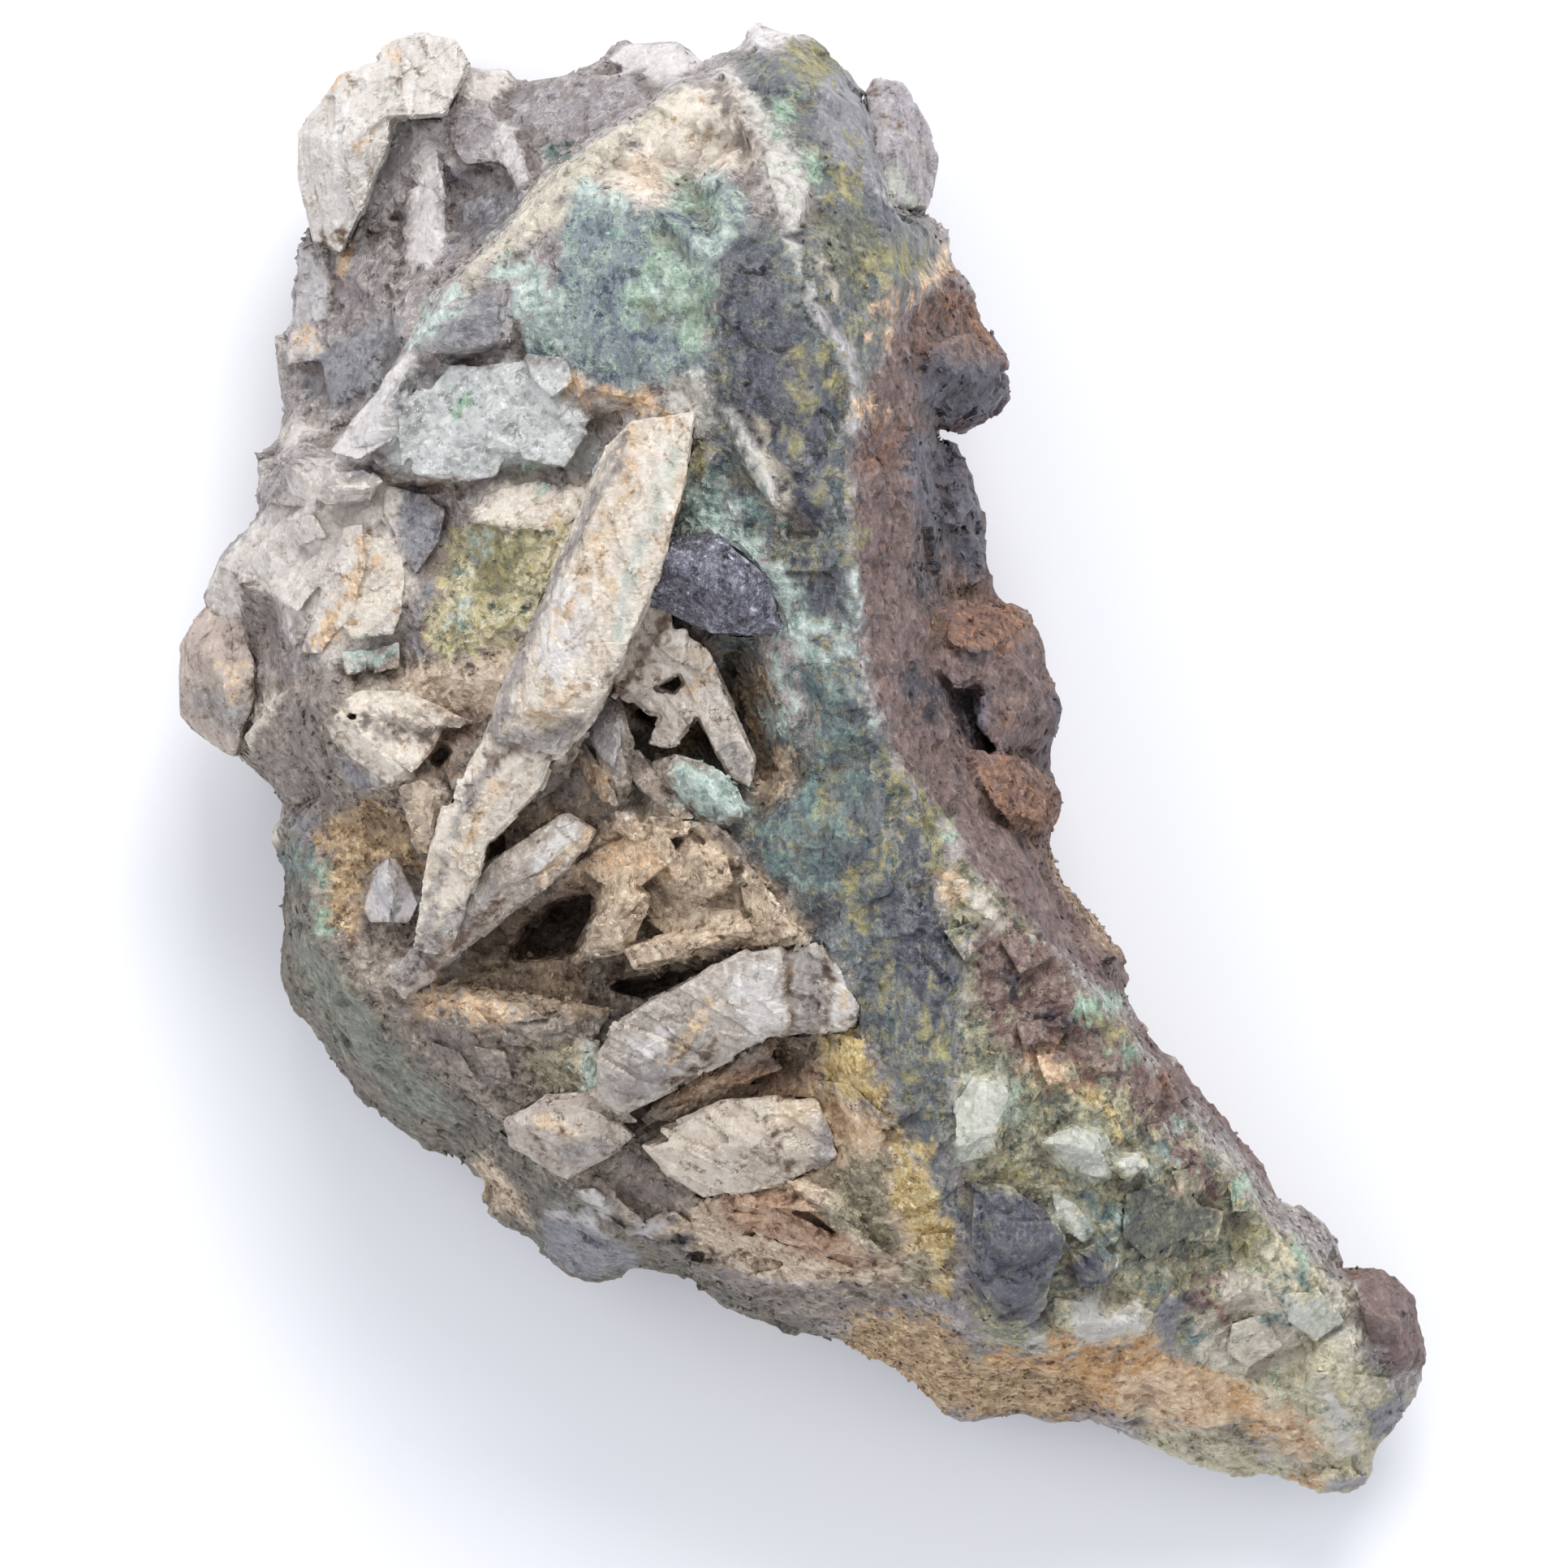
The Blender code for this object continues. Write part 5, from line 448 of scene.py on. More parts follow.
# For each of them: its dark, middle and light colours, its pale and dark specks, how fibrous, rough and
# metallic it is, its bumps, how ragged its border is, and how deep its big chips, small chips and grains are
MINERALS = {
    "brown_ground": ((104, 92, 82), (140, 127, 116), (184, 170, 154), (214, 200, 180), (78, 66, 58),
                     0.2, 0.6, 0.0, 0.9, 0.6, (0.2, 0.26, 0.16)),
    "low_face": ((88, 86, 80), (118, 112, 102), (152, 143, 130), (172, 146, 108), (66, 68, 64),
                 0.2, 0.7, 0.0, 1.0, 0.6, (0.2, 0.26, 0.2)),
    "arm_mix": ((92, 96, 86), (142, 140, 116), (194, 186, 156), (204, 176, 108), (62, 74, 72),
                0.1, 0.5, 0.0, 1.0, 0.8, (0.16, 0.28, 0.2)),
    "field": ((86, 94, 106), (126, 136, 138), (168, 178, 166), (178, 200, 172), (66, 76, 92),
              0.6, 0.45, 0.1, 0.9, 0.7, (0.1, 0.2, 0.2)),
    "vein": ((74, 78, 86), (102, 106, 108), (140, 144, 138), (170, 156, 98), (58, 80, 83),
             0.7, 0.4, 0.15, 1.0, 0.6, (0.24, 0.22, 0.16)),
    "dark_vein": ((66, 67, 78), (88, 89, 98), (124, 124, 130), (140, 136, 108), (54, 56, 66),
                  0.5, 0.35, 0.25, 1.0, 0.6, (0.28, 0.22, 0.12)),
    "black_green": ((70, 74, 70), (100, 102, 92), (140, 138, 122), (168, 158, 104), (58, 68, 66),
                    0.3, 0.5, 0.1, 1.0, 0.9, (0.16, 0.26, 0.16)),
    "iron": ((84, 68, 65), (112, 94, 90), (140, 122, 117), (156, 110, 84), (62, 52, 54),
             0.2, 0.65, 0.0, 0.9, 0.6, (0.18, 0.24, 0.2)),
    "red_brown": ((92, 66, 62), (128, 102, 95), (164, 146, 134), (166, 168, 138), (66, 60, 60),
                  0.1, 0.6, 0.0, 1.0, 1.0, (0.2, 0.28, 0.2)),
    "arm_cream": ((152, 144, 118), (192, 184, 158), (218, 211, 190), (228, 204, 142), (118, 136, 116),
                  0.2, 0.5, 0.0, 0.9, 0.9, (0.16, 0.26, 0.18)),
    "arm_orange": ((156, 112, 66), (198, 154, 104), (224, 192, 148), (236, 214, 170), (124, 84, 54),
                   0.1, 0.6, 0.0, 0.9, 1.0, (0.14, 0.24, 0.18)),
    "green_low": ((94, 99, 89), (121, 123, 110), (152, 152, 137), (148, 166, 143), (74, 80, 74),
                  0.2, 0.7, 0.0, 0.9, 0.9, None),
    "mauve": ((120, 112, 114), (142, 134, 135), (168, 162, 162), (202, 197, 195), (98, 90, 94),
              0.6, 0.5, 0.0, 0.8, 0.6, (0.2, 0.22, 0.1)),
    "ash": ((156, 148, 145), (174, 169, 169), (190, 186, 185), (210, 206, 204), (128, 118, 114),
            0.3, 0.35, 0.0, 0.5, 0.5, (0.12, 0.14, 0.06)),
    "slate": ((106, 105, 112), (130, 128, 132), (158, 154, 152), (176, 172, 166), (88, 88, 98),
              0.2, 0.4, 0.1, 0.8, 0.6, (0.14, 0.18, 0.12)),
    "quartz": ((152, 153, 150), (182, 183, 179), (203, 203, 200), (220, 220, 217), (132, 138, 133),
               0.0, 0.22, 0.0, 0.4, 0.5, (0.2, 0.16, 0.03)),
    "rose": ((166, 156, 149), (192, 183, 175), (210, 203, 196), (224, 216, 206), (148, 132, 118),
             0.1, 0.35, 0.0, 0.5, 0.5, (0.18, 0.16, 0.05)),
    "white": ((174, 168, 164), (195, 189, 185), (208, 203, 200), (224, 221, 218), (158, 146, 135),
              0.4, 0.35, 0.0, 0.5, 0.5, (0.14, 0.14, 0.06)),
    "shell": ((160, 156, 148), (188, 183, 175), (203, 199, 191), (222, 218, 210), (138, 142, 132),
              0.2, 0.4, 0.0, 0.6, 0.7, (0.1, 0.14, 0.1)),
    "cream": ((174, 162, 150), (205, 194, 179), (217, 209, 195), (232, 224, 208), (164, 138, 106),
              0.1, 0.45, 0.0, 0.6, 0.7, (0.12, 0.18, 0.1)),
    "flesh": ((160, 140, 119), (196, 176, 154), (216, 201, 182), (228, 212, 188), (140, 110, 86),
              0.1, 0.5, 0.0, 0.8, 0.7, (0.16, 0.2, 0.14)),
    "buff": ((158, 148, 132), (190, 180, 163), (213, 205, 189), (226, 220, 204), (136, 140, 118),
             0.2, 0.6, 0.0, 0.8, 0.9, (0.12, 0.18, 0.16)),
    "tan": ((138, 114, 92), (190, 168, 143), (222, 204, 179), (236, 222, 200), (96, 74, 58),
            0.0, 0.5, 0.0, 0.8, 0.6, (0.24, 0.28, 0.12)),
    "ochre": ((132, 106, 80), (180, 150, 115), (216, 190, 152), (234, 212, 168), (100, 80, 64),
              0.0, 0.75, 0.0, 1.0, 0.9, (0.12, 0.24, 0.24)),
    "peach": ((166, 134, 104), (206, 174, 140), (228, 205, 174), (238, 222, 194), (140, 106, 76),
              0.0, 0.6, 0.0, 0.8, 1.1, None),
    "leaf": ((110, 80, 60), (172, 138, 112), (206, 180, 154), (220, 198, 174), (80, 56, 44),
             0.3, 0.6, 0.0, 0.8, 0.7, (0.16, 0.24, 0.12)),
    "lichen": ((162, 134, 88), (208, 182, 126), (234, 216, 170), (248, 234, 184), (130, 100, 60),
               0.0, 0.75, 0.0, 1.0, 0.9, (0.12, 0.22, 0.24)),
    "veined": ((104, 96, 78), (152, 142, 120), (194, 183, 160), (216, 202, 160), (82, 76, 62),
               0.1, 0.7, 0.0, 1.0, 0.8, (0.14, 0.24, 0.2)),
    "yellow": ((148, 138, 106), (188, 177, 142), (220, 210, 178), (210, 190, 92), (112, 122, 112),
               0.0, 0.75, 0.0, 1.0, 0.9, (0.14, 0.26, 0.26)),
    "moss": ((112, 111, 88), (142, 136, 100), (176, 168, 126), (204, 182, 92), (84, 90, 80),
             0.3, 0.7, 0.0, 0.9, 1.5, None),
    "green": ((114, 134, 116), (146, 168, 146), (184, 201, 182), (204, 218, 200), (82, 104, 98),
              0.6, 0.6, 0.0, 0.9, 1.1, (0.08, 0.18, 0.18)),
    "mint": ((138, 156, 147), (176, 190, 181), (208, 217, 209), (230, 236, 228), (108, 138, 126),
             0.2, 0.6, 0.0, 0.9, 1.1, (0.1, 0.24, 0.2)),
    "arm_quartz": ((154, 158, 144), (178, 179, 166), (196, 195, 183), (212, 212, 202), (134, 144, 128),
                   0.0, 0.25, 0.0, 0.4, 0.5, (0.16, 0.16, 0.04)),
    "teal": ((72, 85, 87), (97, 113, 111), (138, 156, 146), (154, 188, 168), (60, 72, 79),
             0.4, 0.5, 0.05, 0.9, 1.5, None),
    "gunmetal": ((70, 67, 75), (92, 88, 96), (118, 113, 120), (134, 124, 124), (50, 47, 55),
                 0.2, 0.45, 0.1, 1.0, 0.6, (0.24, 0.3, 0.18)),
    "soot": ((38, 35, 39), (62, 58, 63), (94, 90, 95), (106, 98, 100), (28, 26, 30),
             0.2, 0.4, 0.1, 1.0, 1.0, (0.26, 0.36, 0.2)),
    "rust": ((94, 68, 59), (128, 97, 82), (164, 130, 107), (186, 134, 92), (70, 52, 47),
             0.1, 0.8, 0.0, 1.0, 1.1, (0.2, 0.28, 0.2)),
    "stain": ((98, 88, 83), (134, 122, 115), (165, 153, 144), (180, 168, 156), (66, 57, 56),
              0.3, 0.6, 0.0, 0.9, 1.1, (0.16, 0.22, 0.18)),
    "mould": ((112, 94, 77), (152, 130, 110), (190, 169, 142), (202, 180, 150), (80, 62, 48),
              0.0, 0.8, 0.0, 1.0, 0.8, (0.16, 0.28, 0.24)),
    "cave": ((84, 68, 58), (122, 102, 86), (160, 138, 118), (166, 136, 104), (58, 46, 42),
             0.0, 0.8, 0.0, 0.9, 0.8, (0.16, 0.24, 0.2)),
}
# the plain ground between them
PLAIN = ((108, 100, 99), (146, 137, 134), (192, 184, 178), (216, 208, 200), (78, 70, 70),
         0.5, 0.5, 0.0, 1.0, 0.5, (0.24, 0.28, 0.16))
# patches on the side that faces down: how often each mineral shows there
UNDERSIDE = {"quartz": 0.10, "iron": 0.08, "dark_vein": 0.12, "stain": 0.16, "ochre": 0.04}


def plan_of(mesh):
    """Every vertex of a mesh as (right, front, up) in millimetres."""
    places = np.empty(len(mesh.vertices) * 3)
    mesh.vertices.foreach_get("co", places)
    places = places.reshape(-1, 3) / MM
    return places * (1, -1, 1) + (*PLAN_MIDDLE, 0)


def normals_of(mesh):
    normals = np.empty(len(mesh.vertices) * 3)
    mesh.vertex_normals.foreach_get("vector", normals)
    return normals.reshape(-1, 3)


def depth_inside(points, corners):
    """How far inside a closed line each point of the plan is, in millimetres, and negative outside."""
    nearest = np.full(len(points), np.inf)
    inside = np.zeros(len(points), bool)
    for (x1, y1), (x2, y2) in zip(corners, corners[1:] + corners[:1]):
        run = np.array((x2 - x1, y2 - y1))
        offset = points - (x1, y1)
        share = np.clip(offset @ run / (run @ run), 0, 1)
        nearest = np.minimum(nearest, np.linalg.norm(offset - share[:, None] * run, axis=1))
        crosses = (y1 > points[:, 1]) != (y2 > points[:, 1])
        with np.errstate(divide="ignore", invalid="ignore"):
            crossing = x1 + (points[:, 1] - y1) / (y2 - y1) * (x2 - x1)
        inside ^= crosses & (points[:, 0] < crossing)
    return np.where(inside, nearest, -nearest)


def depth_in_streak(points, stops):
    """The same for a streak, given by its middle line and half its width there."""
    deepest = np.full(len(points), -np.inf)
    for (x1, y1, width1), (x2, y2, width2) in zip(stops, stops[1:] or stops):
        run = np.array((x2 - x1, y2 - y1))
        offset = points - (x1, y1)
        share = np.clip(offset @ run / max(run @ run, 1e-9), 0, 1)
        distance = np.linalg.norm(offset - share[:, None] * run, axis=1)
        deepest = np.maximum(deepest, width1 + share * (width2 - width1) - distance)
    return deepest


def shares_of(areas_by_name, places, fade=0.9, wander=0.5):
    """For each name, how much of it there is at each place: 0.5 on its border."""
    slow = np.array([noise.noise_vector(Vector(p) / 3.0) for p in places])
    quick = np.array([noise.noise_vector(Vector(p) / 0.9) for p in places])
    points = places[:, :2] + wander * slow[:, :2] + wander * 0.6 * quick[:, :2]
    shares = {}
    for name, areas in areas_by_name.items():
        share = np.zeros(len(points))
        for shape in areas:
            corners = np.array(shape)
            low, high = corners[:, :2].min(0) - 2, corners[:, :2].max(0) + 2
            near = np.flatnonzero(((points > low) & (points < high)).all(1))
            if len(near):
                depth = (depth_in_streak if corners.shape[1] == 3 else depth_inside)(points[near], shape)
                share[near] = np.maximum(share[near], np.clip(0.5 + depth / fade / 2, 0, 1))
        shares[name] = share
    return shares


def smooth(values, low, high):
    share = np.clip((values - low) / (high - low), 0, 1)
    return share * share * (3 - 2 * share)


def ore_shares(mesh):
    """The minerals of each vertex. The side that faces down is broken rock with none of the crusts."""
    places = plan_of(mesh)
    shares = shares_of(MINERAL_AREAS, places)
    lit = np.clip(normals_of(mesh)[:, 2] * 4 + 1.6, 0, 1)
    shares = {mineral: share * lit for mineral, share in shares.items()}
    for number, (mineral, often) in enumerate(UNDERSIDE.items()):
        patches = np.array([noise.noise(Vector(p) / 5.0 + Vector((0, 0, 40.0 * number))) for p in places])
        shares[mineral] = np.maximum(shares[mineral], (1 - lit) * smooth(patches, 0.36 - often, 0.56 - often))
    return shares


def linear(red, green, blue):
    """A colour given as it looks on a screen, 0 to 255, as the shader wants it."""
    shares = [c / 255 for c in (red, green, blue)]
    return (*[s / 12.92 if s <= 0.04045 else ((s + 0.055) / 1.055) ** 2.4 for s in shares], 1)


def row_of_numbers(row):
    tones, numbers = row[:5], row[5:9]
    return np.array([linear(*tone)[:3] for tone in tones]), np.array(numbers)


def painted(mesh, shares, minerals, ground):
    """Keeps each vertex's own five colours and its fibre, roughness, metal and bump for the material."""
    ragged = np.array([noise.noise(Vector(p) / 0.9) + noise.noise(Vector(p) / 0.4) for p in plan_of(mesh)])
    ground_tones, ground_numbers = row_of_numbers(ground)
    tones = np.tile(ground_tones, (len(ragged), 1, 1))
    numbers = np.tile(ground_numbers, (len(ragged), 1))
    for mineral, row in minerals.items():
        if mineral in shares:
            own_tones, own_numbers = row_of_numbers(row)
            over = smooth(shares[mineral] + 0.5 * row[9] * ragged, 0.3, 0.7) * (shares[mineral] > 0)
            tones = tones * (1 - over)[:, None, None] + own_tones * over[:, None, None]
            numbers = numbers * (1 - over)[:, None] + own_numbers * over[:, None]
    for column, name in enumerate(("dark", "middle", "light", "pale_specks", "dark_specks")):
        rows = np.ones((len(tones), 4), np.float32)
        rows[:, :3] = tones[:, column]
        attribute = mesh.attributes.new(name, "FLOAT_COLOR", "POINT")
        attribute.data.foreach_set("color", rows.ravel())
    for column, name in enumerate(("fibre", "roughness", "metal", "bump")):
        keep_number(mesh, name, numbers[:, column])


def chips(places, size):
    """The height of flat chips of a size, each tilted its own way, at each place."""
    heights = []
    for place in places / size:
        point = Vector(place)
        centre = noise.voronoi(point)[1][0]
        heights.append(noise.noise_vector(centre * 3.7).dot(point - centre))
    return np.array(heights) * size


def steps(places, size):
    """Flat-topped steps of a size: each patch of the surface lies at a height of its own."""
    return np.array([noise.noise(noise.voronoi(Vector(p))[1][0] * 3.1) for p in places / size]) * size


def along(places, degrees, ratio):
    """Places turned in the plan and squeezed along one way, so that chips become splinters along it."""
    turn = math.radians(degrees)
    across = places[:, 0] * math.cos(turn) - places[:, 1] * math.sin(turn)
    length = places[:, 0] * math.sin(turn) + places[:, 1] * math.cos(turn)
    return np.stack([across, length / ratio, places[:, 2]], axis=1)


def merged_copy(node, name):
    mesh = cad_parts[node].data.copy()
    bm = bmesh.new()
    bm.from_mesh(mesh)
    bmesh.ops.remove_doubles(bm, verts=bm.verts, dist=1e-7)
    bm.to_mesh(mesh)
    bm.free()
    piece = bpy.data.objects.new(name, mesh)
    bpy.context.scene.collection.objects.link(piece)
    return piece


def applied(piece):
    """Makes a piece's modifiers part of its mesh."""
    graph = bpy.context.evaluated_depsgraph_get()
    mesh = bpy.data.meshes.new_from_object(piece.evaluated_get(graph))
    piece.modifiers.clear()
    piece.data = mesh
    return piece


def voxelled(piece, size):
    modifier = piece.modifiers.new("voxels", "REMESH")
    modifier.mode = "VOXEL"
    modifier.voxel_size = size * MM
    return applied(piece)


def thinned(piece, triangles):
    """Removes the triangles that matter least until this many are left, staying in the solid's box."""
    present = sum(len(p.vertices) - 2 for p in piece.data.polygons)
    if present > triangles:
        modifier = piece.modifiers.new("thinning", "DECIMATE")
        modifier.ratio = triangles / present
        modifier.use_collapse_triangulate = True
        applied(piece)
        pushed_out(piece, np.zeros(len(piece.data.vertices)))
    return piece


def pushed_out(piece, heights):
    """Moves each vertex along its normal by its height in millimetres, staying in the solid's box."""
    mesh = piece.data
    places = np.empty(len(mesh.vertices) * 3)
    mesh.vertices.foreach_get("co", places)
    places = places.reshape(-1, 3) + normals_of(mesh) * heights[:, None] * MM
    places = np.clip(places, cad_box[0], cad_box[1])
    mesh.vertices.foreach_set("co", places.ravel())
    mesh.update()


def hollowness(mesh, rounds):
    """How far each vertex is below its surroundings, in millimetres. More rounds look further round it."""
    count = len(mesh.vertices)
    ends = np.empty(len(mesh.edges) * 2, np.int32)
    mesh.edges.foreach_get("vertices", ends)
    first, second = ends.reshape(-1, 2).T
    degree = np.bincount(first, minlength=count) + np.bincount(second, minlength=count)
    places = np.empty(count * 3)
    mesh.vertices.foreach_get("co", places)
    places = places.reshape(-1, 3)
    smooth = places.copy()
    for _ in range(rounds):
        total = np.stack([
            np.bincount(first, smooth[second, axis], count) + np.bincount(second, smooth[first, axis], count)
            for axis in range(3)
        ], axis=1)
        smooth = total / np.maximum(degree, 1)[:, None]
    return ((smooth - places) * normals_of(mesh)).sum(1) / MM


def keep_number(mesh, name, values):
    attribute = mesh.attributes.new(name, "FLOAT", "POINT")
    attribute.data.foreach_set("value", values.astype(np.float32))


def flat_faced(mesh):
    mesh.polygons.foreach_set("use_smooth", [False] * len(mesh.polygons))


def chipped(piece, depth=1.0, degrees=VEIN_LEAN, splinters=0.0):
    """Chips, splits and grains the surface, each mineral by its own depths."""
    places = plan_of(piece.data)
    shares = ore_shares(piece.data)
    depths = np.tile(PLAIN[-1], (len(places), 1))
    for mineral, row in MINERALS.items():
        if row[-1] and mineral in shares:
            share = shares[mineral][:, None]
            depths = depths * (1 - share) + np.array(row[-1]) * share
    fibrous = np.clip(shares["vein"] + shares["dark_vein"] + 0.6 * shares["field"], 0, 1)
    heights = depths[:, 0] * chips(places, BIG_CHIP) + depths[:, 2] * chips(places, GRAIN)
    heights += depths[:, 1] * (1 - fibrous) * (chips(places, SMALL_CHIP) + 0.5 * steps(places, SMALL_CHIP))
    heights += np.maximum(fibrous * 0.16, splinters) * chips(along(places, degrees, FIBRE_LENGTH), 0.8)
    above_rest = np.clip((places[:, 2] - 0.4) / 1.5, 0, 1)
    pushed_out(piece, heights * above_rest * depth)


def finished_ore(piece):
    """Keeps each vertex's minerals and hollowness for the ore's look."""
    painted(piece.data, ore_shares(piece.data), MINERALS, PLAIN)
    keep_number(piece.data, "near_hollow", np.clip(hollowness(piece.data, 6) * 3.0, -1, 1))
    keep_number(piece.data, "wide_hollow", np.clip(hollowness(piece.data, 50) * 0.9, -1, 1))
    flat_faced(piece.data)


def surface_of(piece):
    """A way to ask how high a piece's surface is at a place of the plan."""
    corners = [v.co.copy() for v in piece.data.vertices]
    tree = BVHTree.FromPolygons(corners, [tuple(p.vertices) for p in piece.data.polygons])

    def height(right, front):
        start = Vector(((right - PLAN_MIDDLE[0]) * MM, (PLAN_MIDDLE[1] - front) * MM, 1.0))
        found = tree.ray_cast(start, Vector((0, 0, -1)))[0]
        return None if found is None else found.z / MM

    return height


def slab(bm, height, rise, tilt_right, tilt_front, corners, depth=2.6, spread=1.12):
    """One flat-topped form on the surface: its top follows the surface's own slope under it."""
    found = [(r, f, height(r, f)) for r, f in corners]
    known = np.array([place for place in found if place[2] is not None])
    middle = np.mean(corners, axis=0)
    table = np.c_[known[:, :2] - middle, np.ones(len(known))]
    slope_right, slope_front, level = np.linalg.lstsq(table, known[:, 2], rcond=None)[0]
    slope_right, slope_front = np.clip((slope_right, slope_front), -1.2, 1.2) + (tilt_right, tilt_front)
    made = []
    for share, up in ((1.0, rise), (spread, -depth)):
        for right, front in middle + (np.array(corners) - middle) * share:
            top = level + slope_right * (right - middle[0]) + slope_front * (front - middle[1]) + up
            place = ((right - PLAN_MIDDLE[0]) * MM, (PLAN_MIDDLE[1] - front) * MM, max(top, 2.0) * MM)
            made.append(bm.verts.new(place))
    hull = bmesh.ops.convex_hull(bm, input=made)
    spare = {v for v in hull["geom_interior"] + hull["geom_unused"] if isinstance(v, bmesh.types.BMVert)}
    bmesh.ops.delete(bm, geom=list(spare & set(made)), context="VERTS")


ore = merged_copy("ore_matrix", "ore")
ore_height = surface_of(ore)
bm = bmesh.new()
bm.from_mesh(ore.data)
for forms in GROWN_FORMS.values():
    for form in forms:
        slab(bm, ore_height, *form)
bm.to_mesh(ore.data)
bm.free()
voxelled(ore, ORE_VOXEL)
chipped(ore)
thinned(ore, ORE_TRIANGLES)
finished_ore(ore)

# How a mineral looks: it wanders between its own three colours, in clouds and in grains that each
# tilt their own way, with pale and dark specks, dirt and painted shade in its hollows and paler worn edges.


def add(tree, kind, inputs=None, **settings):
    made = tree.nodes.new(kind)
    for name, value in settings.items():
        setattr(made, name, value)
    for key, value in (inputs or {}).items():
        if isinstance(value, bpy.types.NodeSocket):
            tree.links.new(value, made.inputs[key])
        else:
            made.inputs[key].default_value = value
    return made


def mixed_colour(tree, share, under, over, blend="MIX"):
    made = add(tree, "ShaderNodeMix", {0: share, 6: under, 7: over}, data_type="RGBA", blend_type=blend)
    return made.outputs[2]


def mixed_number(tree, share, under, over):
    return add(tree, "ShaderNodeMix", {0: share, 2: under, 3: over}, data_type="FLOAT").outputs[0]


def maths(tree, operation, *values):
    return add(tree, "ShaderNodeMath", dict(enumerate(values)), operation=operation).outputs[0]


def stepped(tree, value, low, high):
    """0 below low, 1 above high and smooth between."""
    made = add(tree, "ShaderNodeMapRange", {"Value": value, "From Min": low, "From Max": high})
    made.interpolation_type = "SMOOTHSTEP"
    return made.outputs["Result"]


def clouds(tree, place, size, detail=4.0, roughness=0.6):
    """A cloudy value round 0.5 whose patches are about this many millimetres across."""
    return add(tree, "ShaderNodeTexNoise", {
        "Vector": place, "Scale": 1 / (size * MM), "Detail": detail, "Roughness": roughness,
    }).outputs["Fac"]


def crystals(tree, place, size):
    """Grains of a size: each one's own shade, and the height of its own tilted face in metres."""
    cells = add(tree, "ShaderNodeTexVoronoi", {"Vector": place, "Scale": 1 / (size * MM)})
    tilt = add(tree, "ShaderNodeVectorMath", {0: cells.outputs["Color"], 1: (0.5, 0.5, 0.5)}, operation="SUBTRACT")
    offset = add(tree, "ShaderNodeVectorMath", {0: place, 1: cells.outputs["Position"]}, operation="SUBTRACT")
    rise = add(tree, "ShaderNodeVectorMath", {0: tilt.outputs[0], 1: offset.outputs[0]}, operation="DOT_PRODUCT")
    shade = add(tree, "ShaderNodeSeparateColor", {0: cells.outputs["Color"]}).outputs[0]
    return shade, rise.outputs["Value"]


def blended(tree, *parts):
    """The sum of values, each times its own weight."""
    total = 0.0
    for value, weight in parts:
        total = maths(tree, "MULTIPLY_ADD", value, weight, total)
    return total


def drawn_out(tree, place, degrees, ratio):
    """The place, turned in the plan and squeezed along one way, so that patterns become streaks along it."""
    return add(tree, "ShaderNodeMapping", {
        "Vector": place, "Rotation": (0, 0, math.radians(degrees)), "Scale": (1, 1 / ratio, 1),
    }).outputs["Vector"]


def own_number(tree, name):
    return add(tree, "ShaderNodeAttribute", attribute_name=name).outputs["Fac"]


def own_colour(tree, name):
    return add(tree, "ShaderNodeAttribute", attribute_name=name).outputs["Color"]


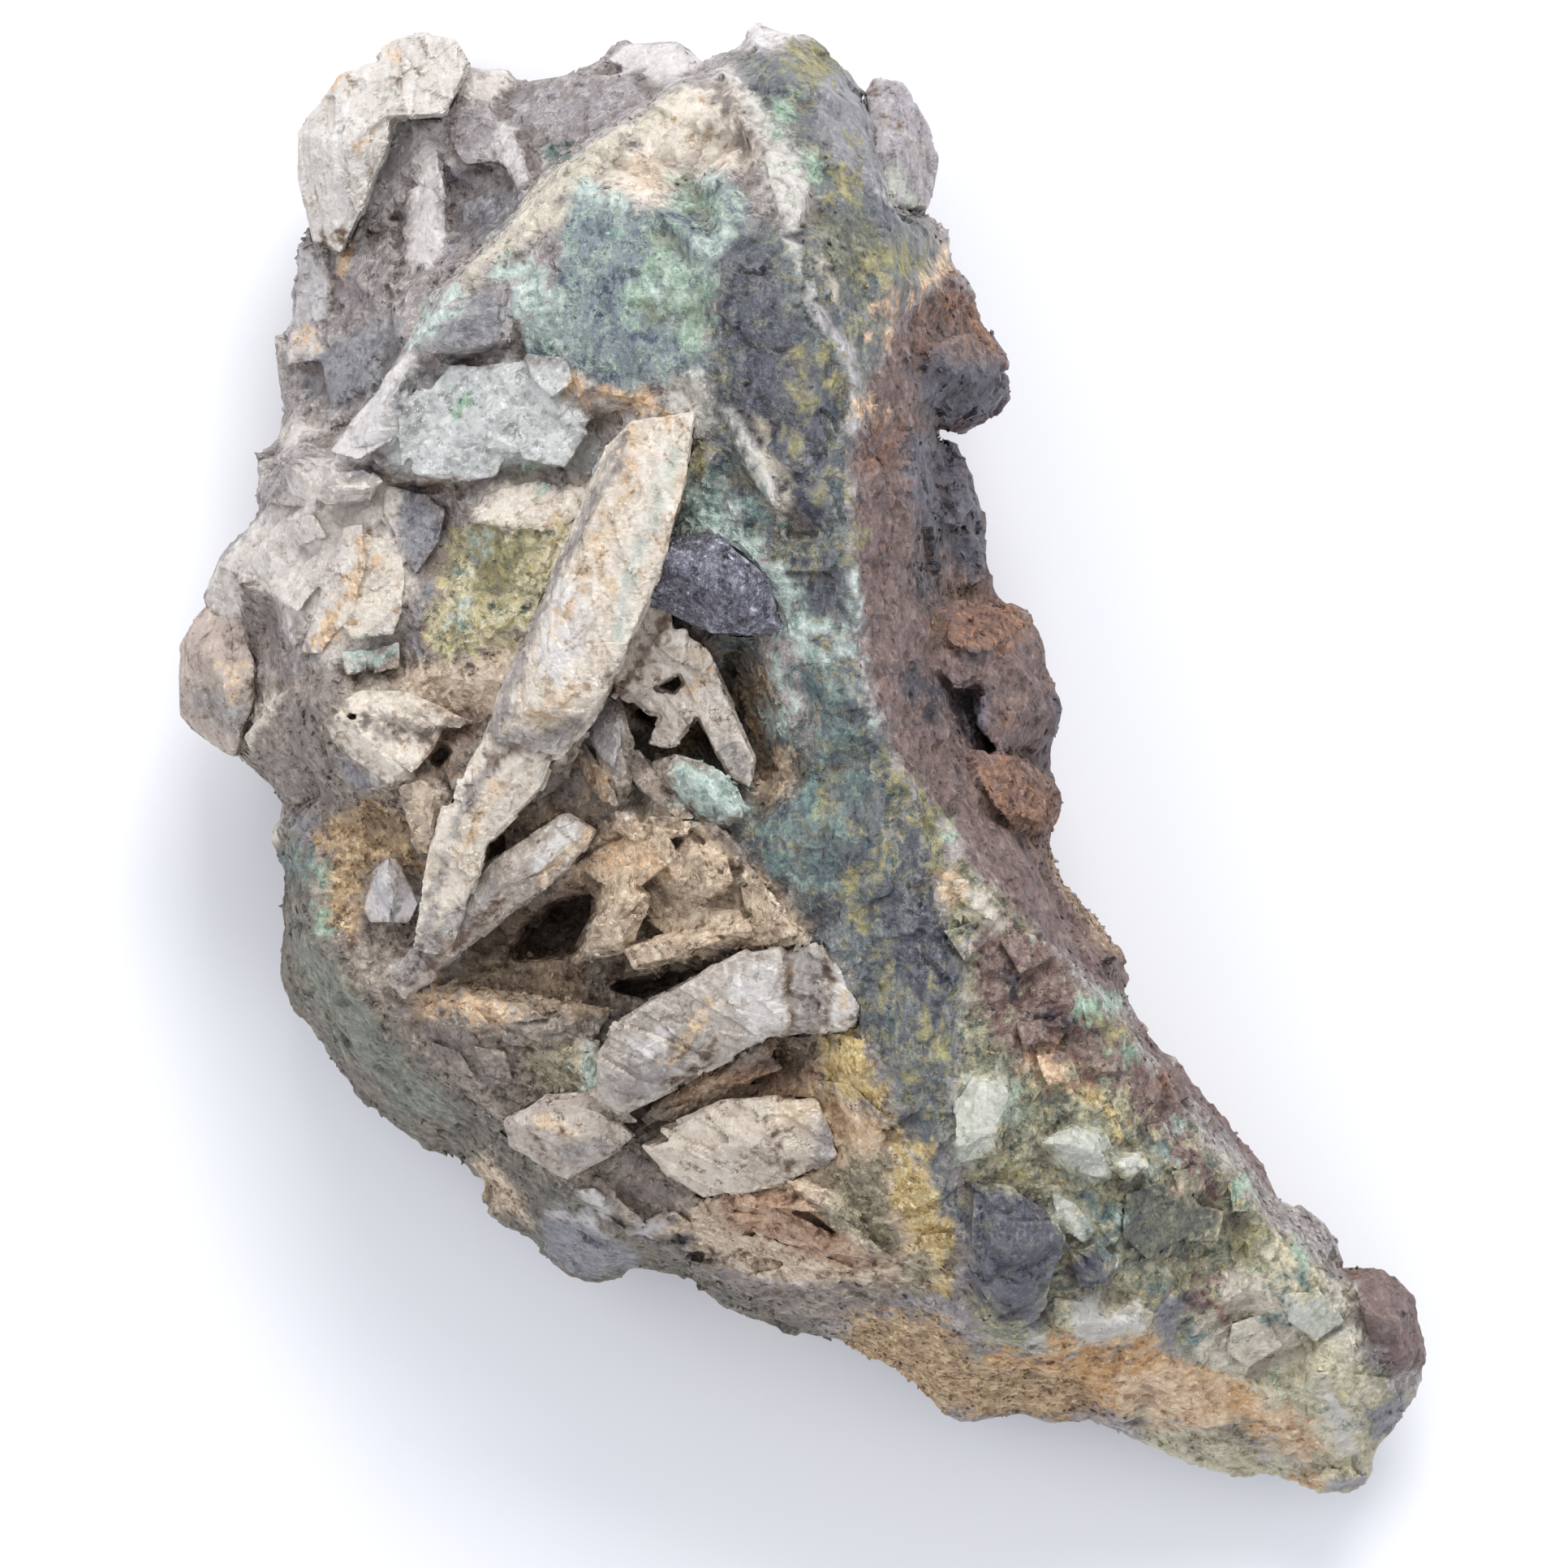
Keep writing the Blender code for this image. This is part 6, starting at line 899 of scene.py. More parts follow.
def mineral_look(name, degrees, ratio, dirt_and_shade_colour, dirt_and_shade_share, threads=0.0):
    """A mineral whose fibres run this way in the plan, with thin threads of crust in its cracks."""
    look = bpy.data.materials.new(name)
    look.use_nodes = True
    tree = look.node_tree
    shader = tree.nodes["Principled BSDF"]
    place = add(tree, "ShaderNodeTexCoord").outputs["Object"]
    lengthwise = drawn_out(tree, place, degrees, ratio)
    broad = clouds(tree, place, 2.0, 3.0)
    fine = clouds(tree, place, 0.6, 4.0, 0.75)
    lines = clouds(tree, lengthwise, 0.35, 3.5, 0.7)
    big_shade, big_rise = crystals(tree, place, 0.9)
    small_shade, small_rise = crystals(tree, place, 0.32)
    line_shade, line_rise = crystals(tree, lengthwise, 0.35)
    fibre = own_number(tree, "fibre")
    grainy = blended(tree, (broad, 0.3), (fine, 0.5), (big_shade, 0.08), (small_shade, 0.12))
    fibrous = blended(tree, (broad, 0.25), (fine, 0.2), (lines, 0.4), (line_shade, 0.15))
    value = mixed_number(tree, fibre, grainy, fibrous)
    colour = mixed_colour(tree, stepped(tree, value, 0.38, 0.5), own_colour(tree, "dark"), own_colour(tree, "middle"))
    colour = mixed_colour(tree, stepped(tree, value, 0.5, 0.62), colour, own_colour(tree, "light"))
    spots = mixed_number(tree, fibre, clouds(tree, place, 0.7, 4.0, 0.8), clouds(tree, lengthwise, 0.25, 3.5, 0.8))
    colour = mixed_colour(tree, stepped(tree, spots, 0.56, 0.66), colour, own_colour(tree, "pale_specks"))
    pits = clouds(tree, place, 1.1, 5.0, 0.8)
    colour = mixed_colour(tree, stepped(tree, pits, 0.45, 0.35), colour, own_colour(tree, "dark_specks"))
    winding = maths(tree, "ABSOLUTE", maths(tree, "SUBTRACT", clouds(tree, place, 1.7, 5.0, 0.7), 0.5))
    where = maths(tree, "MULTIPLY", stepped(tree, winding, 0.036, 0.004), stepped(tree, broad, 0.4, 0.54))
    threaded = maths(tree, "MULTIPLY", maths(tree, "MULTIPLY", where, fibre), threads)
    colour = mixed_colour(tree, threaded, colour, own_colour(tree, "pale_specks"))

    # Dirt and painted shade: the colour goes darker towards its given dirt colour in the near and wide hollows.
    near_hollow = own_number(tree, "near_hollow")
    deep = maths(tree, "MULTIPLY_ADD", own_number(tree, "wide_hollow"), 0.7, near_hollow)
    ragged = maths(tree, "MULTIPLY_ADD", maths(tree, "SUBTRACT", fine, 0.5), 0.8, deep)
    dirt_and_shade = maths(tree, "MULTIPLY", stepped(tree, ragged, 0.1, 0.9), dirt_and_shade_share)
    colour = mixed_colour(tree, dirt_and_shade, colour, linear(*dirt_and_shade_colour))
    worn = stepped(tree, maths(tree, "MULTIPLY", near_hollow, -1.0), 0.15, 0.8)
    colour = mixed_colour(tree, maths(tree, "MULTIPLY", worn, 0.3), colour, own_colour(tree, "light"))

    line_depth = maths(tree, "MULTIPLY", fibre, 0.9)
    facets = blended(
        tree, (big_rise, 0.9), (small_rise, 1.1), (line_rise, line_depth), (fine, 0.2 * MM), (pits, 0.3 * MM)
    )
    rise = add(tree, "ShaderNodeBump", {"Height": facets, "Strength": own_number(tree, "bump"), "Distance": 1.0})
    tree.links.new(colour, shader.inputs["Base Color"])
    tree.links.new(own_number(tree, "roughness"), shader.inputs["Roughness"])
    tree.links.new(own_number(tree, "metal"), shader.inputs["Metallic"])
    tree.links.new(rise.outputs["Normal"], shader.inputs["Normal"])
    return look


ore_look = mineral_look("ore", -VEIN_LEAN, FIBRE_LENGTH, (90, 74, 60), 0.5, threads=0.8)


def dressed(piece, look, slot, *nodes):
    piece.data.materials.clear()
    piece.data.materials.append(look)
    if nodes:
        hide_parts(*nodes)
    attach(piece, "root")


dressed(ore, ore_look, "ore", "ore_matrix")

# Crystals that grew on the ore and are part of it: flat quartz and baryte faces, book leaves, spar
# and splinters. They are cut crisper than the ground they stand on.

GROWN_CRYSTALS = {
    "left_spar": (0.17, [
        (0.9, 0.0, 0.1, [(18.6, 28.4), (20.2, 28.8), (22.0, 29.6), (20.4, 30.4), (19.0, 31.4), (16.6, 31.0), (17.6, 29.4)]),
        (1.3, 0.0, -0.1, [(19.6, 30.8), (20.6, 29.4), (22.6, 29.0), (23.8, 29.8), (22.4, 31.0), (20.4, 31.3)]),
        (0.7, -0.1, 0.0, [(13.4, 34.8), (16.6, 31.2), (19.8, 31.0), (21.4, 32.2), (20.6, 35.0), (18.6, 37.8), (16.4, 36.4),
                          (14.6, 35.4)]),
        (0.9, -0.1, 0.1, [(12.5, 36.6), (13.4, 35.0), (14.8, 35.2), (15.4, 37.8), (14.4, 38.2), (13.0, 38.0)]),
        (0.9, 0.2, 0.0, [(21.4, 32.6), (22.6, 32.4), (22.8, 35.0), (21.8, 38.0), (20.0, 40.2), (18.6, 40.4), (20.0, 37.6),
                         (21.0, 35.0)]),
        (0.7, 0.0, 0.1, [(22.8, 33.0), (24.6, 33.4), (25.2, 35.4), (25.0, 37.8), (24.4, 39.2), (22.0, 39.4), (21.4, 38.6),
                         (22.6, 36.0)]),
        (0.9, -0.3, 0.0, [(14.8, 35.8), (16.2, 36.6), (18.0, 39.0), (18.3, 40.6), (17.4, 41.6), (15.2, 41.0), (15.0, 39.0)]),
        (0.6, 0.1, 0.0, [(24.0, 30.0), (26.4, 30.6), (27.6, 31.6), (27.2, 33.6), (25.8, 35.6), (24.8, 33.6), (23.8, 31.6)]),
        (0.8, 0.1, 0.1, [(23.2, 40.0), (24.8, 39.6), (24.8, 41.2), (23.2, 41.6)]),
        (0.9, -0.1, 0.1, [(21.2, 40.2), (22.8, 40.0), (22.8, 41.4), (21.6, 41.6)]),
        (0.8, 0.1, -0.1, [(17.8, 32.0), (19.6, 31.8), (20.4, 33.2), (18.6, 33.8)]),
    ]),
    "ridge_quartz": (0.17, [
        (0.7, -0.2, 0.1, [(28.0, 22.8), (30.2, 22.8), (31.0, 25.0), (31.8, 27.6), (30.8, 29.6), (28.0, 30.0), (25.6, 29.4),
                          (26.0, 26.0), (27.0, 24.0)]),
        (0.9, 0.2, 0.1, [(30.4, 22.8), (33.0, 22.6), (34.6, 24.8), (36.4, 27.0), (35.0, 29.0), (32.4, 28.6), (31.2, 25.6)]),
        (1.0, 0.1, -0.1, [(32.6, 22.2), (35.2, 22.6), (35.6, 24.0), (34.2, 24.8), (33.0, 23.8)]),
        (0.8, -0.1, 0.0, [(24.8, 26.0), (26.0, 24.2), (27.6, 24.4), (26.2, 27.0), (25.0, 29.0)]),
        (1.0, 0.0, 0.2, [(27.8, 28.2), (30.0, 27.6), (30.6, 29.6), (28.0, 30.0)]),
        (0.8, 0.0, 0.1, [(30.0, 30.6), (33.4, 29.8), (35.6, 30.6), (36.0, 32.0), (34.0, 33.0), (30.6, 32.6), (29.0, 32.4)]),
        (0.8, 0.2, 0.1, [(34.6, 32.6), (36.0, 31.8), (35.6, 34.0), (34.6, 35.6), (33.8, 35.0)]),
        (0.9, -0.2, 0.1, [(20.6, 28.0), (22.2, 25.8), (24.2, 24.0), (25.4, 22.2), (25.6, 24.0), (24.4, 27.4), (22.4, 28.6)]),
    ]),
    "book_leaves": (0.15, [
        (1.1, 0.0, -0.2, [(20.6, 43.6), (22.6, 42.6), (25.0, 42.6), (27.4, 43.8), (29.4, 44.5), (28.4, 45.0), (26.6, 44.4),
                          (24.0, 43.8), (22.0, 44.0)]),
        (0.8, 0.1, 0.0, [(22.0, 44.4), (24.6, 44.4), (27.6, 45.0), (27.0, 46.2), (25.6, 47.6), (24.4, 46.8), (23.0, 45.8)]),
        (1.0, -0.2, 0.0, [(20.2, 44.4), (21.4, 44.0), (23.6, 46.0), (24.6, 48.0), (24.4, 48.6), (22.8, 47.4), (21.0, 46.0)]),
        (0.6, -0.1, 0.2, [(20.2, 45.6), (22.6, 47.6), (24.2, 48.5), (21.8, 48.6), (20.6, 47.4)]),
        (0.9, 0.1, 0.1, [(24.8, 48.4), (26.2, 48.0), (27.8, 49.0), (28.0, 50.6), (27.0, 52.6), (26.0, 52.6), (25.4, 50.6)]),
        (0.8, -0.2, -0.1, [(15.0, 45.4), (17.0, 43.0), (19.4, 41.6), (21.0, 42.0), (20.4, 44.0), (18.0, 45.6), (15.8, 46.8)]),
        (0.6, -0.1, 0.1, [(16.0, 46.8), (18.4, 45.4), (20.2, 45.0), (20.8, 47.6), (19.6, 49.4), (17.4, 49.6)]),
        (1.1, 0.3, 0.0, [(24.0, 52.6), (24.6, 53.0), (25.2, 54.8), (26.0, 55.6), (25.4, 56.8), (24.2, 56.8)]),
        (1.1, -0.3, 0.0, [(22.6, 56.0), (23.2, 54.0), (24.1, 52.8), (24.4, 54.4), (24.2, 56.8), (23.0, 56.8)]),
        (1.0, 0.1, 0.0, [(32.0, 48.4), (33.6, 46.2), (34.9, 44.8), (35.3, 45.6), (34.2, 47.6), (33.0, 49.2), (32.2, 49.3)]),
        (0.9, 0.2, 0.1, [(35.3, 45.0), (36.2, 45.8), (37.6, 48.0), (38.2, 49.6), (37.2, 49.4), (36.0, 47.6)]),
        (1.0, 0.0, 0.0, [(36.2, 43.2), (37.6, 42.8), (38.4, 44.8), (38.0, 47.4), (37.2, 46.8), (36.4, 45.0)]),
        (0.8, 0.0, 0.1, [(38.2, 46.4), (39.4, 46.2), (41.4, 48.8), (43.0, 50.4), (42.0, 50.6), (39.6, 48.6)]),
        (0.9, 0.1, 0.1, [(38.0, 50.0), (39.2, 50.0), (40.0, 51.6), (38.8, 51.8), (37.8, 51.0)]),
        (0.7, 0.0, 0.0, [(28.4, 46.2), (29.8, 46.0), (29.2, 47.8), (28.2, 48.6), (27.6, 47.6)]),
    ]),
    "cave_spar": (0.15, [
        (0.9, 0.0, 0.1, [(35.6, 53.2), (38.6, 51.4), (40.4, 51.6), (41.0, 53.2), (39.6, 54.6), (37.0, 54.2)]),
        (0.9, 0.1, -0.1, [(40.0, 50.2), (42.0, 50.2), (42.6, 51.4), (40.6, 51.6)]),
        (1.2, 0.1, 0.1, [(41.4, 53.2), (43.4, 52.0), (44.8, 52.8), (45.2, 54.2), (43.8, 55.2), (41.8, 54.8)]),
        (0.9, -0.2, 0.1, [(36.6, 55.4), (38.8, 54.4), (39.8, 55.4), (38.4, 57.0), (36.6, 56.6)]),
        (1.0, 0.0, 0.2, [(37.4, 56.8), (39.4, 56.2), (38.4, 57.8), (35.8, 59.3), (35.2, 59.1)]),
        (0.8, 0.0, 0.2, [(38.6, 58.4), (40.6, 57.8), (43.4, 57.6), (44.6, 57.8), (42.0, 58.6), (39.2, 59.5)]),
        (1.0, 0.0, 0.1, [(40.0, 56.6), (43.0, 55.8), (45.6, 56.0), (46.4, 57.2), (43.6, 57.6), (41.0, 57.4)]),
        (0.9, 0.2, 0.0, [(45.6, 54.4), (47.6, 55.4), (49.2, 57.4), (48.0, 57.8), (46.0, 56.0)]),
        (0.9, 0.1, 0.0, [(42.0, 50.4), (44.0, 50.6), (46.2, 52.6), (45.4, 53.4), (43.4, 51.6)]),
        (0.8, 0.0, 0.2, [(45.0, 56.8), (47.0, 56.6), (48.0, 58.0), (46.4, 58.2)]),
        (1.1, -0.1, 0.1, [(40.0, 52.0), (41.2, 51.6), (42.0, 52.6), (41.0, 53.4)]),
        (1.0, 0.1, 0.0, [(46.0, 53.0), (47.0, 54.2), (48.2, 55.8), (47.2, 55.4), (45.8, 54.0)]),
        (0.8, 0.0, 0.1, [(26.2, 62.0), (27.4, 61.4), (29.4, 62.0), (30.4, 63.0), (28.6, 63.4), (26.8, 62.8)]),
        (0.7, 0.0, 0.0, [(30.0, 61.6), (32.4, 61.6), (34.0, 62.6), (31.4, 63.0)]),
        (0.7, 0.1, 0.1, [(29.2, 64.2), (31.2, 64.6), (31.8, 66.4), (30.2, 66.2)]),
        (0.7, -0.1, 0.1, [(26.6, 64.0), (28.4, 64.6), (29.6, 66.4), (27.8, 65.8)]),
    ]),
    "front_leaves": (0.15, [
        (1.0, 0.0, -0.1, [(44.0, 73.8), (46.0, 72.6), (48.6, 73.0), (50.6, 74.4), (48.0, 74.2), (45.6, 74.0)]),
        (0.9, 0.0, 0.2, [(45.0, 74.6), (48.6, 74.4), (51.6, 76.0), (53.6, 77.4), (51.0, 76.8), (47.6, 75.8)]),
        (1.2, 0.1, 0.0, [(48.2, 73.0), (50.0, 73.2), (52.4, 75.4), (54.8, 77.2), (53.2, 77.0), (50.8, 75.0)]),
        (0.9, 0.0, 0.2, [(44.0, 75.8), (47.0, 76.0), (50.4, 77.0), (52.8, 78.0), (50.0, 78.0), (46.6, 77.2)]),
        (0.9, 0.0, 0.1, [(46.0, 78.6), (49.4, 77.4), (52.0, 78.2), (51.4, 79.2), (48.4, 79.4)]),
        (0.8, -0.1, 0.1, [(40.6, 71.2), (42.2, 70.4), (43.4, 71.8), (44.4, 73.4), (42.4, 73.4), (41.2, 72.4)]),
        (0.9, 0.0, 0.0, [(39.8, 75.0), (41.6, 74.4), (42.6, 75.2), (41.4, 76.0), (39.6, 75.8)]),
        (0.7, 0.0, 0.2, [(34.0, 74.4), (36.6, 74.2), (38.6, 75.6), (37.4, 76.2), (35.0, 75.6)]),
        (1.1, 0.0, 0.0, [(35.4, 73.2), (36.6, 73.0), (37.4, 73.6), (37.2, 74.2), (36.0, 74.0)]),
        (0.9, 0.0, 0.1, [(43.4, 68.8), (46.0, 67.6), (47.8, 67.4), (47.0, 68.2), (44.6, 69.6), (42.0, 70.2)]),
        (0.8, 0.0, 0.0, [(40.2, 67.4), (44.0, 65.4), (47.4, 64.8), (48.2, 65.6), (44.6, 66.6), (41.6, 68.2)]),
        (0.6, 0.0, 0.1, [(40.8, 68.4), (44.0, 67.0), (48.0, 66.4), (47.0, 67.0), (43.6, 68.2), (41.4, 69.0)]),
        (0.8, 0.1, 0.1, [(50.0, 66.2), (52.4, 66.6), (54.2, 68.4), (53.4, 70.0), (51.2, 70.2), (50.4, 68.0)]),
        (0.9, 0.2, 0.0, [(51.2, 63.4), (53.2, 63.8), (53.8, 65.4), (52.4, 66.0), (51.0, 65.0)]),
        (0.7, -0.1, 0.2, [(24.0, 63.8), (27.0, 66.0), (29.4, 68.0), (29.0, 68.6), (26.0, 66.6), (23.6, 64.6)]),
        (0.7, -0.1, 0.2, [(30.8, 69.6), (33.0, 71.6), (35.6, 73.0), (35.0, 73.6), (32.0, 72.4), (30.4, 70.6)]),
        (0.9, 0.2, 0.1, [(56.6, 75.8), (58.2, 75.6), (58.4, 77.2), (57.0, 77.6)]),
    ]),
    "arm_spar": (0.15, [
        (0.8, 0.1, 0.0, [(58.6, 67.8), (59.8, 66.0), (61.4, 65.8), (62.0, 67.4), (61.0, 69.8), (58.8, 70.4)]),
        (0.8, 0.0, 0.3, [(58.4, 70.0), (61.0, 69.8), (61.2, 70.8), (59.0, 71.4)]),
        (0.9, 0.0, 0.1, [(64.0, 70.0), (65.8, 69.0), (67.8, 69.4), (68.6, 71.0), (68.2, 72.4), (65.6, 72.0)]),
        (0.9, 0.1, 0.1, [(68.6, 70.8), (70.2, 70.8), (70.6, 71.8), (69.0, 72.4)]),
        (0.9, 0.2, 0.0, [(64.6, 73.2), (66.0, 73.8), (67.4, 75.6), (66.6, 76.4), (65.0, 75.4)]),
        (0.6, 0.0, 0.0, [(59.8, 72.6), (62.4, 73.2), (64.2, 74.2), (65.4, 76.0), (64.6, 78.6), (61.6, 78.4), (59.8, 76.4)]),
        (0.7, 0.0, 0.1, [(60.4, 78.0), (64.0, 78.6), (64.0, 81.0), (62.6, 82.0), (60.8, 80.6)]),
        (0.7, 0.0, 0.1, [(65.8, 77.2), (67.4, 76.2), (68.8, 77.4), (68.2, 79.0), (66.4, 79.0)]),
        (0.7, 0.1, 0.1, [(69.2, 73.4), (71.4, 72.6), (73.6, 73.8), (73.2, 76.0), (70.6, 77.4), (69.0, 76.0)]),
        (0.8, 0.2, 0.1, [(73.4, 74.0), (75.4, 74.6), (75.0, 76.4), (73.0, 76.4)]),
        (0.9, -0.1, 0.1, [(64.8, 79.8), (66.6, 80.0), (67.8, 81.8), (66.4, 82.2), (64.8, 81.4)]),
        (0.9, 0.1, 0.2, [(67.8, 81.4), (69.4, 80.2), (71.0, 80.8), (70.8, 82.2), (68.6, 82.8)]),
        (0.9, 0.0, 0.0, [(58.4, 54.2), (60.0, 54.0), (61.8, 56.0), (61.0, 56.6), (59.0, 55.4)]),
        (0.8, 0.1, 0.1, [(58.0, 57.2), (59.6, 56.8), (60.6, 57.8), (59.2, 59.0)]),
        (0.8, 0.0, 0.1, [(61.4, 57.8), (64.0, 57.2), (64.8, 58.8), (62.6, 59.8)]),
        (0.8, 0.0, 0.0, [(78.8, 79.8), (81.4, 79.6), (83.0, 81.6), (81.2, 82.8), (79.4, 81.4)]),
        (0.7, 0.1, 0.0, [(80.6, 84.8), (82.6, 84.6), (84.2, 87.4), (84.4, 89.8), (82.6, 90.4), (80.8, 88.0)]),
        (0.8, 0.1, 0.1, [(76.0, 81.6), (78.0, 81.0), (79.0, 83.0), (77.0, 84.4), (75.6, 83.4)]),
        (0.9, 0.0, -0.1, [(63.6, 64.8), (65.6, 64.6), (66.2, 66.4), (64.4, 66.8)]),
        (0.7, 0.1, 0.1, [(70.0, 66.0), (72.4, 65.8), (73.2, 67.6), (71.4, 68.6), (69.8, 67.6)]),
        (1.0, 0.0, 0.2, [(70.4, 69.2), (71.6, 69.0), (72.0, 70.0), (70.8, 70.2)]),
        (0.9, 0.1, 0.0, [(75.6, 72.8), (77.0, 73.2), (77.4, 74.6), (76.0, 74.6)]),
        (0.9, 0.0, 0.1, [(83.6, 84.8), (86.0, 85.2), (86.8, 87.0), (85.0, 87.4), (83.8, 86.4)]),
        (0.8, 0.1, 0.0, [(66.2, 61.0), (67.8, 61.4), (68.4, 63.0), (66.8, 63.2)]),
        (0.8, 0.0, 0.1, [(62.4, 62.8), (64.2, 62.6), (64.4, 64.0), (62.8, 64.2)]),
        (0.8, 0.0, 0.1, [(72.0, 72.0), (73.6, 71.8), (74.2, 73.2), (72.6, 73.4)]),
    ]),
}

# the way the leaves run in the plan, and how deep the splits along them are
LEAF_SPLITS = {"book_leaves": (60, 0.22), "front_leaves": (65, 0.26), "cave_spar": (60, 0.14)}

for group, (voxel, forms) in GROWN_CRYSTALS.items():
    leaf_run, split_depth = LEAF_SPLITS.get(group, (VEIN_LEAN, 0.0))
    bm = bmesh.new()
    for form in forms:
        slab(bm, ore_height, *form, spread=1.02)
    mesh = bpy.data.meshes.new(group)
    bm.to_mesh(mesh)
    bm.free()
    piece = bpy.data.objects.new(group, mesh)
    bpy.context.scene.collection.objects.link(piece)
    voxelled(piece, voxel)
    chipped(piece, 0.55, leaf_run, split_depth)
    thinned(piece, 60000)
    finished_ore(piece)
    dressed(piece, ore_look, "ore")

# The baryte crystals: pale, pearly plates split along flat planes, stained brown in their cracks and
# greyer where they are thin, with painted shade in grey on the long blade's left side and lower end.
# Each has grown onto the ore and fills its socket.

SOCKET_GAP = 0.34
# the thin crystals stand free of the ground, so they fill less of their sockets
THIN_GAPS = {"lattice_baryte_blades": 0.08, "grey_baryte_blade": 0.2}

STAIN_AREAS = {
    "grey": [
        # the first two are painted shade: the long blade's left side facet and its lower end, which face away from the
        # light
        [(38.8, 27.4, 0.35), (36.6, 31.6, 0.45), (34.2, 36.6, 0.5), (31.8, 41.6, 0.6), (30.7, 45.2, 0.5)],
        [(31.2, 45.0), (34.2, 44.8), (36.2, 43.8), (36.4, 45.0), (34.4, 46.4), (31.6, 46.6), (30.4, 46.0)],
        [(30.0, 46.6), (31.2, 46.2), (30.0, 49.4), (28.6, 51.6), (28.0, 51.0)], [(27.4, 53.0, 0.3), (26.4, 57.6, 0.4)],
        [(25.6, 59.4, 0.8), (28.0, 57.0, 0.8), (30.4, 54.6, 0.7)], [(37.4, 66.4), (39.0, 64.4), (42.2, 62.2), (43.6, 62.4),
         (43.0, 64.6), (40.6, 67.0), (38.6, 68.0)],
        [(48.7, 58.4), (50.7, 58.2), (50.8, 62.8), (49.0, 63.6)], [(14.0, 44.0, 1.2), (12.4, 43.2, 0.6)],
        [(35.0, 71.0, 0.6), (37.0, 70.2, 0.4)], [(40.6, 39.0, 0.3), (38.6, 42.0, 0.3)], [(44.6, 45.8, 0.4), (45.8, 47.6, 0.4)],
        [(54.6, 7.0, 0.5)], [(56.6, 9.0, 0.5)], [(51.4, 69.2, 0.8), (50.6, 71.6, 0.6)],
    ],
    "white": [
        [(34.6, 36.4), (36.4, 36.0), (36.8, 38.4), (35.6, 40.6), (34.2, 42.8), (33.2, 42.2), (33.8, 39.0)],
        [(20.0, 5.6), (22.6, 4.4), (23.0, 8.0), (21.6, 13.0), (19.4, 12.6), (19.0, 8.0)],
        [(32.6, 53.0), (34.6, 51.0), (36.0, 50.4), (36.2, 51.4), (34.6, 53.0), (33.0, 53.8)],
        [(44.8, 60.2), (47.9, 58.5), (48.3, 62.4), (46.6, 63.9), (45.6, 62.6)], [(38.8, 30.4, 0.6), (37.4, 32.6, 0.4)],
        [(51.0, 58.9), (52.7, 60.4), (52.9, 62.4), (51.2, 63.1)], [(39.2, 65.0, 0.5), (40.8, 63.6, 0.6)],
    ],
    "clear": [
        [(41.8, 28.4, 0.5), (40.6, 31.4, 0.45), (39.2, 35.4, 0.35), (38.2, 39.6, 0.3)], [(55.0, 11.0, 0.8), (56.2, 12.4, 0.6)],
    ],
    "orange": [
        [(37.6, 33.0, 0.35), (37.2, 35.0, 0.55), (37.5, 37.0, 0.35)], [(35.4, 43.2, 0.4), (33.4, 44.2, 0.4)],
        [(40.0, 26.8, 0.4), (38.4, 30.4, 0.3), (36.8, 34.6, 0.3), (34.6, 39.4, 0.2)], [(30.6, 48.6, 0.3), (29.2, 52.4, 0.2)],
        [(41.2, 65.0, 0.3), (44.0, 61.6, 0.3)], [(42.6, 29.8, 0.2), (41.2, 33.8, 0.2)],
        [(41.0, 26.6, 0.7)], [(48.2, 68.4, 0.8), (50.2, 68.0, 0.5)], [(35.6, 69.6, 0.5), (33.2, 69.0, 0.4)],
        [(13.4, 40.4), (14.8, 41.2), (14.6, 42.8)], [(52.0, 61.6, 0.3)], [(43.4, 40.8, 0.35), (43.0, 42.4, 0.3)],
        [(34.0, 53.8, 0.25), (36.6, 51.6, 0.35), (36.6, 50.4, 0.3)], [(22.4, 8.6, 0.3)], [(24.4, 3.6, 0.5)], [(20.6, 4.6, 0.4)],
    ],
    "brown": [
        [(40.8, 38.8, 0.25), (39.6, 40.8, 0.3), (38.4, 42.4, 0.3)], [(36.4, 50.4, 0.15), (37.0, 51.2, 0.15)],
        [(31.0, 55.6, 0.2), (28.0, 58.0, 0.25), (25.8, 60.2, 0.2)], [(30.2, 46.8, 0.2), (32.4, 46.4, 0.15)], [(41.6, 64.2, 0.2)],
        [(44.2, 64.2, 0.25), (41.6, 66.6, 0.25)], [(55.6, 8.0, 0.3)], [(54.0, 5.6, 0.3)], [(48.5, 58.4, 0.08), (48.8, 63.4, 0.1)],
        [(50.9, 58.4, 0.06), (51.0, 63.2, 0.08)], [(20.0, 14.6, 0.4), (21.0, 14.0, 0.25)], [(37.8, 42.0, 0.25)],
        [(42.8, 35.4, 0.12), (41.0, 39.0, 0.1)], [(33.0, 69.8, 0.15), (36.0, 69.4, 0.12)], [(47.8, 69.6, 0.1), (48.6, 72.4, 0.15)],
    ],
}
BARYTE_STAINS = {
    # grey: the grey of the baryte, also used as painted shade on the long blade's left side and lower end
    "grey": ((122, 113, 106), (150, 142, 136), (180, 173, 168), (200, 194, 189), (102, 90, 80),
             0.5, 0.36, 0.0, 0.6, 0.6),
    "white": ((186, 178, 170), (202, 196, 189), (217, 213, 208), (232, 229, 226), (164, 150, 136),
              0.4, 0.32, 0.0, 0.5, 0.6),
    "clear": ((150, 151, 138), (178, 179, 168), (200, 200, 191), (214, 214, 208), (132, 132, 116),
              0.3, 0.22, 0.0, 0.4, 0.5),
    "orange": ((170, 142, 112), (197, 175, 148), (216, 200, 178), (228, 214, 194), (140, 108, 80),
               0.2, 0.5, 0.0, 0.6, 1.0),
    "brown": ((84, 66, 54), (120, 100, 84), (156, 136, 118), (176, 158, 140), (62, 48, 40),
              0.2, 0.8, 0.0, 0.9, 0.9),
}
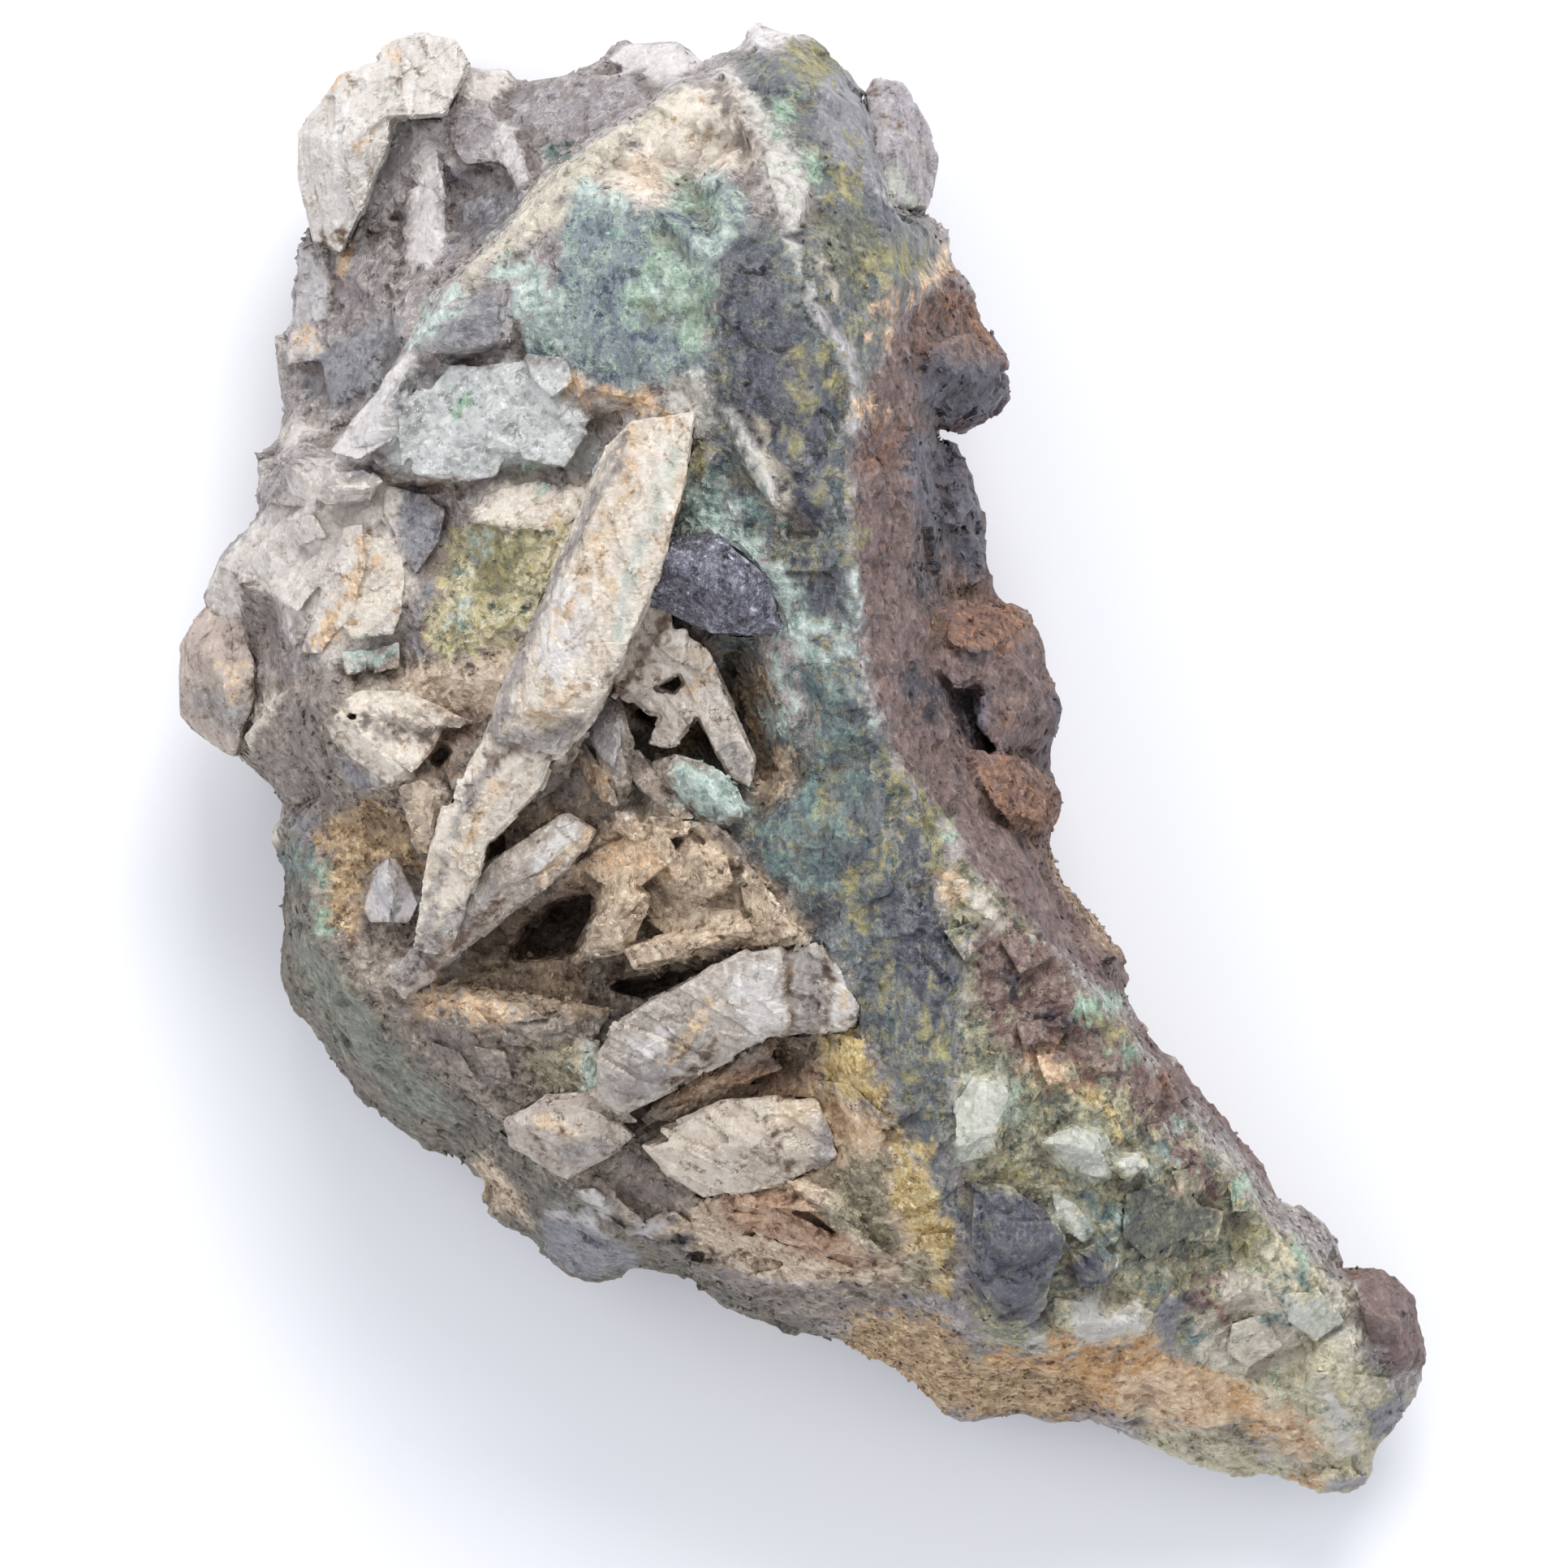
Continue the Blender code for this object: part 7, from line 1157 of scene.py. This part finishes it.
# For each crystal: the way it runs in the plan, and its own row of colours and finish
BARYTE = {
    "long_baryte_blade": (24, (184, 168, 149), (207, 195, 179), (221, 213, 201), (230, 224, 214), (168, 146, 120)),
    "grey_baryte_blade": (50, (132, 117, 104), (165, 152, 140), (198, 187, 177), (220, 212, 204), (100, 80, 64)),
    "split_baryte_slab": (62, (146, 136, 126), (175, 165, 154), (201, 191, 180), (216, 206, 195), (126, 108, 92)),
    "front_baryte_wedge": (70, (148, 134, 120), (174, 162, 150), (192, 182, 172), (208, 198, 186), (108, 90, 76)),
    "front_baryte_plate": (60, (170, 154, 136), (196, 183, 167), (212, 201, 186), (222, 212, 198), (126, 102, 82)),
    "lattice_baryte_blades": (35, (156, 141, 125), (192, 180, 167), (214, 205, 195), (226, 220, 212), (108, 86, 68)),
    "back_baryte_blade": (12, (180, 171, 162), (201, 194, 186), (214, 208, 202), (225, 221, 217), (158, 143, 129)),
    "corner_baryte_crystal": (-20, (128, 121, 125), (158, 151, 153), (188, 182, 183), (206, 201, 201), (104, 92, 92)),
    "left_baryte_block": (0, (148, 131, 120), (174, 158, 146), (195, 181, 169), (210, 198, 186), (116, 98, 86)),
}
BARYTE_FINISH = (0.5, 0.36, 0.0, 0.6, 0.5)


def grown_out(piece, gap):
    """Moves every face of a crystal outward by a gap in millimetres and keeps its edges sharp."""
    bm = bmesh.new()
    bm.from_mesh(piece.data)
    bm.normal_update()
    moved = [v.co + v.normal * min(v.calc_shell_factor(), 1.8) * gap * MM for v in bm.verts]
    for corner, place in zip(bm.verts, moved):
        corner.co = place
    bm.to_mesh(piece.data)
    bm.free()


for node, (degrees, *tones) in BARYTE.items():
    piece = merged_copy(node, node + "_crystal")
    grown_out(piece, THIN_GAPS.get(node, SOCKET_GAP))
    voxelled(piece, 0.15)
    places = plan_of(piece.data)
    edges = np.clip(-hollowness(piece.data, 12) * 3.0 - 0.15, 0, 1)
    broken_off = 0.4 * edges * np.clip(steps(places, 1.3) / 1.3 * 3, 0, 1)
    splinters = along(places, degrees, 6)
    relief = 0.12 * chips(places, 2.8) + 0.24 * steps(splinters, 1.2) + 0.14 * chips(splinters, 0.8)
    pushed_out(piece, relief + 0.06 * chips(places, 0.6) - broken_off)
    thinned(piece, 50000)
    stains =shares_of(STAIN_AREAS, plan_of(piece.data), fade=0.8, wander=0.4)
    painted(piece.data, stains, BARYTE_STAINS, (*tones, *BARYTE_FINISH))
    keep_number(piece.data, "near_hollow", np.clip(hollowness(piece.data, 8) * 3.0, -1, 1))
    keep_number(piece.data, "wide_hollow", np.clip(hollowness(piece.data, 40) * 0.9 + 0.2, 0, 1))
    flat_faced(piece.data)
    dressed(piece, mineral_look(node, degrees, 6, (108, 86, 66), 0.7), "baryte", node)

# The bournonite lump: a dark grey crystal with a metallic shine, striped by its growth.

LUMP_RUN = 52
# the light tone and the bluish pale specks are painted highlights of the metallic shine
BOURNONITE = ((84, 83, 93), (124, 123, 134), (178, 178, 189), (216, 216, 226), (62, 60, 70), 0.7, 0.25, 0.55, 1.0, 0.5)

lump = merged_copy("bournonite_lump", "bournonite")
grown_out(lump, SOCKET_GAP)
voxelled(lump, 0.12)
lump_places = plan_of(lump.data)
lump_lines = along(lump_places, LUMP_RUN, 5)
lump_relief = 0.2 * chips(lump_places, 1.6) + 0.2 * chips(lump_lines, 0.6) + 0.16 * steps(lump_lines, 0.7)
pushed_out(lump, lump_relief)
painted(lump.data, {}, {}, BOURNONITE)
keep_number(lump.data, "near_hollow", np.clip(hollowness(lump.data, 8) * 3.0, -1, 1))
keep_number(lump.data, "wide_hollow", np.zeros(len(lump.data.vertices)))
flat_faced(lump.data)
dressed(lump, mineral_look("bournonite", LUMP_RUN, 5, (52, 44, 44), 0.6), "bournonite", "bournonite_lump")

# Small broken grains of the same minerals: they cover the crusts, lie in the hollows and fill the
# cracks round the crystals. Each takes the colours of the ground that it has grown on.

GRAINS_PER_SQUARE_MM = 2.6
GRAIN_SMALLEST, GRAIN_LARGEST = 0.5, 1.35
GRAIN_SEED = 11
# how thickly each mineral is covered, and the middle size of its grains in millimetres
GRAINS = {
    "brown_ground": (0.4, 0.8), "low_face": (0.12, 0.7), "flesh": (0.15, 0.6), "buff": (0.4, 0.45), "tan": (0.35, 0.75),
    "ochre": (0.9, 0.5), "leaf": (0.2, 0.6), "lichen": (0.9, 0.45), "veined": (0.6, 0.45), "yellow": (1.0, 0.45),
    "arm_mix": (0.5, 0.6), "field": (0.25, 0.4), "green": (0.3, 0.4), "mint": (0.4, 0.4), "black_green": (0.35, 0.6),
    "red_brown": (0.6, 0.55), "arm_cream": (0.4, 0.6), "arm_orange": (0.35, 0.55), "iron": (0.12, 0.5), "gunmetal": (0.2, 0.7),
"soot": (0.4, 0.5), "rust": (0.5, 0.6), "stain": (0.3, 0.6), "mould": (0.7, 0.7),
}


def fragment(seed):
    """A broken grain about one millimetre long: the hull of a few points in a flat box."""
    bm = bmesh.new()
    for corner in np.random.default_rng(seed).uniform(-0.5, 0.5, (9, 3)) * (1.0, 0.7, 0.45) * MM:
        bm.verts.new(corner)
    bmesh.ops.convex_hull(bm, input=bm.verts)
    bmesh.ops.delete(bm, geom=[v for v in bm.verts if not v.link_faces], context="VERTS")
    mesh = bpy.data.meshes.new("grain")
    bm.to_mesh(mesh)
    bm.free()
    shape = bpy.data.objects.new("grain", mesh)
    bpy.context.scene.collection.objects.link(shape)
    return shape


def near_crystals(mesh, reach):
    """1 at the vertices that lie within a reach, in millimetres, of a baryte crystal, 0 elsewhere."""
    corners, faces = [], []
    for node in BARYTE:
        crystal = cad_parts[node].data
        faces += [[len(corners) + corner for corner in face.vertices] for face in crystal.polygons]
        corners += [v.co.copy() for v in crystal.vertices]
    tree = BVHTree.FromPolygons(corners, faces)
    return np.array([float(tree.find_nearest(v.co, reach * MM)[0] is not None) for v in mesh.vertices])


def grain_tree(shapes, look):
    """Scatters shapes over a mesh by its own thickness and size attributes, then makes them real."""
    group = bpy.data.node_groups.new("grains", "GeometryNodeTree")
    group.interface.new_socket("Ground", in_out="INPUT", socket_type="NodeSocketGeometry")
    sockets = {}
    for name, kind in (("Per Square Metre", "NodeSocketFloat"), ("Smallest", "NodeSocketFloat"),
                       ("Largest", "NodeSocketFloat"), ("Seed", "NodeSocketInt")):
        sockets[name] = group.interface.new_socket(name, in_out="INPUT", socket_type=kind).identifier
    group.interface.new_socket("Grains", in_out="OUTPUT", socket_type="NodeSocketGeometry")
    given = add(group, "NodeGroupInput").outputs
    thickness = add(group, "GeometryNodeInputNamedAttribute", {"Name": "grain_thickness"}).outputs["Attribute"]
    size = add(group, "GeometryNodeInputNamedAttribute", {"Name": "grain_size"}).outputs["Attribute"]
    density = maths(group, "MULTIPLY", thickness, given["Per Square Metre"])
    points = add(group, "GeometryNodeDistributePointsOnFaces", {
        "Mesh": given["Ground"], "Density": density, "Seed": given["Seed"],
    }).outputs["Points"]
    kinds = add(group, "GeometryNodeJoinGeometry")
    for shape in shapes:
        single = add(group, "GeometryNodeObjectInfo", {"Object": shape, "As Instance": True}).outputs["Geometry"]
        group.links.new(single, kinds.inputs["Geometry"])
    spin = add(group, "FunctionNodeRandomValue", {
        "Min": (0.0, 0.0, 0.0), "Max": (math.tau, math.tau, math.tau), "Seed": given["Seed"],
    }, data_type="FLOAT_VECTOR").outputs["Value"]
    turned = add(group, "FunctionNodeEulerToRotation", {"Euler": spin}).outputs["Rotation"]
    scale = add(group, "FunctionNodeRandomValue", {"Seed": given["Seed"]}, data_type="FLOAT")
    group.links.new(given["Smallest"], scale.inputs[2])
    group.links.new(given["Largest"], scale.inputs[3])
    grown = maths(group, "MULTIPLY", scale.outputs[1], size)
    placed = add(group, "GeometryNodeInstanceOnPoints", {
        "Points": points, "Instance": kinds.outputs["Geometry"], "Pick Instance": True,
        "Rotation": turned, "Scale": grown,
    }).outputs["Instances"]
    real = add(group, "GeometryNodeRealizeInstances", {"Geometry": placed}).outputs["Geometry"]
    dressed_grains = add(group, "GeometryNodeSetMaterial", {"Geometry": real, "Material": look}).outputs["Geometry"]
    add(group, "NodeGroupOutput", {"Grains": dressed_grains})
    return group, sockets


grains = bpy.data.objects.new("grains", ore.data.copy())
bpy.context.scene.collection.objects.link(grains)
ground = grains.data
ground_places = plan_of(ground)
ground_shares = shares_of(MINERAL_AREAS, ground_places)
thickness, size = np.full(len(ground_places), 0.1), np.full(len(ground_places), 0.6)
for mineral in MINERALS:
    share = ground_shares.get(mineral, 0.0)
    own_thickness, own_size = GRAINS.get(mineral, (0.0, 0.5))
    thickness = thickness * (1 - share) + own_thickness * share
    size = size * (1 - share) + own_size * share
beside = near_crystals(ground, 1.2)
thickness = np.maximum(thickness, 0.8 * beside)
size = np.maximum(size, 0.75 * beside)
seen_from_above = np.clip(normals_of(ground)[:, 2] * 3 + 0.9, 0, 1)
edge_low, edge_high = (np.array(corner) + shift * MM for corner, shift in zip(cad_box, (1.2, -1.2)))
ground_corners = np.array([v.co for v in ground.vertices])
inside_box = ((ground_corners > edge_low) & (ground_corners < edge_high)).all(1)
keep_number(ground, "grain_thickness", thickness * seen_from_above * inside_box)
keep_number(ground, "grain_size", size)
shapes = [fragment(seed) for seed in range(5)]
scatter, scatter_sockets = grain_tree(shapes, ore_look)
modifier = grains.modifiers.new("grains", "NODES")
modifier.node_group = scatter
for name, value in {
    "Per Square Metre": GRAINS_PER_SQUARE_MM / MM**2, "Smallest": GRAIN_SMALLEST, "Largest": GRAIN_LARGEST,
    "Seed": GRAIN_SEED,
}.items():
    modifier[scatter_sockets[name]] = value
applied(grains)
flat_faced(grains.data)
for shape in shapes:
    bpy.data.objects.remove(shape)
dressed(grains, ore_look, "ore")

# The table top, the soft light over it and the camera straight above.

FLOOR_SIZE = 6.0
CAMERA_DISTANCE = 1.0
MIDDLE_HEIGHT = 20.0
PHOTO_WIDTH = 96.6
SENSOR = 36.0

floor_mesh = bpy.data.meshes.new("floor")
bm = bmesh.new()
bmesh.ops.create_grid(bm, x_segments=1, y_segments=1, size=FLOOR_SIZE / 2)
bm.to_mesh(floor_mesh)
bm.free()
floor = bpy.data.objects.new("floor", floor_mesh)
floor.location.z = cad_box[0][2]
bpy.context.scene.collection.objects.link(floor)
floor_look = bpy.data.materials.new("floor")
floor_look.use_nodes = True
floor_look.node_tree.nodes["Principled BSDF"].inputs["Base Color"].default_value = (0.86, 0.86, 0.88, 1)
floor_look.node_tree.nodes["Principled BSDF"].inputs["Roughness"].default_value = 0.9
floor_mesh.materials.append(floor_look)

sky = bpy.data.worlds.new("studio")
sky.use_nodes = True
sky.node_tree.nodes["Background"].inputs["Color"].default_value = (0.9, 0.93, 1.0, 1)
sky.node_tree.nodes["Background"].inputs["Strength"].default_value = 0.95
bpy.context.scene.world = sky


def panel(name, place, size, watts, colour=(1, 1, 1)):
    """A soft square light that looks at the specimen."""
    light = bpy.data.lights.new(name, "AREA")
    light.size = size
    light.energy = watts
    light.color = colour
    holder = bpy.data.objects.new(name, light)
    holder.location = place
    holder.rotation_euler = (-Vector(place)).to_track_quat("-Z", "Y").to_euler()
    bpy.context.scene.collection.objects.link(holder)


panel("window", (0.14, 0.85, 0.8), 0.6, 10.5)
panel("fill", (-0.6, 0.15, 0.8), 0.6, 1.5)

camera = bpy.data.cameras.new("camera")
camera.sensor_width = SENSOR
camera.lens = SENSOR * CAMERA_DISTANCE / (PHOTO_WIDTH * MM)
camera.clip_start = 0.01
viewer = bpy.data.objects.new("camera", camera)
photo_middle = PHOTO_WIDTH / 2
viewer.location = (
    (photo_middle - PLAN_MIDDLE[0]) * MM,
    (PLAN_MIDDLE[1] - photo_middle) * MM,
    CAMERA_DISTANCE + MIDDLE_HEIGHT * MM,
)
bpy.context.scene.collection.objects.link(viewer)
bpy.context.scene.camera = viewer
bpy.context.scene.view_settings.view_transform = "Standard"
